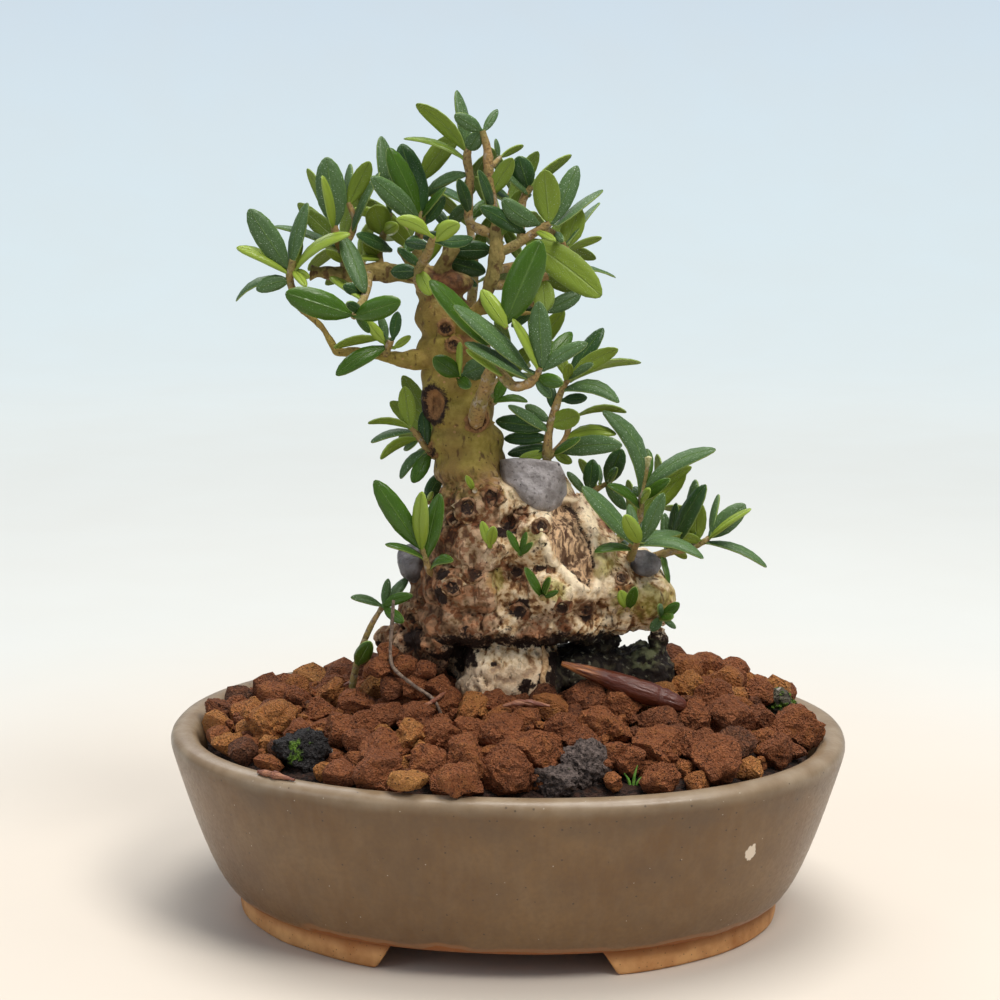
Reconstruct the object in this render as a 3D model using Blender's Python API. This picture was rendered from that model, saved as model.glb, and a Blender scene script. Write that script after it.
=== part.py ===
"""Wild olive bonsai: a gnarled trunk with leafy sprays, growing in an oval glazed pot.

The pot stands on z = 0 with its long side along X, its middle over the origin and its front towards -Y.
Tables hold millimetres. Points of the plant are given as the viewer sees them from in front of the pot:
how far across and how far up they appear on the upright plane through the pot's middle, and how far
back they really lie. place() turns such a point into a place in the pot's frame.
"""
import bpy
import bmesh
from math import acos, cos, exp, pi, radians, sin, sqrt
from random import Random
from mathutils import Matrix, Vector, noise
from mathutils.bvhtree import BVHTree

MM = 0.001
GAP = 0.35 * MM                 # space between pieces that touch
SEED = 11

# The pot: outer rings from the underside over the rim to the floor inside (half length, half depth, height)
POT_SIDES = 34
POT_ROUND = 2.15                # roundness of the oval: 2 is an ellipse
POT_RINGS = [
    (56.0, 40.8, 5.0), (60.4, 45.1, 5.2), (62.2, 46.7, 6.6), (64.4, 48.5, 9.6), (66.6, 50.3, 14.0),
    (69.8, 52.7, 22.5), (72.6, 54.7, 31.5), (74.4, 55.9, 37.4), (75.0, 56.4, 39.8), (74.8, 56.2, 41.2),
    (73.6, 55.0, 42.1), (71.2, 52.6, 42.1), (69.4, 50.8, 41.5), (68.3, 49.7, 39.8), (67.0, 48.5, 31.0),
    (61.0, 43.4, 14.0), (57.0, 39.8, 10.6), (50.0, 33.6, 10.0),
]
FOOT_OUTER = (60.4, 45.5)
FOOT_INNER = (52.5, 37.4)
FOOT_TOP = 6.0
FOOT_SIDES = 34
FOOT_GAP_MIDDLE = 2.0           # the opening sits a little to the right
FOOT_GAP_TOP = 21.8             # half width of the opening between the two feet, at the pot's underside
FOOT_GAP_BOTTOM = 25.2          # and on the ground
DRAIN_RADIUS = 6.5
DRAIN_PLACES = (-26.0, 26.0)
MESH_SIZE = 17.0                # square drain mesh lying over each hole
MESH_THICK = 0.9
MESH_HOLES = 2

# The soil: a bed inside the wall with a mound towards the trunk, covered with baked clay granules
BED_SIDES = 22
BED_RINGS = [(49.0, 32.8, 11.5), (56.2, 39.2, 12.2), (60.4, 43.0, 14.6), (66.2, 47.7, 31.2)]
MOUND_FOOT = 40.0
MOUND_RISE = 10.0
MOUND_HALF = (66.9, 48.3)
REAR_HEAP = (46.0, 16.0, 14.0, 4.0)     # a heap at the right rear: x, y, spread, rise
REAR_DIP = (-50.0, 32.0, 20.0, -4.0)    # and a dip at the left rear, where the pot's wall shows
GRAIN_OVALS = [(7.4, 25), (18.5, 19), (29.5, 13)]    # distance from the wall, and how many grains
GRAIN_RADIUS = (6.2, 7.9)

# The eye in front of the pot that the picture plane belongs to
EYE = Vector((-1.5, -494.0, 189.0))
POT_TURN = radians(5.9)         # the pot is turned by this much to the viewer


def place(across, up, back):
    """A point that appears at (across, up) on the upright plane and lies `back` behind it, in metres."""
    slide = (back - EYE.y) / -EYE.y
    seen = Vector((EYE.x + (across - EYE.x) * slide, back, EYE.z + (up - EYE.z) * slide))
    return Matrix.Rotation(POT_TURN, 3, "Z") @ seen * MM


def unplace(point):
    """The other way round: where a point in metres appears, and how far back it lies."""
    seen = Matrix.Rotation(-POT_TURN, 3, "Z") @ (point / MM)
    slide = (seen.y - EYE.y) / -EYE.y
    return EYE.x + (seen.x - EYE.x) / slide, EYE.z + (seen.z - EYE.z) / slide, seen.y


def mound(x, y):
    """Height of the soil under its granules, all in millimetres."""
    reach = (x / MOUND_HALF[0]) ** 2 + (y / MOUND_HALF[1]) ** 2
    height = MOUND_FOOT + MOUND_RISE * max(0.0, 1 - reach) ** 0.9
    for middle_x, middle_y, spread, rise in (REAR_HEAP, REAR_DIP):
        height += rise * exp(-((x - middle_x) ** 2 + (y - middle_y) ** 2) / (2 * spread ** 2))
    return height


def on_soil(across, up, lift=0.0):
    """The spot on the mound that appears at (across, up), raised by `lift` millimetres."""
    for step in range(-120, 121):
        spot = place(across, up, step / 2) / MM
        if spot.z <= mound(spot.x, spot.y) + lift:
            break
    return spot * MM


def over_rim(across, height):
    """The spot over the middle of the near rim that appears at `across`."""
    half_x, half_y = POT_RINGS[11][:2]
    back = -half_y
    for step in range(8):
        slide = (back - EYE.y) / -EYE.y
        seen = Vector((EYE.x + (across - EYE.x) * slide, back, height))
        x, y, z = Matrix.Rotation(POT_TURN, 3, "Z") @ seen
        back -= y + half_y * (1 - abs(x / half_x) ** POT_ROUND) ** (1 / POT_ROUND)
    return Vector((x, y, z)) * MM


# The trunk's wood as rounded masses: across, up, back, then half sizes across, up and back
WOOD = [
    (-14.4, 139.0, 1.5, 5.4, 4.0, 5.6), (-13.4, 133.0, 1.0, 6.6, 6.0, 6.6), (-12.4, 126.0, 1.0, 7.0, 6.0, 7.0),
    (-11.4, 119.0, 0.5, 7.0, 6.0, 7.2), (-9.6, 112.0, 0.0, 7.2, 6.0, 7.4), (-8.8, 106.0, -0.5, 7.9, 6.0, 7.8),
    (-7.8, 100.0, -1.0, 7.6, 6.5, 8.8), (-15.2, 114.0, -1.5, 2.8, 4.4, 3.6), (-11.0, 139.6, -2.0, 4.4, 2.6, 4.0),
    (-6.0, 92.0, -2.0, 9.0, 8.0, 11.0), (-6.6, 84.0, -3.0, 10.0, 8.0, 12.5), (-7.0, 75.0, -3.0, 11.5, 8.0, 13.0),
    (-8.5, 67.0, -2.0, 11.5, 6.2, 13.0), (6.0, 93.0, -1.0, 8.6, 7.4, 9.4), (5.8, 95.0, -5.5, 7.4, 5.8, 4.8),
    (8.0, 84.0, -3.0, 11.5, 8.6, 12.5), (9.5, 74.0, -4.0, 12.5, 8.6, 14.0), (9.5, 67.2, -3.0, 12.5, 6.0, 13.0),
    (17.5, 80.0, -2.0, 7.5, 8.0, 11.0), (22.5, 74.5, -1.0, 7.8, 7.8, 10.5), (30.0, 71.0, 0.0, 6.6, 6.6, 9.0),
    (28.0, 77.2, 1.0, 4.8, 4.4, 7.6), (14.4, 87.6, 0.0, 5.4, 4.8, 8.0), (31.0, 67.0, 0.0, 5.2, 3.2, 6.5),
    (-14.5, 73.0, 1.0, 6.6, 7.0, 9.0), (-18.3, 77.0, 2.0, 3.8, 4.8, 5.5), (-18.8, 67.5, 0.0, 4.6, 5.2, 7.0),
    (-18.0, 58.0, -2.0, 5.4, 8.0, 8.0), (-25.4, 62.0, -1.0, 2.8, 1.8, 2.6), (-22.0, 56.4, -2.0, 4.2, 6.6, 6.0),
    (0.5, 57.0, -4.0, 10.5, 6.6, 9.4), (-4.0, 50.0, -5.0, 7.5, 7.0, 9.4), (6.0, 51.5, -5.0, 6.6, 7.4, 8.4),
    (16.0, 53.8, 0.0, 8.0, 6.2, 9.0), (24.0, 52.6, 2.0, 8.0, 6.2, 9.0), (31.5, 52.8, 3.0, 5.6, 6.6, 7.6),
    (33.4, 60.6, 2.0, 1.5, 4.4, 1.8), (29.4, 57.0, 3.0, 3.0, 3.2, 4.4),
    (17.0, 64.8, 0.0, 6.0, 4.0, 10.0), (25.0, 66.6, 0.0, 6.0, 3.6, 8.0),
]
TRUNK_BOTTOM = 44.6             # its underside, flat, down in the soil
# The bigger limbs that belong to the trunk: routes of across, up, back, radius
LIMBS = [
    [(-15.0, 141.2, 0, 2.2), (-23.0, 142.0, -1, 2.1), (-32.0, 142.3, -2, 2.0), (-42.4, 142.4, -3, 1.8)],
    [(-14.0, 124.0, -1, 2.2), (-21.4, 123.5, -4, 1.6), (-26.0, 124.4, -6, 1.3), (-33.0, 125.3, -7, 1.1),
     (-36.6, 125.4, -7, 1.1), (-39.4, 130.0, -6, 1.05), (-42.4, 132.8, -5, 1.0), (-44.6, 134.9, -4.6, 0.95)],
    [(-10.0, 131.0, -3, 2.2), (-5.6, 136.0, -7, 1.7), (-2.9, 142.0, -8, 1.5), (-2.2, 147.0, -8, 1.5), (-2.7, 154.4, -7, 1.3)],
    [(-14.5, 140.5, 0, 1.9), (-13.2, 145.0, -2, 1.5), (-10.8, 148.0, -3, 1.2)],
    [(-19.0, 140.5, -1, 1.5), (-20.6, 144.0, -4, 1.2), (-23.0, 147.4, -6, 1.0)],
    [(-6.4, 134.2, -6, 1.2), (0.0, 133.6, -4, 0.9), (5.4, 133.6, -2, 0.8)],
]
# Rings left by cut shoots, and the hollows in them: across, up, ring radius, ring height, hollow depth
KNOTS = [
    (-14.9, 114.2, 3.0, 0.9, 1.6), (-16.0, 103.6, 1.7, 0.6, 1.0), (-13.2, 130.4, 1.7, 0.6, 0.4), (-11.6, 126.6, 1.6, 0.5, 0.8),
    (-8.6, 90.7, 2.3, 1.3, 1.8), (-3.4, 93.2, 2.2, 0.9, 1.8), (-11.6, 88.4, 1.6, 0.8, 1.2), (-7.2, 76.4, 2.2, 0.9, 1.6),
    (2.3, 76.4, 1.7, 0.9, 1.4), (7.7, 77.0, 1.9, 0.9, 1.6), (1.2, 87.2, 2.2, 0.8, 0.6), (7.6, 86.6, 1.6, 0.7, 0.6),
    (3.0, 67.4, 2.0, 0.3, 2.2), (12.2, 68.4, 1.8, 0.4, 1.4), (17.6, 68.2, 1.8, 0.4, 1.2), (22.2, 86.6, 1.6, 0.7, 0.8),
    (25.2, 75.0, 1.4, 0.3, 1.2), (-6.6, 110.2, 2.6, 0.8, 0.2), (-12.0, 73.0, 1.8, 0.4, 1.6), (-20.8, 66.0, 1.6, 0.3, 1.0),
]
SCAR = [(12.6, 89.0), (15.6, 84.0), (18.4, 78.6), (19.6, 73.4)]     # bared wood running down the right face
SCAR_HALF = 3.4

# Each spray is a name, its stems and its leaves. A stem is a route of (across, up, back, radius) points.
# A leaf is (base across, base up, tip across, tip up, seen width, reach, face[, arch]): reach is how much
# farther back the tip lies than the base, face is u for a leaf that turns its underside to the viewer,
# and arch lifts the middle of the blade.
SPRAYS = [
    ("spray_front_pair", [[(-5, 136, -6, 0.9), (-2, 133, -14, 0.8), (-0.2, 130.6, -20, 0.7)]], [
        (-0.3, 131.2, 7.2, 149.2, 7.2, -2, "g"),
        (0.0, 130.4, -5.5, 138.6, 3.6, 2, "y"),
    ]),
    ("spray_front_stub", [[(-7.0, 108.6, -4, 2.0), (-6.3, 112.6, -10, 1.9), (-4.6, 117.6, -13.6, 1.6), (-2.9, 121.8, -15.6, 1.4),
                           (-0.6, 119.6, -16.4, 1.2), (1.4, 117.7, -17, 1.2), (4.2, 118.0, -17.5, 1.1),
                           (6.3, 119.6, -18, 0.9), (7.2, 121.8, -18.5, 0.7)],
                          [(-2.9, 121.6, -15.4, 0.8), (-3.6, 124.0, -15, 0.7), (-4.3, 126.6, -15, 0.6)],
                          [(-0.6, 119.0, -16.2, 0.8), (-1.3, 120.2, -18, 0.6)]], [
        (-4.4, 126.6, -16.6, 140.6, 4.2, -2, "g"),
        (4.5, 121.2, -11.5, 135.2, 3.6, -4, "b"),
        (4.0, 119.5, -9.1, 127.0, 2.4, -5, "b"),
        (-1.3, 120.0, -8.8, 125.6, 1.6, -2, "y"),
        (7.6, 121.4, 6.8, 136.1, 4.8, -1, "b"),
        (6.8, 121.4, 1.2, 132.3, 2.0, -4, "y"),
        (7.8, 121.2, 17.4, 127.1, 3.1, -2, "b", 0.5),
        (6.3, 119.0, 9.6, 115.2, 2.2, -3, "b"),
        (6.8, 119.6, 12.2, 118.2, 3.0, -5, "g"),
        (7.8, 122.0, 14.0, 129.4, 3.4, 5, "g"),
    ]),
    ("spray_left_front", [[(-29.6, 142.0, -3, 1.0), (-30.3, 138.0, -9, 0.9), (-31.8, 134.8, -14, 0.9), (-33, 132.8, -17, 0.8)]], [
        (-33.4, 133.2, -47.6, 137.9, 6.0, -3, "g"),
        (-32.8, 132.8, -22.9, 136.2, 4.8, -4, "g"),
        (-31.0, 137.8, -35.2, 139.5, 2.6, -2, "d"),
        (-31.2, 136.4, -37.9, 141.4, 1.8, 3, "y"),
        (-32.6, 133.4, -29.6, 129.3, 1.8, 1, "g"),
        (-31.5, 134.0, -34.5, 135.8, 2.2, -4, "d"),
    ]),
    ("spray_front_young", [[(-18.4, 139.0, -4, 1.3), (-19.2, 142.2, -9, 1.1), (-17.2, 146.0, -14, 1.0), (-15.8, 149.8, -17, 0.8)]], [
        (-16.6, 150.4, -23.6, 153.8, 3.0, -2, "y", 0.8),
        (-15.0, 149.2, -10.2, 152.8, 3.7, -2, "y", 0.6),
        (-18.4, 143.6, -23.4, 147.6, 2.0, -1, "d"),
        (-19.0, 142.8, -16.4, 137.4, 3.2, -3, "y"),
        (-19.3, 142.6, -24.9, 142.4, 3.4, 3, "d"),
        (-16.6, 148.0, -21.8, 148.8, 2.4, 3, "d"),
        (-15.6, 149.0, -7.3, 149.6, 2.6, 5, "d", -0.6),
    ]),
    ("spray_left_tip", [[(-44.2, 134.4, -4.6, 0.9), (-45.6, 137.4, -4.6, 0.9), (-46.6, 140.4, -4.6, 0.9), (-46.4, 142.6, -5, 0.9),
                         (-45.9, 145.0, -5.4, 0.8)]], [
        (-47.2, 143.4, -55.1, 155.8, 5.4, -2, "b"),
        (-46.4, 143.6, -42.6, 157.2, 3.0, 1, "b"),
        (-46.8, 142.0, -57.9, 147.7, 2.3, -4, "y", 0.6),
        (-45.6, 142.4, -33.6, 150.6, 2.0, -3, "y", 1.6),
        (-46.8, 140.6, -53.9, 138.6, 3.5, -2, "b", 0.4),
        (-46.6, 140.0, -58.3, 136.2, 1.5, 3, "b", 2.0),
        (-45.4, 142.8, -42.4, 141.2, 1.8, -2, "y"),
        (-45.8, 142.6, -43.2, 139.2, 1.8, -4, "y"),
        (-46.0, 143.4, -44.0, 149.0, 2.0, 6, "u"),
    ]),
    ("spray_low_left", [[(-26.4, 124.2, -6, 1.0), (-25.6, 126.4, -8, 0.9), (-25.0, 127.8, -9, 0.7)]], [
        (-27.6, 128.0, -37.4, 126.1, 1.8, -2, "u", 0.4),
        (-26.2, 126.2, -37.0, 120.1, 3.6, -3, "g", 0.6),
        (-26.1, 126.8, -30.2, 132.0, 2.4, -2, "y"),
        (-25.8, 128.0, -27.4, 133.2, 1.9, -1, "b"),
        (-24.6, 127.9, -23.5, 133.9, 2.5, 1, "d"),
        (-24.4, 126.0, -20.8, 128.6, 1.7, 3, "u"),
    ]),
    ("spray_left_upper", [[(-34.6, 141.6, -2, 1.0), (-35.2, 146.0, -3, 0.9), (-36.5, 150.0, -4, 0.9), (-37.0, 152.4, -4.4, 0.8)],
                          [(-35.4, 146.6, -3.2, 0.7), (-32.6, 152.4, -1, 0.7), (-33.8, 157.2, 0, 0.6)]], [
        (-36.6, 152.2, -38.4, 166.8, 6.4, -2, "b"),
        (-37.1, 151.8, -39.4, 162.8, 1.9, -6, "y"),
        (-37.6, 153.0, -42.5, 164.4, 2.0, 3, "u"),
        (-33.7, 157.0, -29.2, 165.9, 4.0, -2, "u"),
        (-33.9, 157.0, -33.4, 165.4, 1.8, 4, "b"),
        (-35.4, 150.6, -30.6, 137.9, 4.0, -7, "b"),
        (-33.2, 150.8, -27.1, 163.6, 1.5, -2, "b"),
        (-36.2, 147.4, -49.8, 152.2, 1.2, 4, "b", 0.4),
        (-35.6, 147.0, -40.2, 148.8, 2.0, 6, "u"),
        (-35.2, 144.4, -38.6, 147.2, 1.8, -4, "u"),
    ]),
    ("spray_left_inner", [[(-26.8, 142.0, 0, 1.0), (-27.4, 146.2, 2, 0.9), (-26.4, 150.6, 3, 0.8), (-25.0, 155.0, 4, 0.7)]], [
        (-26.4, 150.4, -28.4, 156.6, 5.6, -4, "u"),
        (-25.4, 154.4, -32.8, 155.8, 2.4, 2, "y"),
        (-25.0, 155.4, -26.7, 171.2, 3.6, 3, "b"),
        (-24.8, 147.0, -32.2, 150.4, 2.8, -4, "d"),
        (-27.4, 145.8, -30.8, 148.8, 2.8, -2, "u"),
        (-27.2, 145.2, -31.6, 145.4, 1.2, -7, "y"),
        (-26.8, 144.8, -21.8, 142.6, 1.6, -4, "d"),
        (-26.2, 151.0, -23.4, 152.6, 3.0, -8, "y"),
    ]),
    ("spray_left_top", [[(-19.2, 141.4, 1, 1.2), (-19.2, 147.0, 1, 1.1), (-18.4, 153.4, -1, 1.0), (-18.0, 158.0, 2, 0.8), (-18.4, 162.0, 4, 0.7)]], [
        (-18.6, 153.8, -25.2, 168.8, 4.6, -2, "g"),
        (-18.0, 154.2, -22.4, 169.6, 6.2, -4, "d"),
        (-19.0, 153.6, -29.0, 162.6, 4.6, -9, "b"),
        (-18.4, 153.8, -13.0, 160.4, 1.4, -4, "g"),
        (-17.6, 152.6, -13.3, 158.5, 2.8, -1, "d"),
        (-18.4, 161.8, -10.4, 171.7, 4.6, -1, "u", 0.6),
        (-17.6, 158.2, -9.2, 163.4, 2.4, 1, "b", 0.8),
        (-18.9, 150.0, -21.8, 147.0, 2.8, -3, "d"),
    ]),
    ("spray_crown_inner", [[(-13.6, 140.6, 3, 1.2), (-13.0, 146.0, 3, 1.0), (-12.4, 152.6, 2, 0.8)]], [
        (-12.3, 152.6, -8.6, 156.8, 3.0, -2, "b"),
        (-13.0, 147.0, -3.4, 147.2, 4.4, 2, "d"),
        (-13.2, 144.8, -4.6, 142.4, 4.0, 4, "d"),
        (-12.5, 152.0, -15.6, 156.0, 2.4, 4, "d"),
        (-12.8, 149.6, -18.2, 150.2, 2.6, 6, "d"),
        (-13.2, 143.0, -6.4, 139.4, 2.2, 7, "d"),
    ]),
    ("spray_top_left", [[(-3.4, 150.6, -7, 1.1), (-7.8, 152.8, -5, 1.0), (-8.1, 157.5, -4, 0.95), (-7.9, 162.4, -3.5, 0.9),
                         (-8.5, 166.4, -3.5, 0.9), (-8.2, 168.6, -3.5, 0.8), (-7.4, 171.6, -4, 0.5)]], [
        (-9.0, 168.6, -19.2, 178.0, 3.4, -1, "u", 0.5),
        (-8.6, 168.6, -10.6, 180.8, 2.7, 4, "b"),
        (-9.0, 166.4, -21.9, 170.7, 1.0, 2, "s", 0.8),
        (-8.2, 163.2, -15.9, 160.4, 2.2, 2, "b", 0.6),
        (-8.0, 155.0, -10.4, 162.2, 2.6, -5, "d"),
        (-7.8, 154.0, -4.2, 157.6, 2.6, 5, "g"),
    ]),
    ("spray_top", [[(-2.9, 153.6, -7, 1.2), (-3.3, 158.6, -7, 1.1), (-3.9, 164.0, -7, 1.0), (-4.2, 168.6, -7, 0.95), (-5.3, 172.4, -7.4, 0.7)],
                   [(-3.9, 164.2, -6.8, 0.7), (-1.4, 166.8, -3, 0.5)]], [
        (-5.5, 172.4, -11.1, 175.7, 3.2, -3, "b"),
        (-5.0, 172.2, -2.0, 176.8, 1.9, 3, "b"),
        (-5.8, 172.0, -8.2, 168.4, 3.6, 2, "b"),
        (-3.6, 158.8, 1.2, 166.6, 3.7, -3, "u"),
        (-1.8, 166.6, -2.4, 170.7, 1.1, 1, "b"),
        (-1.4, 166.8, 3.5, 169.3, 1.3, 2, "u"),
        (-3.1, 155.4, -6.2, 164.0, 2.2, -7, "d"),
        (-3.0, 157.6, -2.1, 162.2, 1.4, 3, "d"),
        (-3.2, 160.0, 0.8, 157.4, 1.6, 3, "d"),
    ]),
    ("spray_crown_right", [[(-1.4, 146.6, -8, 1.1), (2.2, 148.4, -8, 1.0), (5.6, 150.6, -8, 0.9), (9.2, 152.8, -8, 0.8)],
                           [(3.0, 148.8, -7.8, 0.9), (3.1, 156.6, -5, 0.9), (5.2, 160.8, -5, 0.7)],
                           [(7.6, 151.8, -7.8, 0.8), (10.4, 150.4, -6, 0.7), (12.8, 147.4, -5, 0.6)]], [
        (9.0, 153.0, 8.0, 164.1, 5.8, -3, "u"),
        (9.8, 152.8, 15.0, 165.0, 4.3, 3, "b"),
        (10.6, 152.2, 20.4, 159.9, 1.6, 5, "b"),
        (12.7, 147.8, 15.4, 156.3, 4.9, -2, "u"),
        (13.0, 148.6, 19.7, 157.1, 1.2, 4, "b"),
        (13.0, 147.2, 20.3, 149.8, 1.5, 1, "u"),
        (10.4, 150.8, 12.0, 148.8, 1.8, -2, "b"),
        (4.0, 149.2, 20.3, 137.2, 7.2, -1, "u", 0.6),
        (4.6, 160.2, 2.4, 167.0, 4.7, -2, "d"),
        (5.4, 160.8, 13.7, 167.3, 1.9, 2, "u"),
        (5.0, 158.6, -0.9, 163.7, 1.5, -4, "b"),
        (3.8, 150.8, -5.7, 156.4, 3.6, -3, "d"),
        (6.8, 152.6, -1.0, 158.0, 4.2, -3, "b", -0.8),
        (6.2, 151.2, 10.4, 149.0, 1.5, -3, "y"),
    ]),
    ("spray_low_right", [[(-3.4, 139.6, -6, 1.1), (1.0, 139.8, -1, 1.0), (5.0, 140.5, 1, 1.0), (8.8, 141.6, 1.5, 0.95)],
                          [(2.6, 140.0, 0, 0.8), (4.4, 136.4, 2, 0.7), (8.4, 134.0, 3, 0.6)]], [
        (7.6, 141.0, 8.2, 133.8, 4.8, -4, "u"),
        (8.2, 133.8, 15.9, 137.8, 3.6, 2, "b"),
        (4.2, 137.8, 5.0, 133.2, 2.8, -2, "d"),
        (7.0, 141.0, 23.3, 141.2, 1.0, 6, "b", 1.6),
        (6.0, 134.6, 1.0, 130.6, 2.4, 2, "d"),
        (7.8, 134.0, 8.8, 127.0, 2.6, 3, "d"),
    ]),
    ("spray_front_small", [[(-10.0, 117.6, -4, 1.0), (-9.9, 120.0, -10, 0.8)]], [
        (-10.3, 120.0, -15.9, 123.9, 4.2, -2, "g"),
        (-10.6, 119.4, -7.9, 117.4, 2.6, -2, "g"),
        (-9.4, 120.2, -4.4, 122.4, 4.6, -1, "b"),
        (-10.2, 120.4, -10.1, 127.3, 1.2, -2, "y"),
    ]),
    ("spray_side_small", [[(-5.4, 113.0, -1, 0.8), (-2.6, 114.3, -4, 0.7)]], [
        (-2.4, 114.6, -0.4, 119.4, 2.6, 1, "g"),
        (-2.4, 114.2, 4.5, 114.3, 1.5, -1, "g", 0.7),
    ]),
    ("spray_mid_right", [[(8.6, 97.0, -3.4, 1.2), (8.8, 103.0, -4, 1.1), (9.3, 108.4, -4.6, 0.9), (10.8, 113.6, -4.8, 0.9),
                          (12.0, 117.0, -5, 0.8), (13.4, 119.3, -5, 0.7)],
                         [(9.0, 102.0, -4, 0.9), (12.4, 105.4, -3, 0.8), (13.8, 109.6, -2.4, 0.7), (15.7, 111.6, -2, 0.5)]], [
        (9.3, 109.4, 15.8, 111.4, 4.5, -5, "u"),
        (9.2, 107.8, 0.3, 113.4, 2.1, -3, "b"),
        (9.0, 108.6, -2.4, 110.0, 4.0, 3, "d"),
        (9.0, 106.4, -0.6, 106.1, 3.0, 1, "d"),
        (9.2, 110.0, 4.0, 113.5, 2.6, 0, "b"),
        (9.0, 104.2, 0.2, 102.8, 2.6, 4, "d"),
        (9.0, 104.4, 3.0, 104.6, 2.0, 6, "u"),
        (10.4, 112.2, 9.0, 118.8, 2.4, 3, "d"),
        (13.6, 119.5, 20.8, 130.3, 3.5, 3, "d"),
        (13.8, 119.3, 24.0, 125.8, 3.5, -2, "u", 0.6),
        (13.4, 119.2, 18.8, 122.4, 1.6, -5, "b"),
        (13.8, 118.8, 29.0, 122.8, 1.5, 3, "u", 1.2),
        (12.2, 116.8, 24.4, 114.2, 3.0, -4, "b", 2.0),
        (12.0, 114.6, 17.4, 115.2, 2.4, 2, "d"),
        (13.4, 119.4, 9.6, 127.5, 2.6, 4, "u"),
        (12.8, 118.6, 13.6, 122.6, 2.2, -4, "u"),
        (15.4, 111.2, 26.0, 112.0, 1.4, 1, "u", 1.0),
        (12.3, 105.6, 23.8, 107.2, 2.8, -1, "y", 1.2),
        (11.8, 103.2, 25.1, 104.7, 4.4, -6, "b", 0.8),
        (10.2, 102.8, 16.0, 106.2, 1.8, -6, "g"),
        (10.4, 102.8, 14.2, 100.8, 2.2, -3, "u"),
        (8.9, 103.0, 2.6, 101.6, 2.4, -1, "u"),
    ]),
    ("spray_behind_patch", [[(15.0, 91.0, 5, 0.9), (18.2, 94.0, 6, 0.8), (21.8, 96.2, 6, 0.6)]], [
        (18.0, 94.6, 18.8, 101.6, 3.6, 1, "d"),
        (19.6, 95.2, 15.7, 101.6, 2.2, 3, "u"),
        (21.9, 96.2, 25.0, 103.9, 4.4, -2, "d"),
        (21.6, 96.0, 26.1, 90.4, 2.6, -2, "b"),
        (22.0, 96.4, 24.2, 99.4, 2.0, -4, "g"),
        (20.4, 96.2, 20.0, 100.4, 1.0, 4, "b"),
        (17.4, 93.6, 13.2, 98.8, 1.8, 2, "b"),
    ]),
    ("spray_right_upright", [[(26.0, 79.0, 1, 1.0), (28.6, 85.0, -1, 0.85), (29.2, 89.0, -1.6, 0.8), (29.6, 94.8, -2, 0.8), (30.4, 100.6, -2, 0.75)]], [
        (29.2, 93.6, 20.9, 112.3, 3.8, -2, "b", 3.0),
        (30.2, 96.4, 30.6, 103.9, 3.2, 4, "g"),
        (30.0, 95.2, 45.5, 103.8, 3.3, -3, "b", 1.0),
        (29.8, 93.8, 40.3, 99.9, 2.9, 3, "u"),
        (29.6, 92.6, 35.7, 97.2, 2.4, -5, "g"),
        (29.3, 90.4, 22.0, 95.9, 2.1, -3, "g", 0.8),
        (29.5, 93.0, 27.8, 95.4, 1.8, 3, "g"),
        (29.4, 92.0, 31.4, 94.8, 1.6, -4, "y"),
    ]),
    ("spray_right_front", [[(27.2, 79.6, -6, 1.0), (28.2, 82.2, -11, 0.9), (29.0, 83.4, -12.6, 0.7)]], [
        (27.6, 83.0, 16.5, 95.5, 3.7, -2, "b"),
        (29.2, 82.8, 25.8, 89.2, 3.6, -5, "y"),
        (29.8, 83.4, 34.3, 94.1, 3.5, -1, "b"),
        (28.8, 82.4, 43.3, 79.5, 2.4, -4, "b", 1.8),
        (29.6, 83.0, 38.1, 85.2, 2.2, 0, "b", 0.3),
        (27.9, 81.2, 19.3, 80.9, 1.7, -2, "g", 0.7),
        (28.4, 83.4, 26.8, 91.6, 2.4, 4, "b"),
        (28.8, 83.2, 30.6, 88.2, 2.0, 4, "d"),
    ]),
    ("spray_right_end", [[(30.0, 79.0, 2, 1.0), (35.6, 80.9, 1, 0.9), (39.5, 81.6, 1, 0.8), (43.2, 83.2, 0, 0.7), (44.4, 84.2, 0, 0.6)]], [
        (44.4, 84.2, 52.2, 91.6, 4.8, 1, "b"),
        (44.4, 83.9, 53.5, 90.5, 1.4, -4, "y"),
        (44.8, 85.0, 46.3, 93.8, 1.4, 2, "b"),
        (43.6, 83.0, 57.2, 77.5, 1.7, -2, "b", 0.9),
        (43.0, 83.0, 35.6, 84.1, 2.2, -4, "u", 0.5),
        (41.4, 83.0, 41.7, 92.3, 4.5, -4, "u"),
        (40.8, 82.8, 41.2, 97.1, 2.9, 2, "b"),
        (36.6, 81.8, 37.1, 91.9, 2.3, 0, "d"),
        (36.0, 81.6, 43.5, 95.9, 4.0, -5, "d"),
        (35.0, 81.6, 34.6, 89.6, 2.3, 3, "b"),
        (38.6, 82.2, 38.2, 88.6, 2.0, 4, "b"),
        (34.2, 80.4, 35.0, 76.4, 1.3, 2, "g"),
        (33.9, 80.3, 35.7, 73.7, 1.2, -4, "g"),
        (36.4, 81.4, 39.4, 79.4, 1.6, 2, "u"),
    ]),
    ("spray_left_mid", [[(-14.4, 101.6, -1, 1.0), (-17.2, 103.6, -2, 0.8), (-19.4, 106.8, -3, 0.7), (-21.0, 108.6, -3.4, 0.5)]], [
        (-21.1, 108.6, -22.2, 117.6, 3.7, -2, "u"),
        (-21.0, 108.5, -30.2, 109.6, 1.4, -2, "u", 0.8),
        (-20.2, 107.6, -29.6, 105.4, 1.5, 2, "b", 0.6),
        (-19.6, 106.2, -27.6, 101.7, 2.0, -4, "u", 0.8),
        (-17.6, 103.8, -23.3, 97.3, 2.0, -1, "b", 0.6),
        (-16.9, 103.0, -20.6, 96.4, 3.4, -4, "g"),
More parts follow.
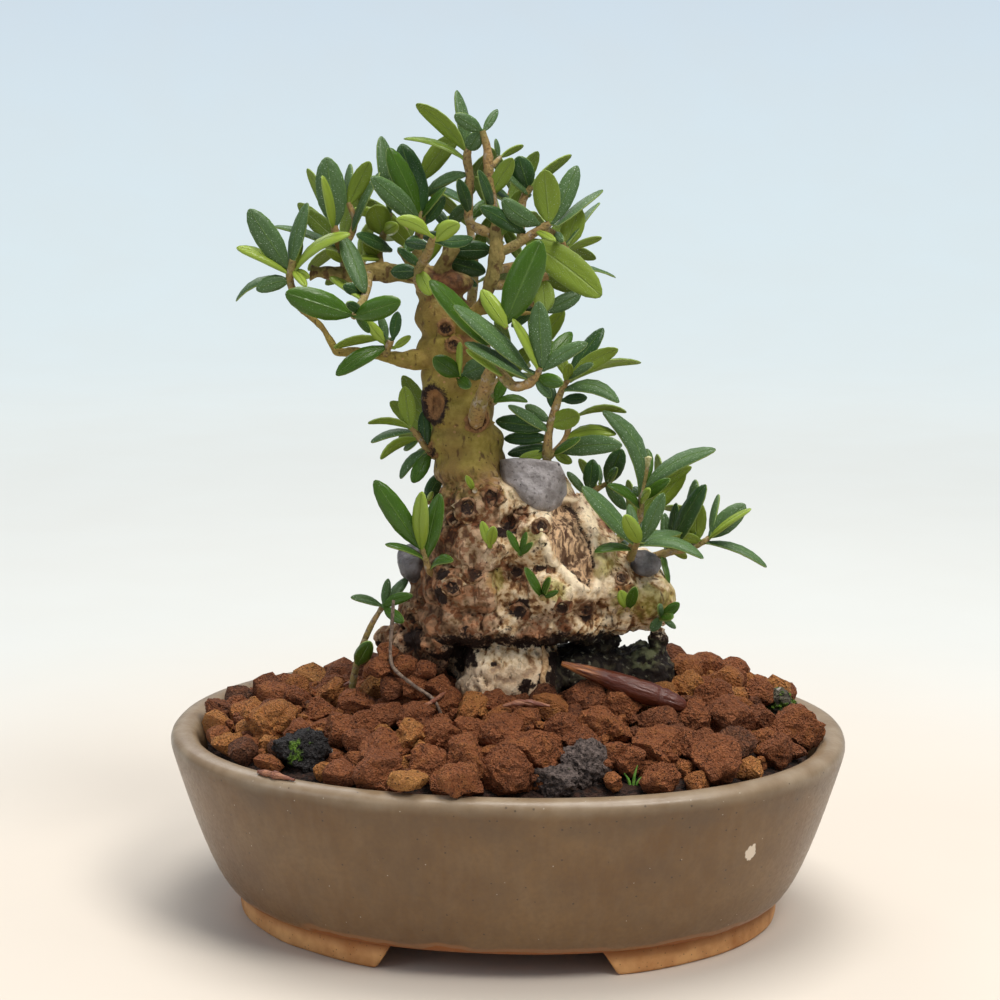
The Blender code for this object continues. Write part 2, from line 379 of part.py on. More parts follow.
        (-17.6, 104.2, -18.2, 112.2, 2.9, -4, "d"),
        (-18.6, 105.6, -16.5, 114.4, 1.2, 2, "b"),
        (-19.0, 106.2, -22.4, 103.6, 1.6, 4, "g"),
    ]),
    ("spray_left_low", [[(-13.8, 74.6, -6, 1.0), (-16.8, 76.4, -11, 0.8), (-17.8, 79.2, -12, 0.7), (-18.7, 81.8, -12.4, 0.6)]], [
        (-19.2, 82.0, -28.9, 96.9, 5.0, -1, "g"),
        (-18.8, 81.4, -18.5, 94.4, 3.5, -4, "y"),
        (-17.6, 79.8, -14.6, 94.0, 4.0, 1, "g"),
        (-18.2, 79.4, -26.7, 82.6, 1.2, -3, "g", 0.5),
        (-16.7, 76.6, -11.8, 78.9, 1.6, -3, "g", 1.2),
    ]),
    ("bud_left_rear", [[(-13.6, 91.6, 3, 0.9), (-17.4, 92.2, 3, 0.7)]], [
        (-17.6, 92.2, -14.7, 98.3, 3.4, 3, "d"),
        (-17.2, 92.4, -16.2, 94.4, 1.2, -3, "y"),
    ]),
    ("sucker", [[(-34.4, 50.0, -6, 0.8), (-33.4, 54.8, -6, 0.8), (-31.8, 60.0, -6, 0.7), (-29.8, 64.6, -6, 0.65), (-27.5, 68.4, -6.4, 0.6)]], [
        (-27.6, 68.7, -34.4, 70.7, 1.7, -2, "b", 0.3),
        (-27.2, 68.8, -26.1, 74.9, 2.0, 2, "b"),
        (-27.2, 68.6, -20.8, 71.1, 2.5, -3, "g", 0.5),
        (-27.0, 68.6, -21.8, 75.2, 2.3, 5, "b"),
        (-27.0, 68.2, -22.8, 65.0, 2.6, -5, "g"),
        (-33.2, 55.2, -30.2, 60.6, 3.7, -4, "g"),
    ]),
    ("bud_right_tip", [[(31.0, 66.6, -4, 0.8), (34.2, 66.2, -8, 0.6)]], [
        (34.4, 66.2, 38.1, 69.4, 2.4, -1, "g"),
        (34.2, 66.4, 33.4, 68.8, 1.3, -1, "b"),
        (34.2, 66.0, 31.9, 63.0, 2.3, -1, "b"),
        (34.6, 66.0, 37.4, 63.6, 1.4, -2, "b"),
        (34.0, 66.2, 36.6, 65.8, 2.0, -3, "g"),
    ]),
    ("bud_right_face", [[(27.4, 69.6, -8, 0.8), (26.6, 67.8, -13, 0.6)]], [
        (26.6, 68.2, 25.0, 72.2, 2.6, -1, "y"),
        (26.9, 68.2, 28.4, 73.0, 2.4, 1, "g"),
    ]),
    ("bud_centre_low", [[(7.7, 72.0, -12, 0.8), (7.9, 70.4, -20, 0.6)]], [
        (7.6, 70.8, 4.0, 77.4, 1.9, -1, "g"),
        (8.0, 71.0, 9.6, 75.0, 1.5, 0, "g"),
        (8.1, 70.6, 11.4, 72.1, 1.3, -1, "g"),
    ]),
    ("bud_centre", [[(3.0, 80.2, -10, 0.8), (3.0, 80.4, -18, 0.6)]], [
        (2.8, 80.6, 0.1, 85.7, 1.5, -1, "g"),
        (3.1, 80.8, 4.3, 85.4, 1.3, 0, "g"),
        (3.2, 80.4, 5.7, 83.0, 1.4, -1, "g"),
    ]),
    ("bud_centre_left", [[(-3.6, 81.6, -10, 0.8), (-3.7, 82.2, -18, 0.6)]], [
        (-3.8, 82.4, -5.5, 87.8, 2.1, 0, "y"),
        (-3.6, 82.4, -2.9, 86.6, 2.3, -2, "y"),
    ]),
    ("bud_upper", [[(-6.9, 95.0, -6, 0.7), (-7.0, 94.6, -13.4, 0.6)]], [
        (-7.2, 94.8, -8.9, 97.9, 1.4, -1, "y"),
        (-6.9, 94.8, -7.2, 97.8, 1.2, 0, "y"),
    ]),
]
# Sprays behind the trunk that the front view hides, one stem each, leafed by rule
REAR_PAIRS = 4
REAR_SPRAYS = [
    ("spray_rear_crown_left", [(-16.0, 141.0, 3, 1.1), (-19.0, 146.0, 12, 1.0), (-22.0, 152.0, 20, 0.7)]),
    ("spray_rear_crown", [(-8.0, 133.0, 5, 1.2), (-7.0, 145.0, 14, 1.0), (-9.0, 157.0, 19, 0.7)]),
    ("spray_rear_left", [(-30.0, 142.4, 0, 1.0), (-33.0, 146.0, 9, 0.9), (-37.0, 150.0, 17, 0.7)]),
    ("spray_rear_top", [(-2.8, 146.6, -4, 1.1), (-1.0, 152.0, 5, 1.0), (1.0, 160.0, 14, 0.7)]),
    ("spray_rear_right", [(-2.6, 143.0, -7, 1.2), (3.0, 144.0, 6, 1.0), (9.0, 148.0, 17, 0.7)]),
    ("spray_rear_middle", [(-5.0, 116.0, 3, 1.2), (0.0, 120.0, 12, 1.0), (6.0, 126.0, 20, 0.7)]),
    ("spray_rear_base", [(20.0, 80.0, 5, 1.1), (27.0, 86.0, 14, 0.9), (33.0, 91.0, 21, 0.7)]),
    ("spray_rear_low", [(-13.0, 104.0, 3, 1.1), (-14.5, 106.0, 11, 0.9), (-16.0, 109.0, 19, 0.7)]),
]


for old in list(bpy.data.objects):
    bpy.data.objects.remove(old)


def surface(name, colour, roughness, metallic=0.0):
    """A Principled material of one colour."""
    material = bpy.data.materials.new(name)
    material.use_nodes = True
    shader = material.node_tree.nodes["Principled BSDF"]
    shader.inputs["Base Color"].default_value = (*colour, 1.0)
    shader.inputs["Roughness"].default_value = roughness
    shader.inputs["Metallic"].default_value = metallic
    return material


GLAZE = surface("grey_brown_glaze", (0.16, 0.11, 0.075), 0.38)
PLASTIC_MESH = surface("drain_mesh_plastic", (0.02, 0.02, 0.02), 0.6)
CLAY_GRAIN = surface("baked_clay_granules", (0.17, 0.055, 0.025), 0.95)
PALE_GRAIN = surface("ochre_granule", (0.36, 0.18, 0.06), 0.9)
MOSSY = surface("mossy_cinder", (0.02, 0.024, 0.02), 0.95)
PUMICE = surface("grey_cinder", (0.12, 0.10, 0.085), 0.95)
BARK = surface("pale_bark", (0.40, 0.30, 0.17), 0.85)
PASTE = surface("grey_wound_paste", (0.15, 0.14, 0.14), 0.55)
LEAF = surface("olive_leaf", (0.06, 0.13, 0.045), 0.42)
HUSK = surface("dry_bud_husk", (0.12, 0.03, 0.015), 0.4)
STRAW = surface("dry_stalk", (0.30, 0.22, 0.14), 0.7)


def solid(name, bm, material):
    """One named object from a bmesh, with its faces outward."""
    bmesh.ops.recalc_face_normals(bm, faces=bm.faces)
    mesh = bpy.data.meshes.new(name)
    bm.to_mesh(mesh)
    bm.free()
    mesh.materials.append(material)
    obj = bpy.data.objects.new(name, mesh)
    bpy.context.scene.collection.objects.link(obj)
    return obj


def settle(obj):
    """Keeps the mesh that the object's modifiers make."""
    depsgraph = bpy.context.evaluated_depsgraph_get()
    mesh = bpy.data.meshes.new_from_object(obj.evaluated_get(depsgraph))
    obj.modifiers.clear()
    obj.data = mesh


def is_closed(obj):
    """Whether every edge of the object has two faces."""
    bm = bmesh.new()
    bm.from_mesh(obj.data)
    closed = all(len(edge.link_faces) == 2 for edge in bm.edges)
    bm.free()
    return closed


def combine(obj, operation, others, keep=False):
    """One Boolean of the object with a collection of others, which are then removed."""
    if not others:
        return
    group = bpy.data.collections.new(obj.name + "_with")
    for other in others:
        group.objects.link(other)
    start = obj.data
    for solver in ("EXACT", "MANIFOLD"):
        obj.data = start.copy()
        step = obj.modifiers.new(operation.lower(), "BOOLEAN")
        step.operation = operation
        step.operand_type = "COLLECTION"
        step.collection = group
        step.solver = solver
        settle(obj)
        if is_closed(obj):
            break
    bpy.data.collections.remove(group)
    if not keep:
        for other in others:
            bpy.data.objects.remove(other)


def keep_largest(obj):
    """Drops the loose scraps that a cut leaves beside the main piece."""
    bm = bmesh.new()
    bm.from_mesh(obj.data)
    left = set(bm.verts)
    pieces = []
    while left:
        piece = set()
        edge_of_piece = [left.pop()]
        while edge_of_piece:
            vert = edge_of_piece.pop()
            piece.add(vert)
            for edge in vert.link_edges:
                other = edge.other_vert(vert)
                if other in left:
                    left.discard(other)
                    edge_of_piece.append(other)
        pieces.append(piece)
    pieces.sort(key=len)
    for piece in pieces[:-1]:
        bmesh.ops.delete(bm, geom=list(piece), context="VERTS")
    bm.to_mesh(obj.data)
    bm.free()


def clearance(obj, gap=GAP):
    """A copy of the object swollen by the gap, to cut its neighbours with."""
    copy = bpy.data.objects.new(obj.name + "_clearance", obj.data.copy())
    bpy.context.scene.collection.objects.link(copy)
    copy.hide_render = True
    copy.display_type = "WIRE"
    swell = copy.modifiers.new("swell", "DISPLACE")
    swell.direction = "NORMAL"
    swell.mid_level = 0.0
    swell.strength = gap
    settle(copy)
    return copy


def oval_ring(bm, half_x, half_y, height, sides, power=POT_ROUND):
    """A ring of verts on a rounded oval."""
    ring = []
    for i in range(sides):
        a = 2 * pi * i / sides
        x = half_x * abs(cos(a)) ** (2 / power) * (1 if cos(a) > 0 else -1)
        y = half_y * abs(sin(a)) ** (2 / power) * (1 if sin(a) > 0 else -1)
        z = height(x, y) if callable(height) else height
        ring.append(bm.verts.new(Vector((x, y, z)) * MM))
    return ring


def band(bm, lower, upper):
    """Quads between two rings of the same count."""
    for i in range(len(lower)):
        j = (i + 1) % len(lower)
        bm.faces.new((lower[i], lower[j], upper[j], upper[i]))


def fan(bm, ring, height):
    """Closes a ring with a fan round a middle point."""
    middle = bm.verts.new(Vector((0, 0, height)) * MM)
    for i in range(len(ring)):
        bm.faces.new((ring[i], ring[(i + 1) % len(ring)], middle))


def route_point(route, t):
    """The point at part t of a smooth curve through the route's points, with its radius."""
    count = len(route) - 1
    at = min(t * count, count - 1e-6)
    i = int(at)
    f = at - i
    p = [Vector(route[min(max(k, 0), count)]) for k in (i - 1, i, i + 1, i + 2)]
    return 0.5 * (2 * p[1] + (p[2] - p[0]) * f + (2 * p[0] - 5 * p[1] + 4 * p[2] - p[3]) * f ** 2
                  + (3 * p[1] - p[0] - 3 * p[2] + p[3]) * f ** 3)


def tube(name, route, sides=4, per_span=1, material=LEAF):
    """A tapering stem along a route of (across, up, back, radius) points, closed at both ends."""
    spans = (len(route) - 1) * per_span
    knots = [route_point(route, i / spans) for i in range(spans + 1)]
    middles = [place(*k[:3]) for k in knots]
    bm = bmesh.new()
    rings = []
    side = Vector((0.3, 1.0, 0.1))
    for i, middle in enumerate(middles):
        along = (middles[min(i + 1, spans)] - middles[max(i - 1, 0)]).normalized()
        side = (side - along * side.dot(along)).normalized()
        other = along.cross(side)
        radius = knots[i][3] * MM
        rings.append([bm.verts.new(middle + radius * (side * cos(2 * pi * k / sides) + other * sin(2 * pi * k / sides)))
                      for k in range(sides)])
    for lower, upper in zip(rings, rings[1:]):
        band(bm, lower, upper)
    bm.faces.new(rings[0])
    bm.faces.new(rings[-1])
    return solid(name, bm, material)


def ball(bm, centre, halves, subdivisions=3):
    """An ellipsoid standing upright and facing the viewer."""
    made = bmesh.ops.create_icosphere(bm, subdivisions=subdivisions, radius=1.0)
    turn = Matrix.Rotation(POT_TURN, 4, "Z")
    scale = Matrix.Diagonal((*(Vector(halves) * MM), 1.0))
    bmesh.ops.transform(bm, matrix=Matrix.Translation(centre) @ turn @ scale, verts=made["verts"])
    return made["verts"]


# The pot: one lofted wall with a rounded rim, on two curved feet, with drain holes through its floor
bm = bmesh.new()
rings = [oval_ring(bm, x, y, z, POT_SIDES) for x, y, z in POT_RINGS]
for lower, upper in zip(rings, rings[1:]):
    band(bm, lower, upper)
fan(bm, rings[0], POT_RINGS[0][2])
fan(bm, rings[-1], POT_RINGS[-1][2])
pot = solid("pot", bm, GLAZE)

bm = bmesh.new()
foot_rings = [oval_ring(bm, *half, z, FOOT_SIDES, 2.0) for half, z in
              ((FOOT_INNER, 0.0), (FOOT_OUTER, 0.0), (FOOT_OUTER, FOOT_TOP), (FOOT_INNER, FOOT_TOP))]
for k in range(4):
    band(bm, foot_rings[k], foot_rings[(k + 1) % 4])
feet = solid("feet", bm, GLAZE)
bm = bmesh.new()
deep = 70.0
outline = [(FOOT_GAP_MIDDLE + x, z) for x, z in ((-FOOT_GAP_BOTTOM - 1.2, -2.0), (FOOT_GAP_BOTTOM + 1.2, -2.0),
                                                 (FOOT_GAP_TOP, FOOT_TOP + 1), (-FOOT_GAP_TOP, FOOT_TOP + 1))]
front = [bm.verts.new(Vector((x, -deep, z)) * MM) for x, z in outline]
rear = [bm.verts.new(Vector((x, deep, z)) * MM) for x, z in outline]
band(bm, front, rear)
bm.faces.new(front)
bm.faces.new(rear)
combine(feet, "DIFFERENCE", [solid("foot_gap", bm, GLAZE)])
combine(pot, "UNION", [feet])
bores = []
for x in DRAIN_PLACES:
    bm = bmesh.new()
    bmesh.ops.create_cone(bm, cap_ends=True, segments=20, radius1=DRAIN_RADIUS * MM, radius2=DRAIN_RADIUS * MM,
                          depth=20 * MM, matrix=Matrix.Translation(Vector((x, 0, 8)) * MM))
    bores.append(solid("drain_bore", bm, GLAZE))
combine(pot, "DIFFERENCE", bores)

# A square of drain mesh over each hole, on the pot's floor
FLOOR = POT_RINGS[-1][2]
for side, x in zip(("left", "right"), DRAIN_PLACES):
    bm = bmesh.new()
    bmesh.ops.create_grid(bm, x_segments=2 * MESH_HOLES + 1, y_segments=2 * MESH_HOLES + 1, size=MESH_SIZE / 2 * MM)
    pitch = MESH_SIZE / (2 * MESH_HOLES + 1) * MM
    holes = [f for f in bm.faces if all(int((c + MESH_SIZE / 2 * MM) / pitch) % 2 for c in f.calc_center_median()[:2])]
    bmesh.ops.delete(bm, geom=holes, context="FACES")
    sheet = bmesh.ops.extrude_face_region(bm, geom=bm.faces[:])
    lifted = [v for v in sheet["geom"] if isinstance(v, bmesh.types.BMVert)]
    bmesh.ops.translate(bm, vec=(0, 0, MESH_THICK * MM), verts=lifted)
    bmesh.ops.translate(bm, vec=Vector((x, 0, FLOOR)) * MM + Vector((0, 0, GAP)), verts=bm.verts)
    solid(f"drain_mesh_{side}", bm, PLASTIC_MESH)

# The trunk: rounded masses and limbs melted together, then knots, hollows and the bared scar pressed in
bm = bmesh.new()
for across, up, back, half_across, half_up, half_back in WOOD:
    ball(bm, place(across, up, back), (half_across, half_back, half_up))
trunk = solid("trunk", bm, BARK)
melt = trunk.modifiers.new("melt", "REMESH")
melt.mode = "VOXEL"
melt.voxel_size = 1.5 * MM
relax = trunk.modifiers.new("relax", "SMOOTH")
relax.factor = 0.5
relax.iterations = 2
thin = trunk.modifiers.new("thin", "DECIMATE")
thin.ratio = 0.1
settle(trunk)


def scar_distance(across, up):
    """Distance in the picture to the bared scar's middle line."""
    here = Vector((across, up))
    best = 99.0
    for a, b in zip(SCAR, SCAR[1:]):
        start, run = Vector(a), Vector(b) - Vector(a)
        t = min(max((here - start).dot(run) / run.length_squared, 0.0), 1.0)
        best = min(best, (here - start - run * t).length)
    return best


bm = bmesh.new()
bm.from_mesh(trunk.data)
bm.normal_update()
moves = []
for vert in bm.verts:
    across, up, back = unplace(vert.co)
    facing = vert.normal.dot((place(EYE.x, EYE.z, EYE.y) - vert.co).normalized())
    push = 0.9 * noise.noise(vert.co * 120) + 0.5 * noise.noise(vert.co * 290)
    if up < 62:
        push *= 0.6
    if facing > 0.15:
        for knot_across, knot_up, ring, rise, hollow in KNOTS:
            away = sqrt((across - knot_across) ** 2 + (up - knot_up) ** 2) / ring
            push += rise * exp(-((away - 1) / 0.45) ** 2) - hollow * exp(-(away / 0.62) ** 2)
        push -= 1.1 * max(0.0, 1 - (scar_distance(across, up) / SCAR_HALF) ** 2)
    moves.append(vert.normal * push * MM)
for vert, move in zip(bm.verts, moves):
    vert.co += move
cut = bmesh.ops.bisect_plane(bm, geom=bm.verts[:] + bm.edges[:] + bm.faces[:], plane_co=(0, 0, TRUNK_BOTTOM * MM),
                             plane_no=(0, 0, 1), clear_inner=True)
bmesh.ops.contextual_create(bm, geom=[e for e in cut["geom_cut"] if isinstance(e, bmesh.types.BMEdge)])
bmesh.ops.dissolve_degenerate(bm, dist=0.08 * MM, edges=bm.edges[:])
bmesh.ops.triangulate(bm, faces=bm.faces[:])
bm.to_mesh(trunk.data)
bm.free()
limbs = [tube(f"limb_{i}", route, 6, 1, BARK) for i, route in enumerate(LIMBS)]
combine(trunk, "UNION", limbs)
keep_largest(trunk)
trunk_clear = clearance(trunk)

# Grey wound paste over three cuts: caps that follow the wood under them
PASTE_CAPS = {
    "wound_paste_main": [(6.6, 95.2, -6.0, 7.3, 6.3, 6.0), (1.0, 98.6, -6.2, 3.2, 3.2, 4.6)],
    "wound_paste_left": [(-20.4, 78.6, 1.0, 3.7, 4.2, 6.6)],
    "wound_paste_right": [(30.1, 78.3, -2.2, 3.7, 3.1, 6.0)],
}
pastes = []
for name, caps in PASTE_CAPS.items():
    balls = []
    for across, up, back, half_across, half_up, half_back in caps:
        bm = bmesh.new()
        ball(bm, place(across, up, back), (half_across, half_back, half_up), 2)
        balls.append(solid(name, bm, PASTE))
    combine(balls[0], "UNION", balls[1:])
    combine(balls[0], "DIFFERENCE", [trunk_clear], keep=True)
    keep_largest(balls[0])
    balls[0].name = name
    pastes.append(balls[0])


# The leafy sprays
BLADE_THICK = 0.9 * MM            # at the midrib


def blade(bm, root, base, tip, side, width, lift, plain=False, thick=BLADE_THICK):
    """A leaf with a keel under its midrib: a stalk at the root, one or two full stations and a point."""
    keel = side.cross(tip - base).normalized() * thick
    if keel.dot(lift) > 0:
        keel = -keel
    rows = []
    root -= (tip - base).normalized() * 0.25 * MM
    stations = [(root, 0.45 * MM), (base.lerp(tip, 0.36) + lift, 0.48 * width),
                (base.lerp(tip, 0.73) + lift * 0.8, 0.41 * width)]
    if plain:
        stations[1:] = [(base.lerp(tip, 0.52) + lift, 0.5 * width)]
    for middle, half in stations:
        rows.append([bm.verts.new(middle - side * half), bm.verts.new(middle + side * half), bm.verts.new(middle + keel)])
    for lower, upper in zip(rows, rows[1:]):
        band(bm, lower, upper)
    bm.faces.new(rows[0])
    end = bm.verts.new(tip)
    for k in range(3):
        bm.faces.new((rows[-1][k], rows[-1][(k + 1) % 3], end))


def nearest_on_stems(stems, across, up):
    """The stem point that appears nearest to a place in the picture."""
    here = Vector((across, up))
    best = None
    for route in stems:
        steps = (len(route) - 1) * 8
        for i in range(steps + 1):
            point = route_point(route, i / steps)
            away = (point.xy - here).length
            if best is None or away < best[0]:
                best = (away, point)
    return best[1]


def pictured_leaf(stems, row, slide):
    """Root, base, tip, side, width and lift of a leaf given as it appears, and whether it is a plain inner one."""
    base_across, base_up, tip_across, tip_up, seen, reach, face = row[:7]
    arch = row[7] if len(row) > 7 else 0.0
    joint = nearest_on_stems(stems, base_across, base_up)
    root = place(*joint[:3])
    base = place(base_across, base_up, joint[2])
    tip = place(tip_across, tip_up, joint[2] + reach + slide)
    view = (place(EYE.x, EYE.z, EYE.y) - (base + tip) / 2).normalized()
    axis = (tip - base).normalized()
    length = (tip - base).length
    level = axis.cross(view).normalized()
    if level.z < 0:
        level = -level
    toward = level.cross(axis)
    if toward.dot(view) < 0:
        toward = -toward
    width = max(seen * MM, min(5.0 * MM, 0.3 * length))
    roll = acos(min(1.0, seen * MM / width))
    shown = -1 if face == "u" else 1
    options = []
    for sign in (1, -1):
        side = level * cos(roll) + toward * sin(roll) * sign
        upper = (toward * cos(roll) - level * sin(roll) * sign) * shown
        options.append((upper.z, side, upper))
    upper_z, side, upper = max(options, key=lambda option: option[0])
    return root, base, tip, side, width, level * arch * MM + upper * length * 0.05, face == "d" or length < 10.5 * MM


def shape_of(leaf, thick, first=0.12):
    """A tree of faces of the leaf's blade past its stalk, for keeping leaves apart."""
    root, base, tip, side, width, lift, plain = leaf
    bm = bmesh.new()
    blade(bm, base.lerp(tip, first), base, tip, side, width, lift, plain, thick)
    tree = BVHTree.FromBMesh(bm)
    bm.free()
    return tree


trunk_tree = BVHTree.FromObject(trunk, bpy.context.evaluated_depsgraph_get())
placed = []                     # middle, radius and tree of everything that leaves keep clear of


def clear_of_all(leaf):
    """Counts what a leaf would touch."""
    middle = (leaf[1] + leaf[2]) / 2
    reach = (leaf[2] - leaf[1]).length / 2 + leaf[4] / 2
    thick = shape_of(leaf, BLADE_THICK + 2.4 * GAP, 0.25)
    touches = 3 * bool(thick.overlap(trunk_tree))
    for other_middle, other_reach, other in placed:
        if (middle - other_middle).length < reach + other_reach and thick.overlap(other):
            touches += 1
    return touches


def remember(leaf):
    middle = (leaf[1] + leaf[2]) / 2
    placed.append((middle, (leaf[2] - leaf[1]).length / 2 + leaf[4] / 2, shape_of(leaf, BLADE_THICK)))


def rear_leaves(route, count, rng):
    """Pairs of leaves along a stem, each pair a quarter turn on from the one below it."""
    leaves = []
    for pair in range(count):
        t = 0.3 + 0.7 * pair / (count - 1)
        here = place(*route_point(route, t)[:3])
        ahead = (place(*route_point(route, min(t + 0.1, 1.0))[:3]) - place(*route_point(route, t - 0.1)[:3])).normalized()
        out = ahead.orthogonal().normalized()
        out = Matrix.Rotation(pair * pi / 2 + rng.uniform(-0.3, 0.3), 3, ahead) @ out
        for turn in (1, -1):
            length = rng.uniform(10.5, 14.5) * MM
            spread = radians(rng.uniform(38, 62))
            options = []
            for change in (0.0, -0.35, 0.35, 0.6):
                axis = ahead * cos(spread + change) + out * turn * sin(spread + change)
                side = axis.cross(ahead).normalized()
                lift = side.cross(axis).normalized() * length * 0.06
                options.append((here, here + axis * 0.8 * MM, here + axis * length, side, 0.3 * length, lift, True))
            leaves.append(options)
    return leaves


all_stems = {}
for name, stems, rows in SPRAYS + [(name, [route], None) for name, route in REAR_SPRAYS]:
    all_stems[name] = [tube(f"{name}_stem_{i}", route) for i, route in enumerate(stems)]
    for obj in all_stems[name]:
        bm = bmesh.new()
        bm.from_mesh(obj.data)
        middle = sum((v.co for v in bm.verts), Vector()) / len(bm.verts)
        placed.append((middle, max((v.co - middle).length for v in bm.verts), BVHTree.FromBMesh(bm)))
        bm.free()

leaves_of = {name: [] for name in all_stems}
for name, stems, rows in SPRAYS:
    for row in rows:
        options = [pictured_leaf(stems, row, slide) for slide in (0, 2, -2, 4, -4, 6, -6, 9, -9, 12)]
        touches = [clear_of_all(leaf) for leaf in options]
        leaf = options[touches.index(min(touches))]
        leaves_of[name].append(leaf)
        remember(leaf)
rng = Random(SEED)
for name, route in REAR_SPRAYS:
    for options in rear_leaves(route, REAR_PAIRS, rng):
        for leaf in options:
            if not clear_of_all(leaf):
                leaves_of[name].append(leaf)
                remember(leaf)
                break

for name, parts in all_stems.items():
    for i, leaf in enumerate(leaves_of[name]):
        bm = bmesh.new()
        blade(bm, *leaf)
        parts.append(solid(f"{name}_leaf_{i}", bm, LEAF))
    spray = parts[0]
    combine(spray, "UNION", parts[1:])
    combine(spray, "DIFFERENCE", [trunk_clear], keep=True)
    keep_largest(spray)
    spray.name = name

# Where a shoot comes out beside a wound, the paste round it is pressed in
for paste, shoot in zip(pastes, ("spray_mid_right", "sucker", "spray_right_end")):
    combine(paste, "DIFFERENCE", [clearance(bpy.data.objects[shoot])])
    keep_largest(paste)

# What lies on the soil: cinders, loose granules, a husk, slivers and a dry stalk
LUMPS = {
    "mossy_cinder_left": (-45.4, 35.6, 4.6, 4.6, MOSSY), "grey_cinder_front": (17.8, 31.6, 4.2, 5.0, PUMICE),
    "grey_cinder_small": (11.6, 28.6, 3.6, 4.0, PUMICE), "mossy_cinder_right": (60.6, 45.6, 3.6, 3.2, MOSSY),
}
lying = []
hearts = []
rng = Random(SEED + 1)
for name, (across, up, half, tall, material) in LUMPS.items():
    bm = bmesh.new()
    heart = on_soil(across, up, 1.5)
    ball(bm, heart, (half, half * 0.9, tall), 2)
    hearts.append(heart / MM)
    for vert in bm.verts:
        vert.co += (vert.co - heart).normalized() * rng.uniform(-0.5, 0.5) * MM
    lying.append(solid(name, bm, material))

HUSK_ROUTE = [(12.2, 55.2, -16, 0.5), (17.0, 53.6, -16, 1.3), (22.5, 52.0, -16.5, 2.2), (28.0, 49.6, -18, 2.3),
              (34.0, 47.4, -18.5, 1.9), (39.6, 45.6, -19, 0.7)]
lying.append(tube("dry_husk", HUSK_ROUTE, 7, 1, HUSK))
STALK_ROUTE = [(-25.0, 70.0, -14, 0.4), (-25.4, 64.0, -14.5, 0.4), (-25.8, 58.0, -15, 0.4), (-25.0, 54.4, -16, 0.4),
               (-21.0, 50.8, -18, 0.4), (-16.4, 47.4, -20, 0.4), (-14.4, 43.2, -20, 0.4)]
lying.append(tube("dry_stalk", STALK_ROUTE, 5, 1, STRAW))
SLIVER_ROUTES = {
    "bark_sliver_centre": [(-0.8, 45.2, -24, 0.4), (4.0, 45.6, -24, 0.7), (9.6, 44.6, -24, 0.4)],
}
for name, route in SLIVER_ROUTES.items():
    lying.append(tube(name, route, 5, 2, HUSK))

# The soil: bed and granules in one, cut clear of the trunk and of what lies in it
bm = bmesh.new()
rings = [oval_ring(bm, x, y, z, BED_SIDES) for x, y, z in BED_RINGS]
for part in (1.0, 0.8, 0.5, 0.2):
    rings.append(oval_ring(bm, MOUND_HALF[0] * part, MOUND_HALF[1] * part, mound, BED_SIDES))
for lower, upper in zip(rings, rings[1:]):
    band(bm, lower, upper)
fan(bm, rings[0], BED_RINGS[0][2])
fan(bm, rings[-1], mound(0, 0))
soil = solid("soil", bm, CLAY_GRAIN)
grains = []
rng = Random(SEED)
for inset, count in GRAIN_OVALS:
    for i in range(count):
        a = 2 * pi * (i + rng.uniform(-0.15, 0.15)) / count
        x = (MOUND_HALF[0] - inset) * cos(a) + rng.uniform(-0.8, 0.8)
        y = (MOUND_HALF[1] - inset) * sin(a) + rng.uniform(-0.8, 0.8)
        radius = rng.uniform(*GRAIN_RADIUS)
        taken = ((x - 4) / 28) ** 2 + (y / 12) ** 2 < 1
        if taken or any(sqrt((x - heart.x) ** 2 + (y - heart.y) ** 2) < 7.6 for heart in hearts):
            continue
        bm = bmesh.new()
        bmesh.ops.create_icosphere(bm, subdivisions=1, radius=radius * MM)
        for vert in bm.verts:
            vert.co *= rng.uniform(0.86, 1.08)
            vert.co.z *= 0.85
        turn = Matrix.Rotation(rng.uniform(0, 6.28), 4, "Z") @ Matrix.Rotation(rng.uniform(-0.5, 0.5), 4, "X")
        spot = Vector((x, y, mound(x, y) + rng.uniform(-2.0, 0.2))) * MM
        bmesh.ops.transform(bm, matrix=Matrix.Translation(spot) @ turn, verts=bm.verts)
        grains.append(solid(f"grain_{len(grains)}", bm, CLAY_GRAIN))
combine(soil, "UNION", grains)
sucker = bpy.data.objects["sucker"]
combine(soil, "DIFFERENCE", [clearance(obj) for obj in lying + [sucker]] + [trunk_clear])
keep_largest(soil)

# Two loose granules lying on the rim in front
RIM_TOP = max(z for x, y, z in POT_RINGS)
for name, across, material, halves in (("rim_granule_pale", -21.6, PALE_GRAIN, (5.0, 3.2, 2.4)),
                                       ("rim_granule_brown", -10.4, CLAY_GRAIN, (5.0, 3.4, 3.5))):
    bm = bmesh.new()
    ball(bm, over_rim(across, RIM_TOP + 0.35 + halves[2] * 0.94), halves, 2)
    solid(name, bm, material)

for obj in bpy.data.objects:
    obj.data.shade_smooth()
    obj.data.set_sharp_from_angle(angle=radians(32))
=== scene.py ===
# %% [markdown]
# # A wild olive bonsai in its oval pot
# This notebook dresses the plain solid model of a small olive tree: a gnarled pale trunk with leafy
# shoots, standing in baked clay granules in a satin-glazed oval pot. The solids give every size and
# place. Here each of them gets either a fine surface or a finer piece of the same form.

# %% Load the frame
from math import acos, cos, exp, pi, radians, sin, sqrt
from random import Random
import bmesh
import bpy
from mathutils import Matrix, Vector, noise


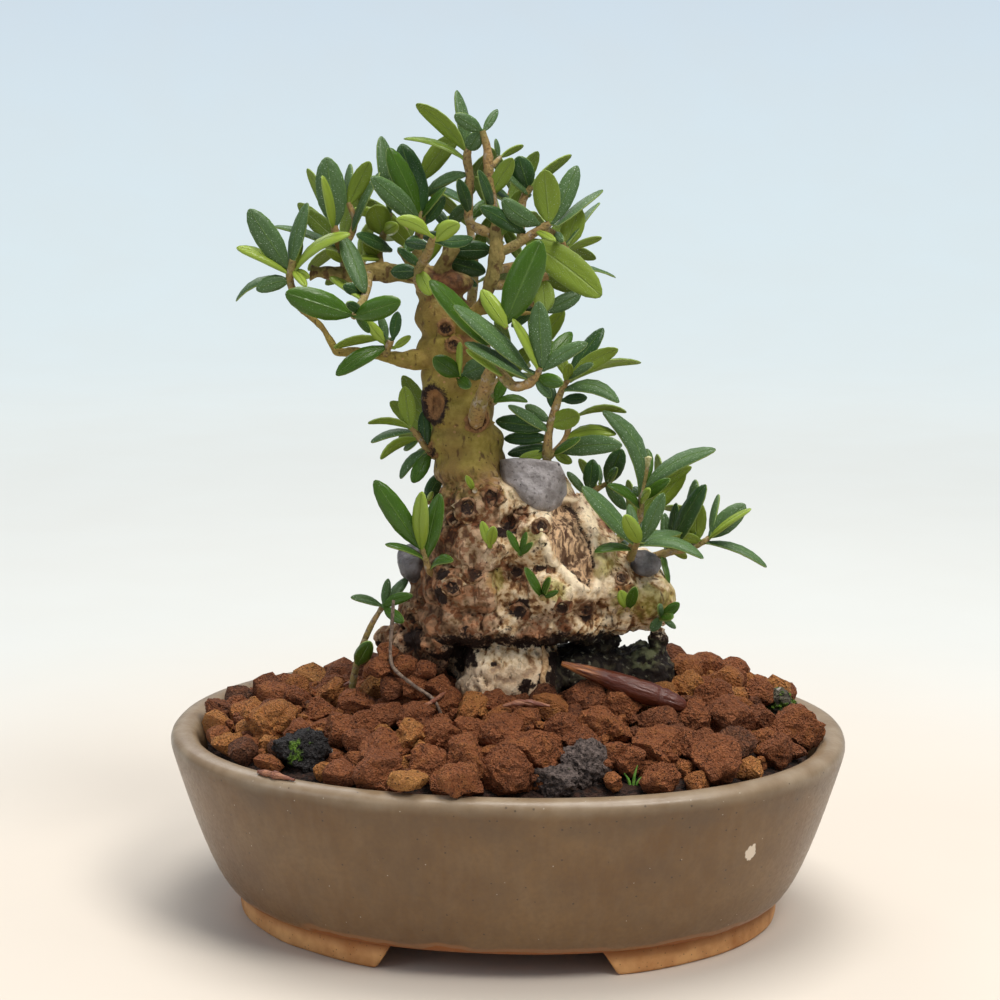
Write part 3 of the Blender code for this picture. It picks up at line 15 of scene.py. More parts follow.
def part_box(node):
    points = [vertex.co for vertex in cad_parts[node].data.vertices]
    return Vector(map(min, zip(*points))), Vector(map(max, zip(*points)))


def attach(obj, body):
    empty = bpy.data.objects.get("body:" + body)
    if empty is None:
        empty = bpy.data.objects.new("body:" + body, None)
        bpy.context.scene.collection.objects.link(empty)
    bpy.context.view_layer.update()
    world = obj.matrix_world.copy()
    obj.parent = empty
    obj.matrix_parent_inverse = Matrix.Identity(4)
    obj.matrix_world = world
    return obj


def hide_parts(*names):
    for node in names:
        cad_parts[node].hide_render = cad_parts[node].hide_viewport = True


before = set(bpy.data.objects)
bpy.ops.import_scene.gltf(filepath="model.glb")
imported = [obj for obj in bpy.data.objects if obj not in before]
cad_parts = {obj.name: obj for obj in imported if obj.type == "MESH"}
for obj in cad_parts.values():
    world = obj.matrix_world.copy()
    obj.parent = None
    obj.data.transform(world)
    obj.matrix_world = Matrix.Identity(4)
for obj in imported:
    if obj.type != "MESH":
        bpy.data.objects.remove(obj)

MM = 0.001
noise.seed_set(7)     # the same noise in every run
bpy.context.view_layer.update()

# %% [markdown]
# The tree was read from one viewpoint, so its tables say where a point appears from there: how far
# across and how far up on the upright plane through the pot's middle, and how far back it really lies.
# place() turns that into a point of the model. A change of depth alone never moves a point in that view,
# which makes it safe to push leaves apart.

# %% Sight lines
EYE = Vector((-1.5, -494.0, 189.0))
POT_TURN = radians(5.9)


def place(across, up, back):
    """A point that appears at (across, up) and lies `back` behind the plane, all in millimetres; metres out."""
    slide = (back - EYE.y) / -EYE.y
    seen = Vector((EYE.x + (across - EYE.x) * slide, back, EYE.z + (up - EYE.z) * slide))
    return Matrix.Rotation(POT_TURN, 3, "Z") @ seen * MM


def unplace(point):
    """Where a point of the model appears, and how far back it lies."""
    seen = Matrix.Rotation(-POT_TURN, 3, "Z") @ (point / MM)
    slide = (seen.y - EYE.y) / -EYE.y
    return EYE.x + (seen.x - EYE.x) / slide, EYE.z + (seen.z - EYE.z) / slide, seen.y


eye = place(EYE.x, EYE.z, EYE.y)
print("eye at", [round(c, 3) for c in eye])

# %% [markdown]
# Every piece is modelled in its own bmesh, in place, and its object stays at the origin. One helper turns
# a bmesh into such an object, a second keeps what an object's modifiers make, and a third says which solid
# the piece stands for.

# %% Piece helpers


def piece(name, bm, *materials):
    """A smooth-shaded object from a bmesh, at the origin."""
    mesh = bpy.data.meshes.new(name)
    bm.to_mesh(mesh)
    bm.free()
    for material in materials:
        mesh.materials.append(material)
    mesh.shade_smooth()
    obj = bpy.data.objects.new(name, mesh)
    bpy.context.scene.collection.objects.link(obj)
    return obj


def settle(obj):
    """Keeps the mesh that the object's modifiers make."""
    depsgraph = bpy.context.evaluated_depsgraph_get()
    mesh = bpy.data.meshes.new_from_object(obj.evaluated_get(depsgraph))
    obj.modifiers.clear()
    obj.data = mesh
    return obj


def stands_for(obj, slot, *nodes):
    """The piece rides on the one body and replaces these solids; the slot is not used."""
    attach(obj, "root")
    if nodes:
        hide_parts(*nodes)
    print(f"{obj.name}: {len(obj.data.polygons)} faces")


def curve_point(route, t):
    """The point at part t of a smooth curve through a route of (across, up, back, radius)."""
    count = len(route) - 1
    at = min(t * count, count - 1e-6)
    i = int(at)
    f = at - i
    p = [Vector(route[min(max(k, 0), count)]) for k in (i - 1, i, i + 1, i + 2)]
    return 0.5 * (2 * p[1] + (p[2] - p[0]) * f + (2 * p[0] - 5 * p[1] + 4 * p[2] - p[3]) * f ** 2
                  + (3 * p[1] - p[0] - 3 * p[2] + p[3]) * f ** 3)


def sweep(bm, routes, per_span=4, sides=8, wobble=0.0, material=0):
    """Adds round stems along routes, made as a bevelled curve with a radius at each point."""
    curve = bpy.data.curves.new("sweep", "CURVE")
    curve.dimensions = "3D"
    curve.bevel_depth = 1.0
    curve.bevel_resolution = sides // 4
    curve.use_fill_caps = True
    for route in routes:
        steps = (len(route) - 1) * per_span
        spline = curve.splines.new("POLY")
        spline.points.add(steps)
        for i, point in enumerate(spline.points):
            across, up, back, radius = curve_point(route, i / steps)
            swell = 1 + wobble * noise.noise(Vector((across, up, back)) * 0.9)
            point.co = (*place(across, up, back), 1.0)
            point.radius = radius * swell * MM
    holder = bpy.data.objects.new("sweep", curve)
    bpy.context.scene.collection.objects.link(holder)
    mesh = bpy.data.meshes.new_from_object(holder.evaluated_get(bpy.context.evaluated_depsgraph_get()))
    first = len(bm.faces)
    bm.from_mesh(mesh)
    bm.faces.ensure_lookup_table()
    for face in bm.faces[first:]:
        face.material_index = material
    bpy.data.objects.remove(holder)
    bpy.data.meshes.remove(mesh)
    bpy.data.curves.remove(curve)

# %% [markdown]
# Materials are node trees. Three short helpers keep them readable: one adds a node and wires its inputs,
# one mixes two colours by a mask, and one makes a ramp. All patterns read object coordinates, so they stay
# on the piece from every side.

# %% Node helpers


def add(tree, kind, wires=None, **settings):
    """Adds a node, sets its settings and fills or links its inputs; returns the node."""
    made = tree.nodes.new(kind)
    for name, value in settings.items():
        setattr(made, name, value)
    for name, value in (wires or {}).items():
        if isinstance(value, bpy.types.NodeSocket):
            tree.links.new(value, made.inputs[name])
        else:
            made.inputs[name].default_value = value
    return made


def mixed(tree, mask, first, second):
    """A colour between two colours or sockets, by a mask."""
    made = add(tree, "ShaderNodeMix", data_type="RGBA")
    for index, value in ((0, mask), (6, first), (7, second)):
        if isinstance(value, bpy.types.NodeSocket):
            tree.links.new(value, made.inputs[index])
        else:
            made.inputs[index].default_value = value if index == 0 else (*value, 1.0)
    return made.outputs[2]


def maths(tree, operation, first, second=0.0, third=0.0, clamp=False):
    """One Math node; returns its output."""
    return add(tree, "ShaderNodeMath", {0: first, 1: second, 2: third}, operation=operation, use_clamp=clamp).outputs[0]


def stepped(tree, value, low, high):
    """A mask that rises from 0 at `low` to 1 at `high`; it falls where low is above high."""
    made = add(tree, "ShaderNodeMapRange", {"Value": value, "From Min": low, "From Max": high})
    made.interpolation_type = "SMOOTHSTEP"
    return made.outputs[0]


def place_of(tree):
    """Object coordinates in millimetres."""
    coords = add(tree, "ShaderNodeTexCoord").outputs["Object"]
    return add(tree, "ShaderNodeVectorMath", {0: coords, 1: (1000.0, 1000.0, 1000.0)}, operation="MULTIPLY").outputs[0]


def new_material(name):
    """A material with its Principled shader: (material, tree, shader)."""
    material = bpy.data.materials.new(name)
    material.use_nodes = True
    tree = material.node_tree
    return material, tree, tree.nodes["Principled BSDF"]


def bumped(tree, shader, height, distance, strength=1.0):
    """Feeds a height in millimetres of `distance` to the shader's normal."""
    bump = add(tree, "ShaderNodeBump", {"Height": height, "Distance": distance * MM, "Strength": strength})
    tree.links.new(bump.outputs[0], shader.inputs["Normal"])


# %% [markdown]
# Two effects come back in many of the finishes: a soft uneven mottle, and a scatter of small round dots
# such as dust, pores and speckles. Each is a node group with its scale and strength as inputs, built once.

# %% Shared effects


def effect(name, inputs):
    """A node group with a Place input and float inputs, and one mask as output."""
    tree = bpy.data.node_groups.new(name, "ShaderNodeTree")
    tree.interface.new_socket("Place", in_out="INPUT", socket_type="NodeSocketVector")
    for label, value in inputs.items():
        socket = tree.interface.new_socket(label, in_out="INPUT", socket_type="NodeSocketFloat")
        socket.default_value = value
    tree.interface.new_socket("Mask", in_out="OUTPUT", socket_type="NodeSocketFloat")
    return tree, add(tree, "NodeGroupInput").outputs, add(tree, "NodeGroupOutput")


mottle_group, source, result = effect("mottle", {"Scale": 1.0, "Detail": 4.0, "Low": 0.4, "High": 0.6})
cloud = add(mottle_group, "ShaderNodeTexNoise", {"Vector": source["Place"], "Scale": source["Scale"], "Detail": source["Detail"]})
soft = add(mottle_group, "ShaderNodeMapRange", {"Value": cloud.outputs[0], "From Min": source["Low"], "From Max": source["High"]})
mottle_group.links.new(soft.outputs[0], result.inputs["Mask"])

dots_group, source, result = effect("dots", {"Scale": 1.0, "Size": 0.2, "Share": 0.5})
cells = add(dots_group, "ShaderNodeTexVoronoi", {"Vector": source["Place"], "Scale": source["Scale"]})
near = maths(dots_group, "LESS_THAN", cells.outputs["Distance"], source["Size"])
picked = maths(dots_group, "LESS_THAN", add(dots_group, "ShaderNodeSeparateColor", {0: cells.outputs["Color"]}).outputs[0], source["Share"])
dots_group.links.new(maths(dots_group, "MULTIPLY", near, picked), result.inputs["Mask"])


def mottle(tree, where, scale, low=0.4, high=0.6, detail=4.0):
    """The mottle as a mask, with its scale in patches per millimetre."""
    return add(tree, "ShaderNodeGroup", {"Place": where, "Scale": scale, "Detail": detail, "Low": low, "High": high},
               node_tree=mottle_group).outputs[0]


def dots(tree, where, scale, size, share):
    """Scattered dots as a mask: cells per millimetre, radius in cells, share of the cells that have one."""
    return add(tree, "ShaderNodeGroup", {"Place": where, "Scale": scale, "Size": size, "Share": share},
               node_tree=dots_group).outputs[0]


print("group nodes:", len(mottle_group.nodes), len(dots_group.nodes))

# %% [markdown]
# The pot is a wheel-soft oval of stoneware. Its wall is one smooth surface from the underside over the
# rolled rim to the floor inside, so it is lofted: each height of the wall is a circle of points pulled
# into a rounded oval, and the circles are bridged. A subdivision surface then rounds the roll of the rim.

# %% Pot wall
POT_ROUND = 2.15
POT_RINGS = [
    (50.0, 35.4, 5.3), (56.0, 40.8, 5.1), (60.4, 45.1, 5.3), (62.2, 46.7, 6.6), (64.4, 48.5, 9.6), (66.6, 50.3, 14.0),
    (69.8, 52.7, 22.5), (72.6, 54.7, 31.5), (74.3, 55.8, 37.2), (74.9, 56.3, 39.4), (74.7, 56.1, 41.0),
    (73.5, 54.9, 42.0), (71.2, 52.6, 42.2), (69.5, 50.9, 41.4), (68.4, 49.8, 39.6), (67.0, 48.5, 31.0),
    (61.0, 43.4, 14.0), (57.0, 39.8, 10.8), (50.0, 33.6, 10.2),
]
DRAIN_PLACES = (-26.0, 26.0)
DRAIN_RADIUS = 6.5


def oval_ring(bm, half_x, half_y, height, sides, power=POT_ROUND):
    """A ring of edges on a rounded oval."""
    made = bmesh.ops.create_circle(bm, segments=sides, radius=1.0)["verts"]
    for vert in made:
        x, y = vert.co.x, vert.co.y
        reach = (abs(x) ** power + abs(y) ** power) ** (-1 / power)
        x, y = x * reach * half_x, y * reach * half_y
        z = height(x, y) if callable(height) else height
        vert.co = Vector((x, y, z)) * MM
    return [edge for edge in {e for v in made for e in v.link_edges}]


def loft(bm, rings):
    """Bridges a row of rings into one skin."""
    for lower, upper in zip(rings, rings[1:]):
        bmesh.ops.bridge_loops(bm, edges=lower + upper)


bm = bmesh.new()
rings = [oval_ring(bm, x, y, z, 112) for x, y, z in POT_RINGS]
loft(bm, rings)
for ring in (rings[0], rings[-1]):
    bmesh.ops.contextual_create(bm, geom=ring)
bmesh.ops.recalc_face_normals(bm, faces=bm.faces)
pot = piece("pot_wall", bm)
smooth = pot.modifiers.new("smooth", "SUBSURF")
smooth.levels = smooth.render_levels = 1
settle(pot)

bores = bmesh.new()
for x in DRAIN_PLACES:
    bmesh.ops.create_cone(bores, cap_ends=True, segments=40, radius1=DRAIN_RADIUS * MM, radius2=DRAIN_RADIUS * MM,
                          depth=20 * MM, matrix=Matrix.Translation(Vector((x, 0, 8)) * MM))
bores = piece("bores", bores)
drill = pot.modifiers.new("drill", "BOOLEAN")
drill.object = bores
drill.solver = "EXACT"
settle(pot)
bpy.data.objects.remove(bores)
print("pot wall faces:", len(pot.data.polygons))

# %% [markdown]
# Two curved feet of bare clay carry the wall. Each is a block spun most of the way round its end of the
# oval. The ends lean, as they were cut with a wire, and all edges are softened.

# %% Feet
FOOT_OUTER = (60.4, 45.5)
FOOT_INNER = (52.5, 37.4)
FOOT_TOP = 6.0
FOOT_GAP_MIDDLE = 2.0


def foot(bm, side):
    """One foot, on the right (1) or the left (-1)."""
    profile = [bm.verts.new((r, 0, z)) for r, z in ((0, 0), (1, 0), (1, 0.5), (1, 1), (0, 1), (0, 0.5))]
    edges = [bm.edges.new((profile[i], profile[(i + 1) % 6])) for i in range(6)]
    for vert in profile:
        vert.co.x += 8
    spun = bmesh.ops.spin(bm, geom=profile + edges, cent=(0, 0, 0), axis=(0, 0, 1), angle=2.0, steps=64,
                          dvec=(0, 0, 0), use_merge=False, use_duplicate=False)
    verts = {v for v in bm.verts if v.is_valid and not v.tag}
    for vert in verts:
        part = (vert.co.xy.length - 8)
        turn = Vector((1, 0)).angle_signed(vert.co.xy) * -1 - 1.0
        half_x = FOOT_INNER[0] + (FOOT_OUTER[0] - FOOT_INNER[0]) * part
        half_y = FOOT_INNER[1] + (FOOT_OUTER[1] - FOOT_INNER[1]) * part
        gap = 25.2 - 3.4 * vert.co.z
        end = acos((FOOT_GAP_MIDDLE * side + gap) / half_x)
        a = turn * end
        vert.co = Vector((cos(a) * half_x * side, sin(a) * half_y * side, vert.co.z * FOOT_TOP)) * MM
        vert.tag = True


bm = bmesh.new()
for side in (1, -1):
    foot(bm, side)
bmesh.ops.holes_fill(bm, edges=[e for e in bm.edges if e.is_boundary], sides=8)
bmesh.ops.recalc_face_normals(bm, faces=bm.faces)
sharp = [e for e in bm.edges if len(e.link_faces) == 2 and e.calc_face_angle() > radians(40)]
bmesh.ops.bevel(bm, geom=sharp, offset=0.9 * MM, segments=3, affect="EDGES", profile=0.5, material=-1)
for vert in bm.verts:
    if vert.co.z < 4.6 * MM:
        vert.co.x += 0.35 * MM * noise.noise(vert.co * 90)
        vert.co.y += 0.35 * MM * noise.noise(vert.co * 90 + Vector((9, 0, 0)))
bm.from_mesh(pot.data)
bpy.data.objects.remove(pot)
pot = piece("oval_pot", bm)
stands_for(pot, "glaze", "pot")

# %% [markdown]
# The glaze is a satin grey-brown that was sponged on by hand. It breaks to a lighter grey beige over the
# roll of the rim, made lighter still there as a painted highlight, with a band of painted shade just below
# the rim. It ends in a wavy line above the feet and leaves the clay of the feet bare and toasted orange.
# Height above the table, made uneven by a mottle, decides between glaze and clay.

# %% Glaze and bare clay
GLAZE, tree, shader = new_material("satin_glaze")
where = place_of(tree)
height = add(tree, "ShaderNodeSeparateXYZ", {0: where}).outputs["Z"]
clouds = mottle(tree, where, 0.05, 0.36, 0.66, 3.0)
sponge = mottle(tree, where, 1.0, 0.35, 0.7, 4.0)
streaks = add(tree, "ShaderNodeVectorMath", {0: where, 1: (1.0, 1.0, 0.22)}, operation="MULTIPLY").outputs[0]
runs = mottle(tree, streaks, 0.42, 0.40, 0.70, 3.0)
body_colour = mixed(tree, clouds, (0.150, 0.076, 0.026), (0.200, 0.112, 0.044))
body_colour = mixed(tree, maths(tree, "MULTIPLY", runs, 0.28), body_colour, (0.220, 0.142, 0.075))
body_colour = mixed(tree, maths(tree, "MULTIPLY", mottle(tree, where, 0.09, 0.45, 0.70, 5.0), 0.35), body_colour, (0.095, 0.055, 0.028))
body_colour = mixed(tree, maths(tree, "MULTIPLY", sponge, 0.30), body_colour, (0.105, 0.062, 0.036))
# Partly painted highlight: the top of the rim's roll is mixed lighter, over the glaze breaking lighter there.
rim = stepped(tree, maths(tree, "ADD", height, maths(tree, "MULTIPLY", clouds, 1.2)), 38.6, 42.0)
rim_glaze_and_highlight = mixed(tree, mottle(tree, where, 0.16, 0.35, 0.7), (0.24, 0.168, 0.100), (0.36, 0.28, 0.190))
# Painted shade: a darker band just below the rim.
shade = maths(tree, "MULTIPLY", stepped(tree, height, 32.0, 37.0), mottle(tree, where, 0.10, 0.35, 0.65, 3.0))
body_colour = mixed(tree, maths(tree, "MULTIPLY", shade, 0.5), body_colour, (0.085, 0.055, 0.034))
body_colour = mixed(tree, maths(tree, "MULTIPLY", rim, 0.75), body_colour, rim_glaze_and_highlight)
pale_specks = dots(tree, where, 0.62, 0.09, 0.14)
dark_specks = dots(tree, where, 0.55, 0.13, 0.25)
body_colour = mixed(tree, maths(tree, "MULTIPLY", pale_specks, 0.6), body_colour, (0.50, 0.44, 0.36))
body_colour = mixed(tree, maths(tree, "MULTIPLY", dark_specks, 0.6), body_colour, (0.040, 0.028, 0.02))
wave = maths(tree, "MULTIPLY", mottle(tree, where, 0.09, 0.2, 0.8, 2.0), 3.0)
edge_height = maths(tree, "SUBTRACT", height, wave)
glaze_end = stepped(tree, edge_height, 6.6, 5.8)
bare = stepped(tree, edge_height, 5.4, 4.9)
from mathutils.bvhtree import BVHTree
wall = BVHTree.FromObject(pot, bpy.context.evaluated_depsgraph_get())
chip_spot = wall.ray_cast(eye, (place(55.1, 11.5, -40.0) - eye).normalized())[0]
print("chip at", [round(c / MM, 1) for c in chip_spot])
apart = add(tree, "ShaderNodeVectorMath", {0: where, 1: chip_spot / MM}, operation="SUBTRACT").outputs[0]
apart = add(tree, "ShaderNodeVectorMath", {0: apart, 1: (0.72, 0.72, 0.50)}, operation="MULTIPLY").outputs[0]
away = add(tree, "ShaderNodeVectorMath", {0: apart}, operation="LENGTH").outputs["Value"]
chip = stepped(tree, maths(tree, "ADD", away, maths(tree, "MULTIPLY", sponge, 0.35)), 1.25, 1.05)
body_colour = mixed(tree, chip, body_colour, (0.72, 0.60, 0.47))
toasted = mottle(tree, where, 0.16, 0.35, 0.7, 5.0)
clay_colour = mixed(tree, toasted, (0.70, 0.37, 0.145), (0.42, 0.165, 0.045))
clay_colour = mixed(tree, stepped(tree, height, 2.5, 5.8), clay_colour, (0.28, 0.095, 0.024))
grit = dots(tree, where, 1.3, 0.2, 0.3)
clay_colour = mixed(tree, maths(tree, "MULTIPLY", grit, 0.6), clay_colour, (0.12, 0.06, 0.03))
colour = mixed(tree, maths(tree, "MULTIPLY", glaze_end, 0.7), body_colour, (0.30, 0.13, 0.045))
colour = mixed(tree, bare, colour, clay_colour)
tree.links.new(colour, shader.inputs["Base Color"])
satin = maths(tree, "ADD", maths(tree, "MULTIPLY", sponge, 0.12), 0.30)
tree.links.new(maths(tree, "ADD", satin, maths(tree, "MULTIPLY", bare, 0.42)), shader.inputs["Roughness"])
shader.inputs["Specular IOR Level"].default_value = 0.45
relief = maths(tree, "ADD", maths(tree, "MULTIPLY", clouds, 0.4), maths(tree, "MULTIPLY", mottle(tree, where, 1.6, 0.2, 0.8, 4.0), 0.14))
relief = maths(tree, "SUBTRACT", relief, maths(tree, "MULTIPLY", dark_specks, 0.3))
bumped(tree, shader, relief, 0.22, 0.6)
pot.data.materials.append(GLAZE)
print("pot:", GLAZE.name)

# %% [markdown]
# A square of black plastic net lies over each drain hole. Its solid shape is right, so it keeps it and only
# gets its finish: dull black with a fine moulded grain and clay dust.

# %% Drain net
NET, tree, shader = new_material("black_net")
where = place_of(tree)
dusty = mottle(tree, where, 0.5, 0.45, 0.75)
tree.links.new(mixed(tree, dusty, (0.018, 0.018, 0.018), (0.11, 0.055, 0.035)), shader.inputs["Base Color"])
tree.links.new(maths(tree, "ADD", maths(tree, "MULTIPLY", dusty, 0.3), 0.5), shader.inputs["Roughness"])
bumped(tree, shader, mottle(tree, where, 4.0, 0.2, 0.8), 0.05)
for side in ("left", "right"):
    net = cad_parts[f"drain_mesh_{side}"]
    for slot in net.material_slots:
        slot.material = NET
print("nets finished")

# %% [markdown]
# The soil is a mound of baked clay granules on a finer fill. The fill is lofted like the pot, from the
# floor inside up to the mound. It is coloured nearly black as painted shade, and it only shows as that
# shadow between the granules.

# %% Mound and shadow fill
MOUND_FOOT = 40.0
MOUND_RISE = 10.0
MOUND_HALF = (66.9, 48.3)
REAR_HEAP = (46.0, 16.0, 14.0, 4.0)
REAR_DIP = (-54.0, 34.0, 16.0, -3.0)


def mound(x, y):
    """Height of the soil under its granules, all in millimetres."""
    reach = (x / MOUND_HALF[0]) ** 2 + (y / MOUND_HALF[1]) ** 2
    height = MOUND_FOOT + MOUND_RISE * max(0.0, 1 - reach) ** 0.9
    for middle_x, middle_y, spread, rise in (REAR_HEAP, REAR_DIP):
        height += rise * exp(-((x - middle_x) ** 2 + (y - middle_y) ** 2) / (2 * spread ** 2))
    return height


def on_soil(across, up, lift=0.0):
    """The spot on the mound that appears at (across, up), raised by `lift` millimetres."""
    for step in range(-120, 121):
        spot = place(across, up, step / 2) / MM
        if spot.z <= mound(spot.x, spot.y) + lift:
            break
    return spot * MM


bm = bmesh.new()
rings = [oval_ring(bm, x, y, z, 64) for x, y, z in
         ((49.0, 32.8, 11.5), (56.2, 39.2, 12.2), (60.4, 43.0, 14.6), (66.2, 47.7, 31.2))]
for part in (1.0, 0.9, 0.8, 0.7, 0.6, 0.5, 0.4, 0.3, 0.2, 0.1):
    rings.append(oval_ring(bm, MOUND_HALF[0] * part, MOUND_HALF[1] * part, lambda x, y: mound(x, y) - 0.8, 64))
loft(bm, rings)
for ring in (rings[0], rings[-1]):
    bmesh.ops.contextual_create(bm, geom=ring)
bmesh.ops.recalc_face_normals(bm, faces=bm.faces)
fill = piece("shadow_fill", bm)
stands_for(fill, "clay_granules", "soil")

# %% [markdown]
# Each granule starts as a ball of a few dozen faces. Random flat cuts and a little noise make it a crumb of
# rock, and a number stored on it, its tone, later picks its shade of brown. The large granules that can be
# told apart from the front are placed one by one, and a seeded scatter in two layers fills the rest.

# %% Granules
PICTURED_GRANULES = [
    (-64.0, 44.5, 6, 0.3), (-60, 46.5, 5, 0.4), (-56.5, 44.5, 5, 0.8), (-41, 52.0, 6, 0.3), (-37, 50.5, 6, 0.4),
    (-39, 48, 7.5, 0.75), (-41, 44.5, 6, 0.5), (-52.5, 41.5, 9.5, 0.8), (-37.5, 40, 7, 0.5), (-32, 41, 6, 0.4),
    (-27.5, 35, 8, 0.5), (-28, 30.5, 9.5, 0.45), (-21.5, 38.5, 7, 0.85), (-22.5, 47.5, 9, 0.45), (-26, 43.5, 6, 0.4),
    (-15, 50.5, 8, 0.45), (-13, 46.5, 6, 0.5), (-8, 45, 6, 0.8), (-3.5, 46.5, 6, 0.4), (-14, 39.5, 8, 0.5),
    (-18, 32.5, 7.5, 0.5), (-9, 33.5, 9, 0.55), (0.5, 31, 11, 0.45), (5, 35.5, 9.5, 0.5), (12, 41, 6, 0.4),
    (17, 47, 9.5, 0.35), (25.5, 45, 8, 0.5), (22, 40.5, 8, 0.55), (17, 37.5, 6, 0.4), (33, 42.5, 7, 0.35),
    (40.5, 50, 7.5, 0.82), (46, 48, 7, 0.45), (50, 42.5, 9.5, 0.4), (57, 43, 6, 0.35), (64, 40.8, 9.5, 0.5),
    (33, 36.5, 8.5, 0.5), (51, 36.5, 7.5, 0.12), (60, 35, 7, 0.4), (47, 32.5, 9.5, 0.45), (35, 29, 7, 0.5),
    (28, 33, 6, 0.45), (41, 36.5, 7, 0.4), (42, 43, 8, 0.45), (56, 49, 6, 0.5), (61.5, 49, 5, 0.4), (24, 34, 6, 0.5),
    (30.5, 52.5, 6, 0.2), (-46, 47, 6, 0.4), (-33, 46, 6.5, 0.5), (-20, 43, 6, 0.4), (-8, 39.5, 7, 0.5), (-1, 39.5, 8, 0.45),
]


def granule(bm, tones, centre, half, rng, detail, tone):
    """One crumb of baked clay; centre in metres, half size in millimetres."""
    made = bmesh.ops.create_icosphere(bm, subdivisions=detail, radius=1.0)["verts"]
    cuts = []
    for step in range(13):
        way = Vector((rng.gauss(0, 1), rng.gauss(0, 1), rng.gauss(0, 1))).normalized()
        cuts.append((way, rng.uniform(0.62, 0.98)))
    stretch = Vector((rng.uniform(0.92, 1.18), rng.uniform(0.92, 1.18), rng.uniform(0.80, 1.0)))
    spin = Matrix.Rotation(rng.uniform(0, 6.28), 3, "Z") @ Matrix.Rotation(rng.uniform(-0.5, 0.5), 3, "X")
    shift = Vector((rng.uniform(0, 50), rng.uniform(0, 50), 0))
    for vert in made:
        way = vert.co.normalized()
        reach = min([1.12] + [deep / way.dot(cut) for cut, deep in cuts if way.dot(cut) > 0.2])
        reach *= 1.1 + 0.10 * noise.noise(way * 2.2 + shift)
        reach += 0.12 * noise.noise(way * 3.6 + shift)
        if detail > 3:
            reach += 0.08 * noise.noise(way * 9.0 - shift)
        vert.co = centre + spin @ Vector(a * b for a, b in zip(way * reach, stretch)) * half * MM
        vert[tones] = tone


HEARTS = {"mossy_cinder_left": (-45.4, 35.0), "grey_cinder_front": (17.8, 31.6), "grey_cinder_small": (11.6, 28.6),
          "mossy_cinder_right": (61.2, 45.8)}
hearts = [on_soil(across, up, 1.5) / MM for across, up in HEARTS.values()]
rng = Random(5)
bm = bmesh.new()
tones = bm.verts.layers.float.new("tone")
taken = [(heart.x, heart.y, 3.4) for heart in hearts]
taken.append((30.5, -42.0, 2.2))     # room for two blades of grass
for across, up, wide, tone in PICTURED_GRANULES:
    heart = on_soil(across, up, 2.6) / MM
    half = wide * 0.53
    granule(bm, tones, heart * MM, half, rng, 4, tone)
    taken.append((heart.x, heart.y, half))
print("pictured granules:", len(bm.faces), "faces")


def put(bm, x, y, half, lift, spacing, taken, detail=2):
    """Puts a granule on the mound, if it keeps its distance and hides none of the cinders from the eye."""
    if ((x - 4) / 27) ** 2 + (y / 10) ** 2 < 1:
        return
    if any((x - other_x) ** 2 + (y - other_y) ** 2 < (spacing * (half + other)) ** 2 for other_x, other_y, other in taken):
        return
    heart = Vector((x, y, mound(x, y) + lift + rng.uniform(-0.6, 0.6))) * MM
    across, up, back = unplace(heart)
    nearer = [(heart - eye).length < (spot * MM - eye).length for spot in hearts]
    if any(close and ((across - a) / (3.4 + half)) ** 2 + ((up - u) / (4.0 + half)) ** 2 < 1 for close, (a, u) in zip(nearer, HEARTS.values())):
        return
    taken.append((x, y, half))
    tone = min(0.95, max(0.05, rng.gauss(0.47, 0.17))) if rng.random() > 0.1 else 0.85
    granule(bm, tones, heart, half, rng, detail, tone)


def scatter(bm, count, low, high, lift, spacing, taken, detail=2):
    """Fills the mound with granules between two half sizes."""
    for step in range(count):
        a = rng.uniform(0, 2 * pi)
        out = sqrt(rng.random())
        half = rng.uniform(low, high)
        put(bm, cos(a) * out * (MOUND_HALF[0] - half * 0.7), sin(a) * out * (MOUND_HALF[1] - half * 0.7), half, lift, spacing, taken, detail)


for step in range(80):
    a = 2 * pi * step / 80 + rng.uniform(-0.02, 0.02)
    half = rng.uniform(2.4, 3.8)
    reach = (abs(cos(a)) ** POT_ROUND + abs(sin(a)) ** POT_ROUND) ** (-1 / POT_ROUND)
    put(bm, cos(a) * reach * (68.0 - half), sin(a) * reach * (49.4 - half), half, 1.6, 0.84, taken)
scatter(bm, 2600, 3.2, 4.6, 2.6, 0.90, taken)
scatter(bm, 2600, 2.2, 3.2, 1.2, 0.80, taken)
scatter(bm, 2600, 2.0, 3.2, -0.6, 0.60, list(taken))
scatter(bm, 1800, 0.8, 1.7, 2.6, 0.85, taken, 1)
HEAP = [(-25.5, 50.5, -15.0, 2.9), (-20.5, 50.3, -15.2, 2.7), (-15.2, 50.2, -15.0, 2.6), (-28.2, 55.0, -13.0, 2.8), (-23.2, 54.8, -13.5, 2.7),
        (-18.4, 53.8, -13.8, 2.5), (-26.4, 58.4, -12.0, 2.2)]     # heaped against the left root
heap_rng = Random(8)
for across, up, back, half in HEAP:
    granule(bm, tones, place(across, up, back), half, heap_rng, 2, heap_rng.uniform(0.25, 0.6))
granules = piece("clay_granules", bm)
print("granules:", len(granules.data.polygons), "faces")
granules.data.set_sharp_from_angle(angle=radians(30))
stands_for(granules, "clay_granules", "soil")
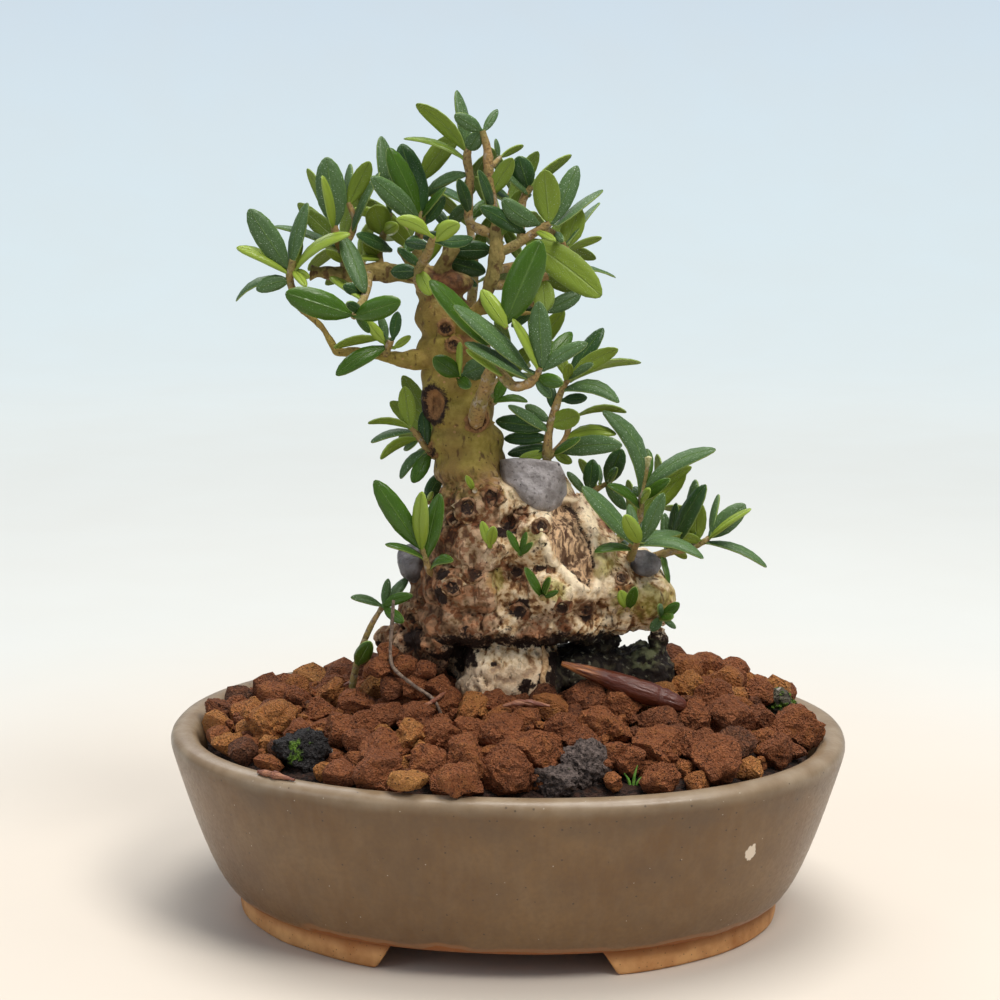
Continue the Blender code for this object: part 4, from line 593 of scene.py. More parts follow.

# %% [markdown]
# Baked clay is matt and open-pored. The tone number gives every granule its own brown, a fine mottle and
# pores break it up, and a strong fine relief makes the crumb. The raised crumb is lighter and glossier,
# partly a painted highlight, and the sunk pores are darkened, partly as painted shade. The fill stands for
# the same clay, nearly black as painted shade.

# %% Clay finish
CLAY, tree, shader = new_material("baked_clay")
where = place_of(tree)
tone = add(tree, "ShaderNodeAttribute", attribute_name="tone").outputs["Fac"]
grain = mottle(tree, where, 0.55, 0.3, 0.7, 8.0)
crumb = mottle(tree, where, 2.2, 0.34, 0.68, 6.0)
ramp = add(tree, "ShaderNodeValToRGB", {"Fac": maths(tree, "ADD", tone, maths(tree, "MULTIPLY", maths(tree, "SUBTRACT", grain, 0.5), 0.26))})
stops = ramp.color_ramp.elements
stops[0].position, stops[0].color = 0.0, (0.040, 0.022, 0.015, 1)
stops[1].position, stops[1].color = 1.0, (0.60, 0.27, 0.07, 1)
for at, colour in ((0.25, (0.15, 0.045, 0.018, 1)), (0.5, (0.30, 0.090, 0.029, 1)), (0.75, (0.46, 0.165, 0.040, 1))):
    stops.new(at).color = colour
# Partly painted highlight: the crumb that the relief raises is mixed lighter.
colour = mixed(tree, maths(tree, "MULTIPLY", crumb, 0.42), ramp.outputs["Color"], (0.50, 0.20, 0.085))
# Partly painted shade: the pores and pits that the relief sinks are darkened.
pores = maths(tree, "MAXIMUM", dots(tree, where, 1.1, 0.20, 0.4), maths(tree, "MULTIPLY", mottle(tree, where, 1.5, 0.60, 0.70, 5.0), 0.9))
colour = mixed(tree, maths(tree, "MULTIPLY", pores, 0.8), colour, (0.030, 0.012, 0.008))
tree.links.new(colour, shader.inputs["Base Color"])
tree.links.new(maths(tree, "SUBTRACT", 0.86, maths(tree, "MULTIPLY", crumb, 0.22)), shader.inputs["Roughness"])
shader.inputs["Specular IOR Level"].default_value = 0.25
relief = maths(tree, "SUBTRACT", maths(tree, "ADD", grain, maths(tree, "MULTIPLY", crumb, 0.6)), pores)
bumped(tree, shader, relief, 1.1)
granules.data.materials.append(CLAY)

# Painted shade: the fill is near black so that the gaps between the granules read as shadow.
SHADOW_FILL, tree, shader = new_material("shadow_fill")
where = place_of(tree)
tree.links.new(mixed(tree, mottle(tree, where, 0.8), (0.012, 0.006, 0.004), (0.055, 0.022, 0.012)), shader.inputs["Base Color"])
shader.inputs["Roughness"].default_value = 1.0
bumped(tree, shader, mottle(tree, where, 1.4, 0.2, 0.8, 8.0), 1.0)
fill.data.materials.append(SHADOW_FILL)
print("clay finished")

# %% [markdown]
# Two black lumps of cinder with moss and two grey porous ones lie among the granules. They are the same
# crumb as a granule, only finer, so that holes can be pressed into them.

# %% Cinders
LUMPS = {
    "mossy_cinder_left": (4.8, 6.0), "grey_cinder_front": (4.2, 5.0),
    "grey_cinder_small": (3.6, 4.0), "mossy_cinder_right": (3.6, 3.2),
}


def cinder(name, heart, half, tall, rng):
    """A holed lump of cinder; sizes in millimetres."""
    bm = bmesh.new()
    tones = bm.verts.layers.float.new("tone")
    granule(bm, tones, Vector(), 1.0, rng, 5, 0.1)
    shift = Vector((rng.uniform(0, 50), rng.uniform(0, 50), 0))
    for vert in bm.verts:
        way = vert.co / MM
        hole = noise.noise(way * 4.5 - shift)
        way *= 1.04 + 0.10 * noise.noise(way * 3.0 + shift) - 0.45 * max(0.0, hole - 0.15)
        vert.co = heart + Vector((way.x * half, way.y * half * 0.9, way.z * tall)) * MM
    return piece(name, bm)


rng = Random(8)
cinders = {}
for (name, (half, tall)), heart in zip(LUMPS.items(), hearts):
    cinders[name] = cinder(name + "_lump", heart * MM, half, tall, rng)
    stands_for(cinders[name], "mossy_cinder" if "mossy" in name else "grey_cinder", name)

# %% [markdown]
# The black cinder glistens a little and carries patches of bright moss; the grey one is
# dull with dark holes. Both are one recipe: a base, holes, and a moss mask made from a mottle.

# %% Cinder finishes


def cinder_finish(name, dark, pale, moss_low, roughness):
    """A holed stone with moss where the mottle is above moss_low."""
    material, tree, shader = new_material(name)
    where = place_of(tree)
    crumb = mottle(tree, where, 1.2, 0.3, 0.7, 6.0)
    pits = mottle(tree, where, 1.0, 0.58, 0.70, 3.0)
    colour = mixed(tree, crumb, dark, pale)
    # Partly painted shade: the pits that the relief sinks are darkened.
    colour = mixed(tree, maths(tree, "MULTIPLY", pits, 0.85), colour, (0.010, 0.007, 0.006))
    colour = mixed(tree, dots(tree, where, 0.30, 0.16, 0.12), colour, (0.5, 0.46, 0.4))
    patch = mottle(tree, where, 0.30, moss_low, moss_low + 0.06, 5.0)
    tuft = mottle(tree, where, 2.6, 0.3, 0.7, 3.0)
    moss = mixed(tree, tuft, (0.03, 0.07, 0.008), (0.24, 0.42, 0.04))
    tree.links.new(mixed(tree, patch, colour, moss), shader.inputs["Base Color"])
    shader.inputs["Roughness"].default_value = roughness
    shader.inputs["Specular IOR Level"].default_value = 0.3
    height = maths(tree, "ADD", maths(tree, "SUBTRACT", crumb, pits), maths(tree, "MULTIPLY", patch, maths(tree, "ADD", tuft, 0.6)))
    bumped(tree, shader, height, 0.7)
    return material


BLACK_CINDER = cinder_finish("black_cinder", (0.006, 0.005, 0.005), (0.034, 0.028, 0.026), 0.60, 0.5)
GREY_CINDER = cinder_finish("grey_cinder", (0.040, 0.028, 0.024), (0.19, 0.14, 0.12), 0.72, 0.8)
MOSSY_GREY = cinder_finish("mossy_grey", (0.06, 0.05, 0.038), (0.15, 0.13, 0.085), 0.54, 0.9)
for name, made in cinders.items():
    made.data.materials.append({"mossy_cinder_left": BLACK_CINDER, "mossy_cinder_right": MOSSY_GREY}.get(name, GREY_CINDER))

# %% [markdown]
# Two granules have rolled onto the rim in front, a pale ochre one and a brown one. Each sits on the glaze
# where its solid does, so its place and size are read from the solid's box.

# %% Granules on the rim
for name, tone in (("rim_granule_pale", 0.97), ("rim_granule_brown", 0.55)):
    low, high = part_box(name)
    heart, half = (low + high) / 2, (high - low) / 2 / MM
    bm = bmesh.new()
    tones = bm.verts.layers.float.new("tone")
    granule(bm, tones, Vector(), 1000.0, Random(int(tone * 100)), 4, tone)
    reach = [max(abs(v.co[axis]) for v in bm.verts) for axis in range(3)]
    for vert in bm.verts:
        vert.co = heart + Vector(vert.co[axis] / reach[axis] * half[axis] * MM for axis in range(3))
        vert[tones] = tone
    crumb = piece(name.replace("rim_granule", "crumb_on_rim"), bm, CLAY)
    stands_for(crumb, "ochre_granule" if "pale" in name else "clay_granules", name)

# %% [markdown]
# A shed bud husk, a thin dry stalk that leans on the roots, and slivers of bark lie on the granules. They
# are swept along the same routes as their solids, thicker in the middle than at their ends.

# %% Husk, stalk and slivers
HUSK_ROUTE = [(12.2, 55.6, -16, 0.5), (17.0, 54.0, -16, 1.3), (22.5, 52.0, -16.5, 2.0), (28.0, 49.9, -18, 2.5),
              (34.0, 47.8, -18.5, 2.4), (38.4, 46.1, -19, 1.8), (39.8, 45.5, -19, 0.8)]
STALK_ROUTE = [(-25.0, 70.0, -14, 0.35), (-25.4, 64.0, -14.5, 0.4), (-25.8, 58.0, -15, 0.4), (-25.0, 54.4, -16, 0.4),
               (-21.0, 50.8, -18, 0.4), (-16.4, 47.4, -20, 0.4), (-14.4, 43.2, -20, 0.35)]
SLIVER_ROUTE = [(-0.8, 45.8, -24, 0.25), (4.0, 46.6, -24, 0.8), (9.6, 45.8, -24, 0.25)]
lying = {}
for name, node, route, slot, wobble in (("bud_husk", "dry_husk", HUSK_ROUTE, "husk", 0.12),
                                        ("dry_stalk_thin", "dry_stalk", STALK_ROUTE, "dry_straw", 0.3),
                                        ("bark_sliver", "bark_sliver_centre", SLIVER_ROUTE, "husk", 0.35)):
    bm = bmesh.new()
    sweep(bm, [route], 8, 16, wobble)
    lying[name] = piece(name, bm)
    stands_for(lying[name], slot, node)

# %% [markdown]
# The husk is smooth and leathery, dark red brown with faint streaks along it and a soft sheen, and its
# torn end is orange. Slivers of bark are the same skin, but pinker and duller. The stalk is pale straw.

# %% Husk and straw finishes


def leathery(name, dark, light, torn, roughness):
    """A smooth dry skin with faint streaks along it, torn open at its upper left end."""
    material, tree, shader = new_material(name)
    where = place_of(tree)
    along = add(tree, "ShaderNodeVectorRotate", {"Vector": where, "Angle": radians(-17)}, rotation_type="Y_AXIS").outputs[0]
    along = add(tree, "ShaderNodeVectorMath", {0: along, 1: (0.08, 1.0, 1.0)}, operation="MULTIPLY").outputs[0]
    streak = mottle(tree, along, 1.8, 0.2, 0.8, 5.0)
    across_x = add(tree, "ShaderNodeSeparateXYZ", {0: where}).outputs["X"]
    split = maths(tree, "MULTIPLY", stepped(tree, across_x, 23.0, 17.0), mottle(tree, along, 1.4, 0.40, 0.60))
    tree.links.new(mixed(tree, split, mixed(tree, maths(tree, "ADD", maths(tree, "MULTIPLY", streak, 0.4), 0.3), dark, light), torn), shader.inputs["Base Color"])
    shader.inputs["Roughness"].default_value = roughness
    bumped(tree, shader, maths(tree, "SUBTRACT", streak, split), 0.25)
    return material


HUSK = leathery("leathery_husk", (0.030, 0.006, 0.003), (0.150, 0.028, 0.008), (0.50, 0.19, 0.06), 0.33)
SLIVER = leathery("dry_sliver", (0.10, 0.026, 0.016), (0.30, 0.10, 0.058), (0.34, 0.14, 0.07), 0.5)



def straw(name, dark, light):
    """A dry stalk: two dull browns in a fine mottle."""
    material, tree, shader = new_material(name)
    where = place_of(tree)
    tree.links.new(mixed(tree, mottle(tree, where, 1.2), dark, light), shader.inputs["Base Color"])
    shader.inputs["Roughness"].default_value = 0.75
    bumped(tree, shader, mottle(tree, where, 4.0, 0.2, 0.8), 0.08)
    return material


STRAW = straw("dry_straw", (0.11, 0.070, 0.048), (0.27, 0.19, 0.135))
PALE_STRAW = straw("pale_straw", (0.40, 0.21, 0.085), (0.66, 0.43, 0.22))
for name, made in lying.items():
    made.data.materials.append({"bud_husk": HUSK, "dry_stalk_thin": STRAW, "bark_sliver": SLIVER}[name])
print("lying pieces finished")

# %% [markdown]
# Small litter that the solid model has no part for: a second sliver of bark by the left rim, a strand of
# straw on the stump, pale bits of root, and two blades of grass by the front rim. Each lies on what is
# under it, as seen from the eye.

# %% Litter
RIM_SLIVER = [(-47.5, -42.4, 42.5, 0.4), (-43.5, -44.8, 42.7, 0.8), (-39.0, -46.8, 42.4, 0.3)]     # along the top of the rim
LITTER = [
    [(-34.0, 52.0, 0.3), (-36.0, 50.6, 0.4), (-38.4, 50.0, 0.3)],
    [(-20.5, 45.0, 0.3), (-17.0, 46.5, 0.5), (-13.5, 49.0, 0.3)],
]
bm = bmesh.new()
routes = [[(*unplace(Vector(spot) * MM), radius) for *spot, radius in RIM_SLIVER]]
for row in LITTER:
    route = []
    for across, up, radius in row:
        spot = unplace(on_soil(across, up, 5.2))
        route.append((*spot, radius))
    routes.append(route)
sweep(bm, routes, 6, 8, 0.5)
litter = piece("litter", bm, SLIVER)
stands_for(litter, "husk")

GRASS, tree, shader = new_material("grass_blade")
where = place_of(tree)
tree.links.new(mixed(tree, mottle(tree, where, 1.0), (0.10, 0.28, 0.03), (0.22, 0.42, 0.07)), shader.inputs["Base Color"])
shader.inputs["Roughness"].default_value = 0.5
bm = bmesh.new()
routes = []
for across, lean, tall in ((28.4, 0.9, 4.6), (27.6, -1.3, 2.8), (29.2, 2.2, 2.6)):
    root = unplace(on_soil(across, 27.4, -0.8))
    routes.append([(root[0], root[1], root[2], 0.35), (root[0] + lean * 0.3, root[1] + tall * 0.5, root[2], 0.3),
                   (root[0] + lean, root[1] + tall, root[2], 0.08)])
sweep(bm, routes, 6, 8)
grass = piece("grass", bm, GRASS)
stands_for(grass, "foliage")

# %% [markdown]
# The trunk is a swollen, gnarled base with a thinner stem above it, and dead limbs at the top. It is melted
# together from rounded masses: balls and swept limbs in one mesh, turned into one skin by a fine voxel
# remesh. Everything smaller, such as knots, pits and cracks, is pressed into that skin afterwards.

# %% Masses of the trunk
# The trunk's wood as rounded masses: across, up, back, then half sizes across, up and back
WOOD = [
    (-14.4, 139.0, 1.5, 5.4, 4.0, 5.6), (-13.4, 133.0, 1.0, 6.6, 6.0, 6.6), (-12.4, 126.0, 1.0, 7.0, 6.0, 7.0),
    (-11.4, 119.0, 0.5, 7.0, 6.0, 7.2), (-9.6, 112.0, 0.0, 7.2, 6.0, 7.4), (-8.8, 106.0, -0.5, 7.9, 6.0, 7.8),
    (-7.8, 100.0, -1.0, 7.6, 6.5, 8.8), (-15.2, 114.0, -1.5, 2.8, 4.4, 3.6), (-11.0, 139.6, -2.0, 4.4, 2.6, 4.0),
    (-6.0, 92.0, -2.0, 9.0, 8.0, 11.0), (-6.6, 84.0, -3.0, 10.0, 8.0, 12.5), (-7.0, 75.0, -3.0, 11.5, 8.0, 13.0),
    (-8.5, 67.0, -2.0, 11.5, 6.2, 13.0), (6.0, 93.0, -1.0, 8.6, 7.4, 9.4), (5.8, 95.0, -5.5, 7.4, 5.8, 4.8),
    (8.0, 84.0, -3.0, 11.5, 8.6, 12.5), (9.5, 74.0, -4.0, 12.5, 8.6, 14.0), (9.5, 67.2, -3.0, 12.5, 6.0, 13.0),
    (17.5, 80.0, -2.0, 7.5, 8.0, 11.0), (22.5, 74.5, -1.0, 7.8, 7.8, 10.5), (30.0, 71.0, 0.0, 6.6, 6.6, 9.0),
    (28.0, 77.2, 1.0, 4.8, 4.4, 7.6), (14.4, 87.6, 0.0, 5.4, 4.8, 8.0), (31.0, 67.0, 0.0, 5.2, 3.2, 6.5),
    (-14.5, 73.0, 1.0, 6.6, 7.0, 9.0), (-18.3, 77.0, 2.0, 3.8, 4.8, 5.5), (-18.8, 67.5, 0.0, 4.6, 5.2, 7.0),
    (-18.0, 58.0, -2.0, 5.4, 8.0, 8.0), (-25.4, 62.0, -1.0, 2.8, 1.8, 2.6), (-22.0, 56.4, -2.0, 4.2, 6.6, 6.0),
    (0.5, 57.0, -4.0, 10.5, 6.6, 9.4), (-4.0, 50.0, -5.0, 7.5, 7.0, 9.4), (6.0, 51.5, -5.0, 6.6, 7.4, 8.4),
    (16.0, 53.8, 0.0, 8.0, 6.2, 9.0), (24.0, 52.6, 2.0, 8.0, 6.2, 9.0), (31.5, 52.8, 3.0, 5.6, 6.6, 7.6),
    (33.4, 60.6, 2.0, 1.5, 4.4, 1.8), (29.4, 57.0, 3.0, 3.0, 3.2, 4.4),
    (17.0, 64.8, 0.0, 6.0, 4.0, 10.0), (25.0, 66.6, 0.0, 6.0, 3.6, 8.0),
]
# The bigger limbs that belong to the trunk: routes of across, up, back, radius
LIMBS = [
    [(-15.0, 141.2, 0, 2.2), (-23.0, 142.0, -1, 2.1), (-32.0, 142.3, -2, 2.0), (-42.4, 142.4, -3, 1.8)],
    [(-14.0, 124.0, -1, 2.2), (-21.4, 123.5, -4, 1.6), (-26.0, 124.4, -6, 1.3), (-33.0, 125.3, -7, 1.1),
     (-36.6, 125.4, -7, 1.1), (-39.4, 130.0, -6, 1.05), (-42.4, 132.8, -5, 1.0), (-44.6, 134.9, -4.6, 0.95)],
    [(-10.0, 131.0, -3, 2.2), (-5.6, 136.0, -7, 1.7), (-2.9, 142.0, -8, 1.5), (-2.2, 147.0, -8, 1.5), (-2.7, 154.4, -7, 1.3)],
    [(-14.5, 140.5, 0, 1.9), (-13.2, 145.0, -2, 1.5), (-10.8, 148.0, -3, 1.2)],
    [(-19.0, 140.5, -1, 1.5), (-20.6, 144.0, -4, 1.2), (-23.0, 147.4, -6, 1.0)],
    [(-6.4, 134.2, -6, 1.2), (0.0, 133.6, -4, 0.9), (5.4, 133.6, -2, 0.8)],
]
# Rings left by cut shoots, and the hollows in them: across, up, ring radius, ring height, hollow depth
KNOTS = [
    (-14.9, 114.2, 3.0, 0.9, 1.6), (-16.0, 103.6, 1.7, 0.6, 1.0), (-13.2, 130.4, 1.7, 0.6, 0.4), (-11.6, 126.6, 1.6, 0.5, 0.8),
    (-8.6, 90.7, 2.3, 1.3, 1.8), (-3.4, 93.2, 2.2, 0.9, 1.8), (-11.6, 88.4, 1.6, 0.8, 1.2), (-7.2, 76.4, 2.2, 0.9, 1.6),
    (2.3, 76.4, 1.7, 0.9, 1.4), (7.7, 77.0, 1.9, 0.9, 1.6), (1.2, 87.2, 2.2, 0.8, 0.6), (7.6, 86.6, 1.6, 0.7, 0.6),
    (3.0, 67.4, 2.0, 0.3, 2.2), (12.2, 68.4, 1.8, 0.4, 1.4), (17.6, 68.2, 1.8, 0.4, 1.2), (22.2, 86.6, 1.6, 0.7, 0.8),
    (25.2, 75.0, 1.4, 0.3, 1.2), (-6.6, 110.2, 2.6, 0.8, 0.2), (-12.0, 73.0, 1.8, 0.4, 1.6), (-20.8, 66.0, 1.6, 0.3, 1.0),
]
WOOD += [(-9.5, 57.0, 0.0, 5.0, 6.0, 6.0), (20.5, 60.8, 1.0, 4.6, 2.4, 5.0), (-16.0, 62.0, -3.0, 6.0, 5.0, 8.0),
         (1.0, 54.5, -6.6, 10.4, 8.4, 7.4), (2.0, 66.5, -5.0, 15.0, 5.0, 11.0), (18.0, 66.2, -3.0, 8.5, 4.2, 8.0)]     # fills between the roots
VOXEL = 0.44
bm = bmesh.new()
turn = Matrix.Rotation(POT_TURN, 4, "Z")
for across, up, back, half_across, half_up, half_back in WOOD:
    made = bmesh.ops.create_icosphere(bm, subdivisions=4, radius=MM)["verts"]
    shape = Matrix.Diagonal((half_across, half_back, half_up, 1.0))
    bmesh.ops.transform(bm, matrix=Matrix.Translation(place(across, up, back)) @ turn @ shape, verts=made)
sweep(bm, LIMBS, 8, 12, 0.25)
trunk = piece("gnarled_trunk", bm)
melt = trunk.modifiers.new("melt", "REMESH")
melt.mode = "VOXEL"
melt.voxel_size = VOXEL * MM
relax = trunk.modifiers.new("relax", "SMOOTH")
relax.factor = 0.5
relax.iterations = 12
settle(trunk)
print("trunk skin:", len(trunk.data.polygons), "faces")

# %% [markdown]
# Relief of the wood. A point of the skin is pushed along its normal by several amounts that add up: the
# broad lumps that the solid has too, knobs and pits at three sizes, cracks that wind between them, the rings
# and hollows of cut shoots, and the bared scar on the right face. The same pass stores colour masks on the
# skin. Stains are soft round places given in the picture, made ragged by the same noise.

# %% Stains
RUST = [(-9.5, 74.4, 5), (-17.0, 76.0, 6), (-15.5, 68.5, 8), (-19.5, 62.0, 7), (-7.0, 66.5, 4.5), (1.3, 87.7, 3.2), (-4.5, 87.0, 3.0),
        (-12.5, 83.0, 4.5), (12.6, 64.0, 2.4), (17.5, 68.0, 2.6), (25.6, 74.4, 2.2), (6.0, 62.8, 4.0),
        (14.5, 91.5, 2.4), (22.0, 87.0, 2.6), (-3.6, 92.6, 2.6), (2.6, 75.8, 2.0), (-18.5, 103.5, 2.6), (-12.0, 139.0, 4.5), (-9.0, 126.5, 2.2)]
GREEN = [(31.0, 58.0, 3.6), (33.0, 69.5, 4.6), (-2.8, 74.0, 3.0), (10.7, 72.1, 2.6), (5.0, 84.0, 3.0), (-9.5, 97.0, 5.0), (27.0, 70.5, 3.5), (21.5, 78.5, 3.0)]
CHAR = [(3.1, 67.9, 2.2), (-13.6, 71.5, 1.6), (-1.8, 85.3, 1.4), (10.6, 52.0, 3.2), (4.2, 50.4, 1.9), (-3.0, 55.5, 0.8), (-10.0, 58.0, 4.2), (-20.5, 61.0, 2.6),
        (20.5, 59.2, 3.4), (11.0, 56.5, 2.4), (1.0, 86.2, 1.7), (-13.0, 75.5, 1.3), (18.0, 66.8, 1.3)]
CHAR += [(across, up, 0.42 * ring) for across, up, ring, height, hollow in KNOTS[1:]]     # the hearts of the rings
BARED = [(10.6, 92.4), (8.4, 85.6), (10.4, 80.0), (14.0, 75.6), (18.2, 72.4), (19.6, 78.0), (18.2, 85.0), (15.0, 91.2)]     # outline of the scar


def stained(stains, across, up, ragged):
    """How deep a place lies in any of the stains, from 0 to 1."""
    depth = 0.0
    for stain_across, stain_up, radius in stains:
        if abs(across - stain_across) < 2 * radius and abs(up - stain_up) < 2 * radius:
            away = sqrt((across - stain_across) ** 2 + (up - stain_up) ** 2) / radius
            depth = max(depth, ease(away + 0.7 * ragged, 1.3, 0.6))
    return depth


PASTE_OUTLINE = [(-1.7, 101.6), (1.5, 102.0), (4.8, 101.9), (8.2, 101.5), (11.5, 101.1), (12.9, 98.2), (13.5, 94.1), (12.4, 91.3),
                 (9.8, 89.5), (6.2, 90.2), (3.1, 92.3), (1.5, 95.2), (-1.0, 96.5), (-1.7, 98.8)]

# %% Relief and colour masks


def inside(outline, across, up):
    """How far inside an outline a place of the picture lies; negative outside, in millimetres."""
    here = Vector((across, up))
    within, best = False, 99.0
    for i, corner in enumerate(outline):
        a, b = Vector(corner), Vector(outline[i - 1])
        run = b - a
        t = min(max((here - a).dot(run) / run.length_squared, 0.0), 1.0)
        best = min(best, (here - a - run * t).length)
        if (a.y > up) != (b.y > up) and across < a.x + (up - a.y) / (b.y - a.y) * (b.x - a.x):
            within = not within
    return best if within else -best


def ease(value, low, high):
    """0 at low, 1 at high, smooth between; the other way round where low is above high."""
    t = min(max((value - low) / (high - low), 0.0), 1.0)
    return t * t * (3 - 2 * t)


OVAL_SCAR = (-15.3, 113.8, 2.6, 4.2)
bm = bmesh.new()
bm.from_mesh(trunk.data)
bm.normal_update()
masks = bm.verts.layers.float_color.new("wood")
rises = bm.verts.layers.float_color.new("relief")
moves = []
for vert in bm.verts:
    across, up, back = unplace(vert.co)
    here = vert.co / MM
    front = vert.normal.dot((eye - vert.co).normalized())
    lumps = 0.9 * noise.noise(vert.co * 120) + 0.5 * noise.noise(vert.co * 290)
    if up < 62:
        lumps *= 0.6
    base = ease(up, 102, 95)
    roots = ease(up, 64, 60) * max(ease(across, 9, 13), ease(across, -11, -14))
    bent = here + noise.noise_vector(here * 0.13) * 4.0
    ragged = noise.noise(here * 0.42 + Vector((0, 8, 2))) + 0.5 * noise.noise(here * 1.1)
    left = ease(across + 3 * ragged, 1, -7)
    flow = Vector((bent.x * 0.42, bent.y * 0.42, bent.z * 0.12))
    swell = noise.noise(bent * 0.14 + Vector((5, 5, 5)))
    knobs = 0.34 * noise.noise(bent * 0.34) + 0.16 * noise.noise(here * 0.9) + 0.12 * noise.noise(here * 2.0)
    crack = max(0.0, 1 - abs(noise.noise(flow * 0.8 + Vector((3, 1, 7)))) / 0.05)
    crack *= ease(noise.noise(here * 0.10 + Vector((2, 2, 9))), -0.20, 0.06)
    crumbs = ease(up, 68, 62) * ease(up, 56, 60) * (0.7 * noise.noise(here * 0.55) + 0.4 * noise.noise(here * 1.3))
    rise = base * (0.5 * swell + (0.2 + 0.5 * left) * noise.noise(flow) + knobs - 0.7 * crack) + (1 - base) * (0.3 * knobs - 0.10 * crack)
    rise += roots * (1.1 * noise.noise(here * 0.30) + 0.5 * noise.noise(here * 0.85)) + crumbs
    shred = noise.noise(bent * 0.26 + Vector((7, 7, 1))) + 0.5 * noise.noise(here * 0.7) + 0.3 * noise.noise(here * 1.6) + 0.75 * left - 0.34
    shred += 0.25 * ease(up, 72, 64) - 0.4 * ease(across, 8, 14) - 2 * ease(up, 61, 59)
    flake = ease(shred, -0.03, 0.06) * base
    push = lumps + rise + base * swell * 0.4 + 0.5 * flake
    # Painted shade: faces turned down near the soil, a band along the soil line, the cracks and the edges of lifted
    # flakes go into the black mask with the char stains.
    under = ease(vert.normal.z, -0.15, -0.6) * ease(up, 64.5, 60.5)
    belt = ease(abs(up - 60.8 - 1.5 * ragged), 2.6, 0.8) * ease(across, -16, -13)
    char_and_shade = max(0.6 * crack * base, 0.9 * under, 0.85 * belt, 0.6 * exp(-((shred + 0.04) / 0.05) ** 2) * base)
    rust = green = scar = 0.0
    if front > -0.1:
        rust = max(stained(RUST, across, up, ragged), 0.75 * flake, 0.6 * left * base)
        green = stained(GREEN, across, up, ragged)
        char_and_shade = max(char_and_shade, stained(CHAR, across, up, ragged))
        away = sqrt(((across - OVAL_SCAR[0]) / OVAL_SCAR[2]) ** 2 + ((up - OVAL_SCAR[1]) / OVAL_SCAR[3]) ** 2)
        if away < 2.5:
            push += 0.9 * exp(-((away - 1) / 0.3) ** 2) - 1.2 * exp(-(away / 0.7) ** 2)
            char_and_shade = max(char_and_shade, exp(-((away - 0.95) / 0.22) ** 2) * 0.9)
            rust = max(rust, ease(away, 1.1, 0.8))
        depth = inside(BARED, across, up) if 5 < across < 22 and 72 < up < 96 else -9.0
        scar = ease(depth + 0.4 * ragged, -0.5, 0.9)
        lip = exp(-((depth + 1.0) / 0.9) ** 2)
        push += 0.7 * lip
        rise += 0.5 * lip
        rust *= 1 - 0.9 * lip
        if scar > 0:
            groove = noise.noise(Vector((bent.x * 0.9, bent.y * 0.9, bent.z * 0.13))) + 0.5 * noise.noise(Vector((bent.x * 2.0, bent.y * 2.0, bent.z * 0.3)))
            push += scar * (0.55 * groove - 1.0 - 0.7 * rise)
            rise = rise * (1 - scar) + groove * scar
            rust *= 1 - scar
            char_and_shade = char_and_shade * (1 - scar) + 1.0 * exp(-((depth - 0.4) / 0.40) ** 2) * scar * ease(across, 10, 14)
    stump = ease(up, 62, 60) * ease(across, -13, -11) * ease(across, 11.5, 9.5)
    rust *= 1 - 0.8 * stump
    moss = ease(up, 63.5, 59.5) * ease(across + 1.5 * ragged, 9.5, 12.5)
    rust = max(rust, 0.9 * ease(up, 62, 58) * ease(across, -11, -13))
    if across < -11 and up < 63:
        char_and_shade = max(char_and_shade, 0.45 * ease(up, 63, 58))
    if -4 < across < 16 and 87 < up < 104 and front > 0:
        under_paste = ease(inside(PASTE_OUTLINE, across, up), -1.2, 0.6)
        push += under_paste * (-0.75 - 0.85 * push)
    vert[masks] = (min(char_and_shade, 1.0), scar, min(moss, 1.0), 1.0)
    vert[rises] = (min(max(0.5 + 0.5 * rise, 0.0), 1.0), min(rust, 1.0), min(green, 1.0), 1.0)
    moves.append(vert.normal * push * MM)
for vert, move in zip(bm.verts, moves):
    vert.co += move
cut = bmesh.ops.bisect_plane(bm, geom=bm.verts[:] + bm.edges[:] + bm.faces[:], plane_co=(0, 0, 44.6 * MM),
                             plane_no=(0, 0, 1), clear_inner=True)
bmesh.ops.contextual_create(bm, geom=[e for e in cut["geom_cut"] if isinstance(e, bmesh.types.BMEdge)])
bm.to_mesh(trunk.data)
bm.free()

# %% [markdown]
# Where a shoot was cut off, the bark has closed round it in a ring with dark dry wood in the middle. Each
# is a small turned dish, dropped onto the wood along the sight line and made uneven.

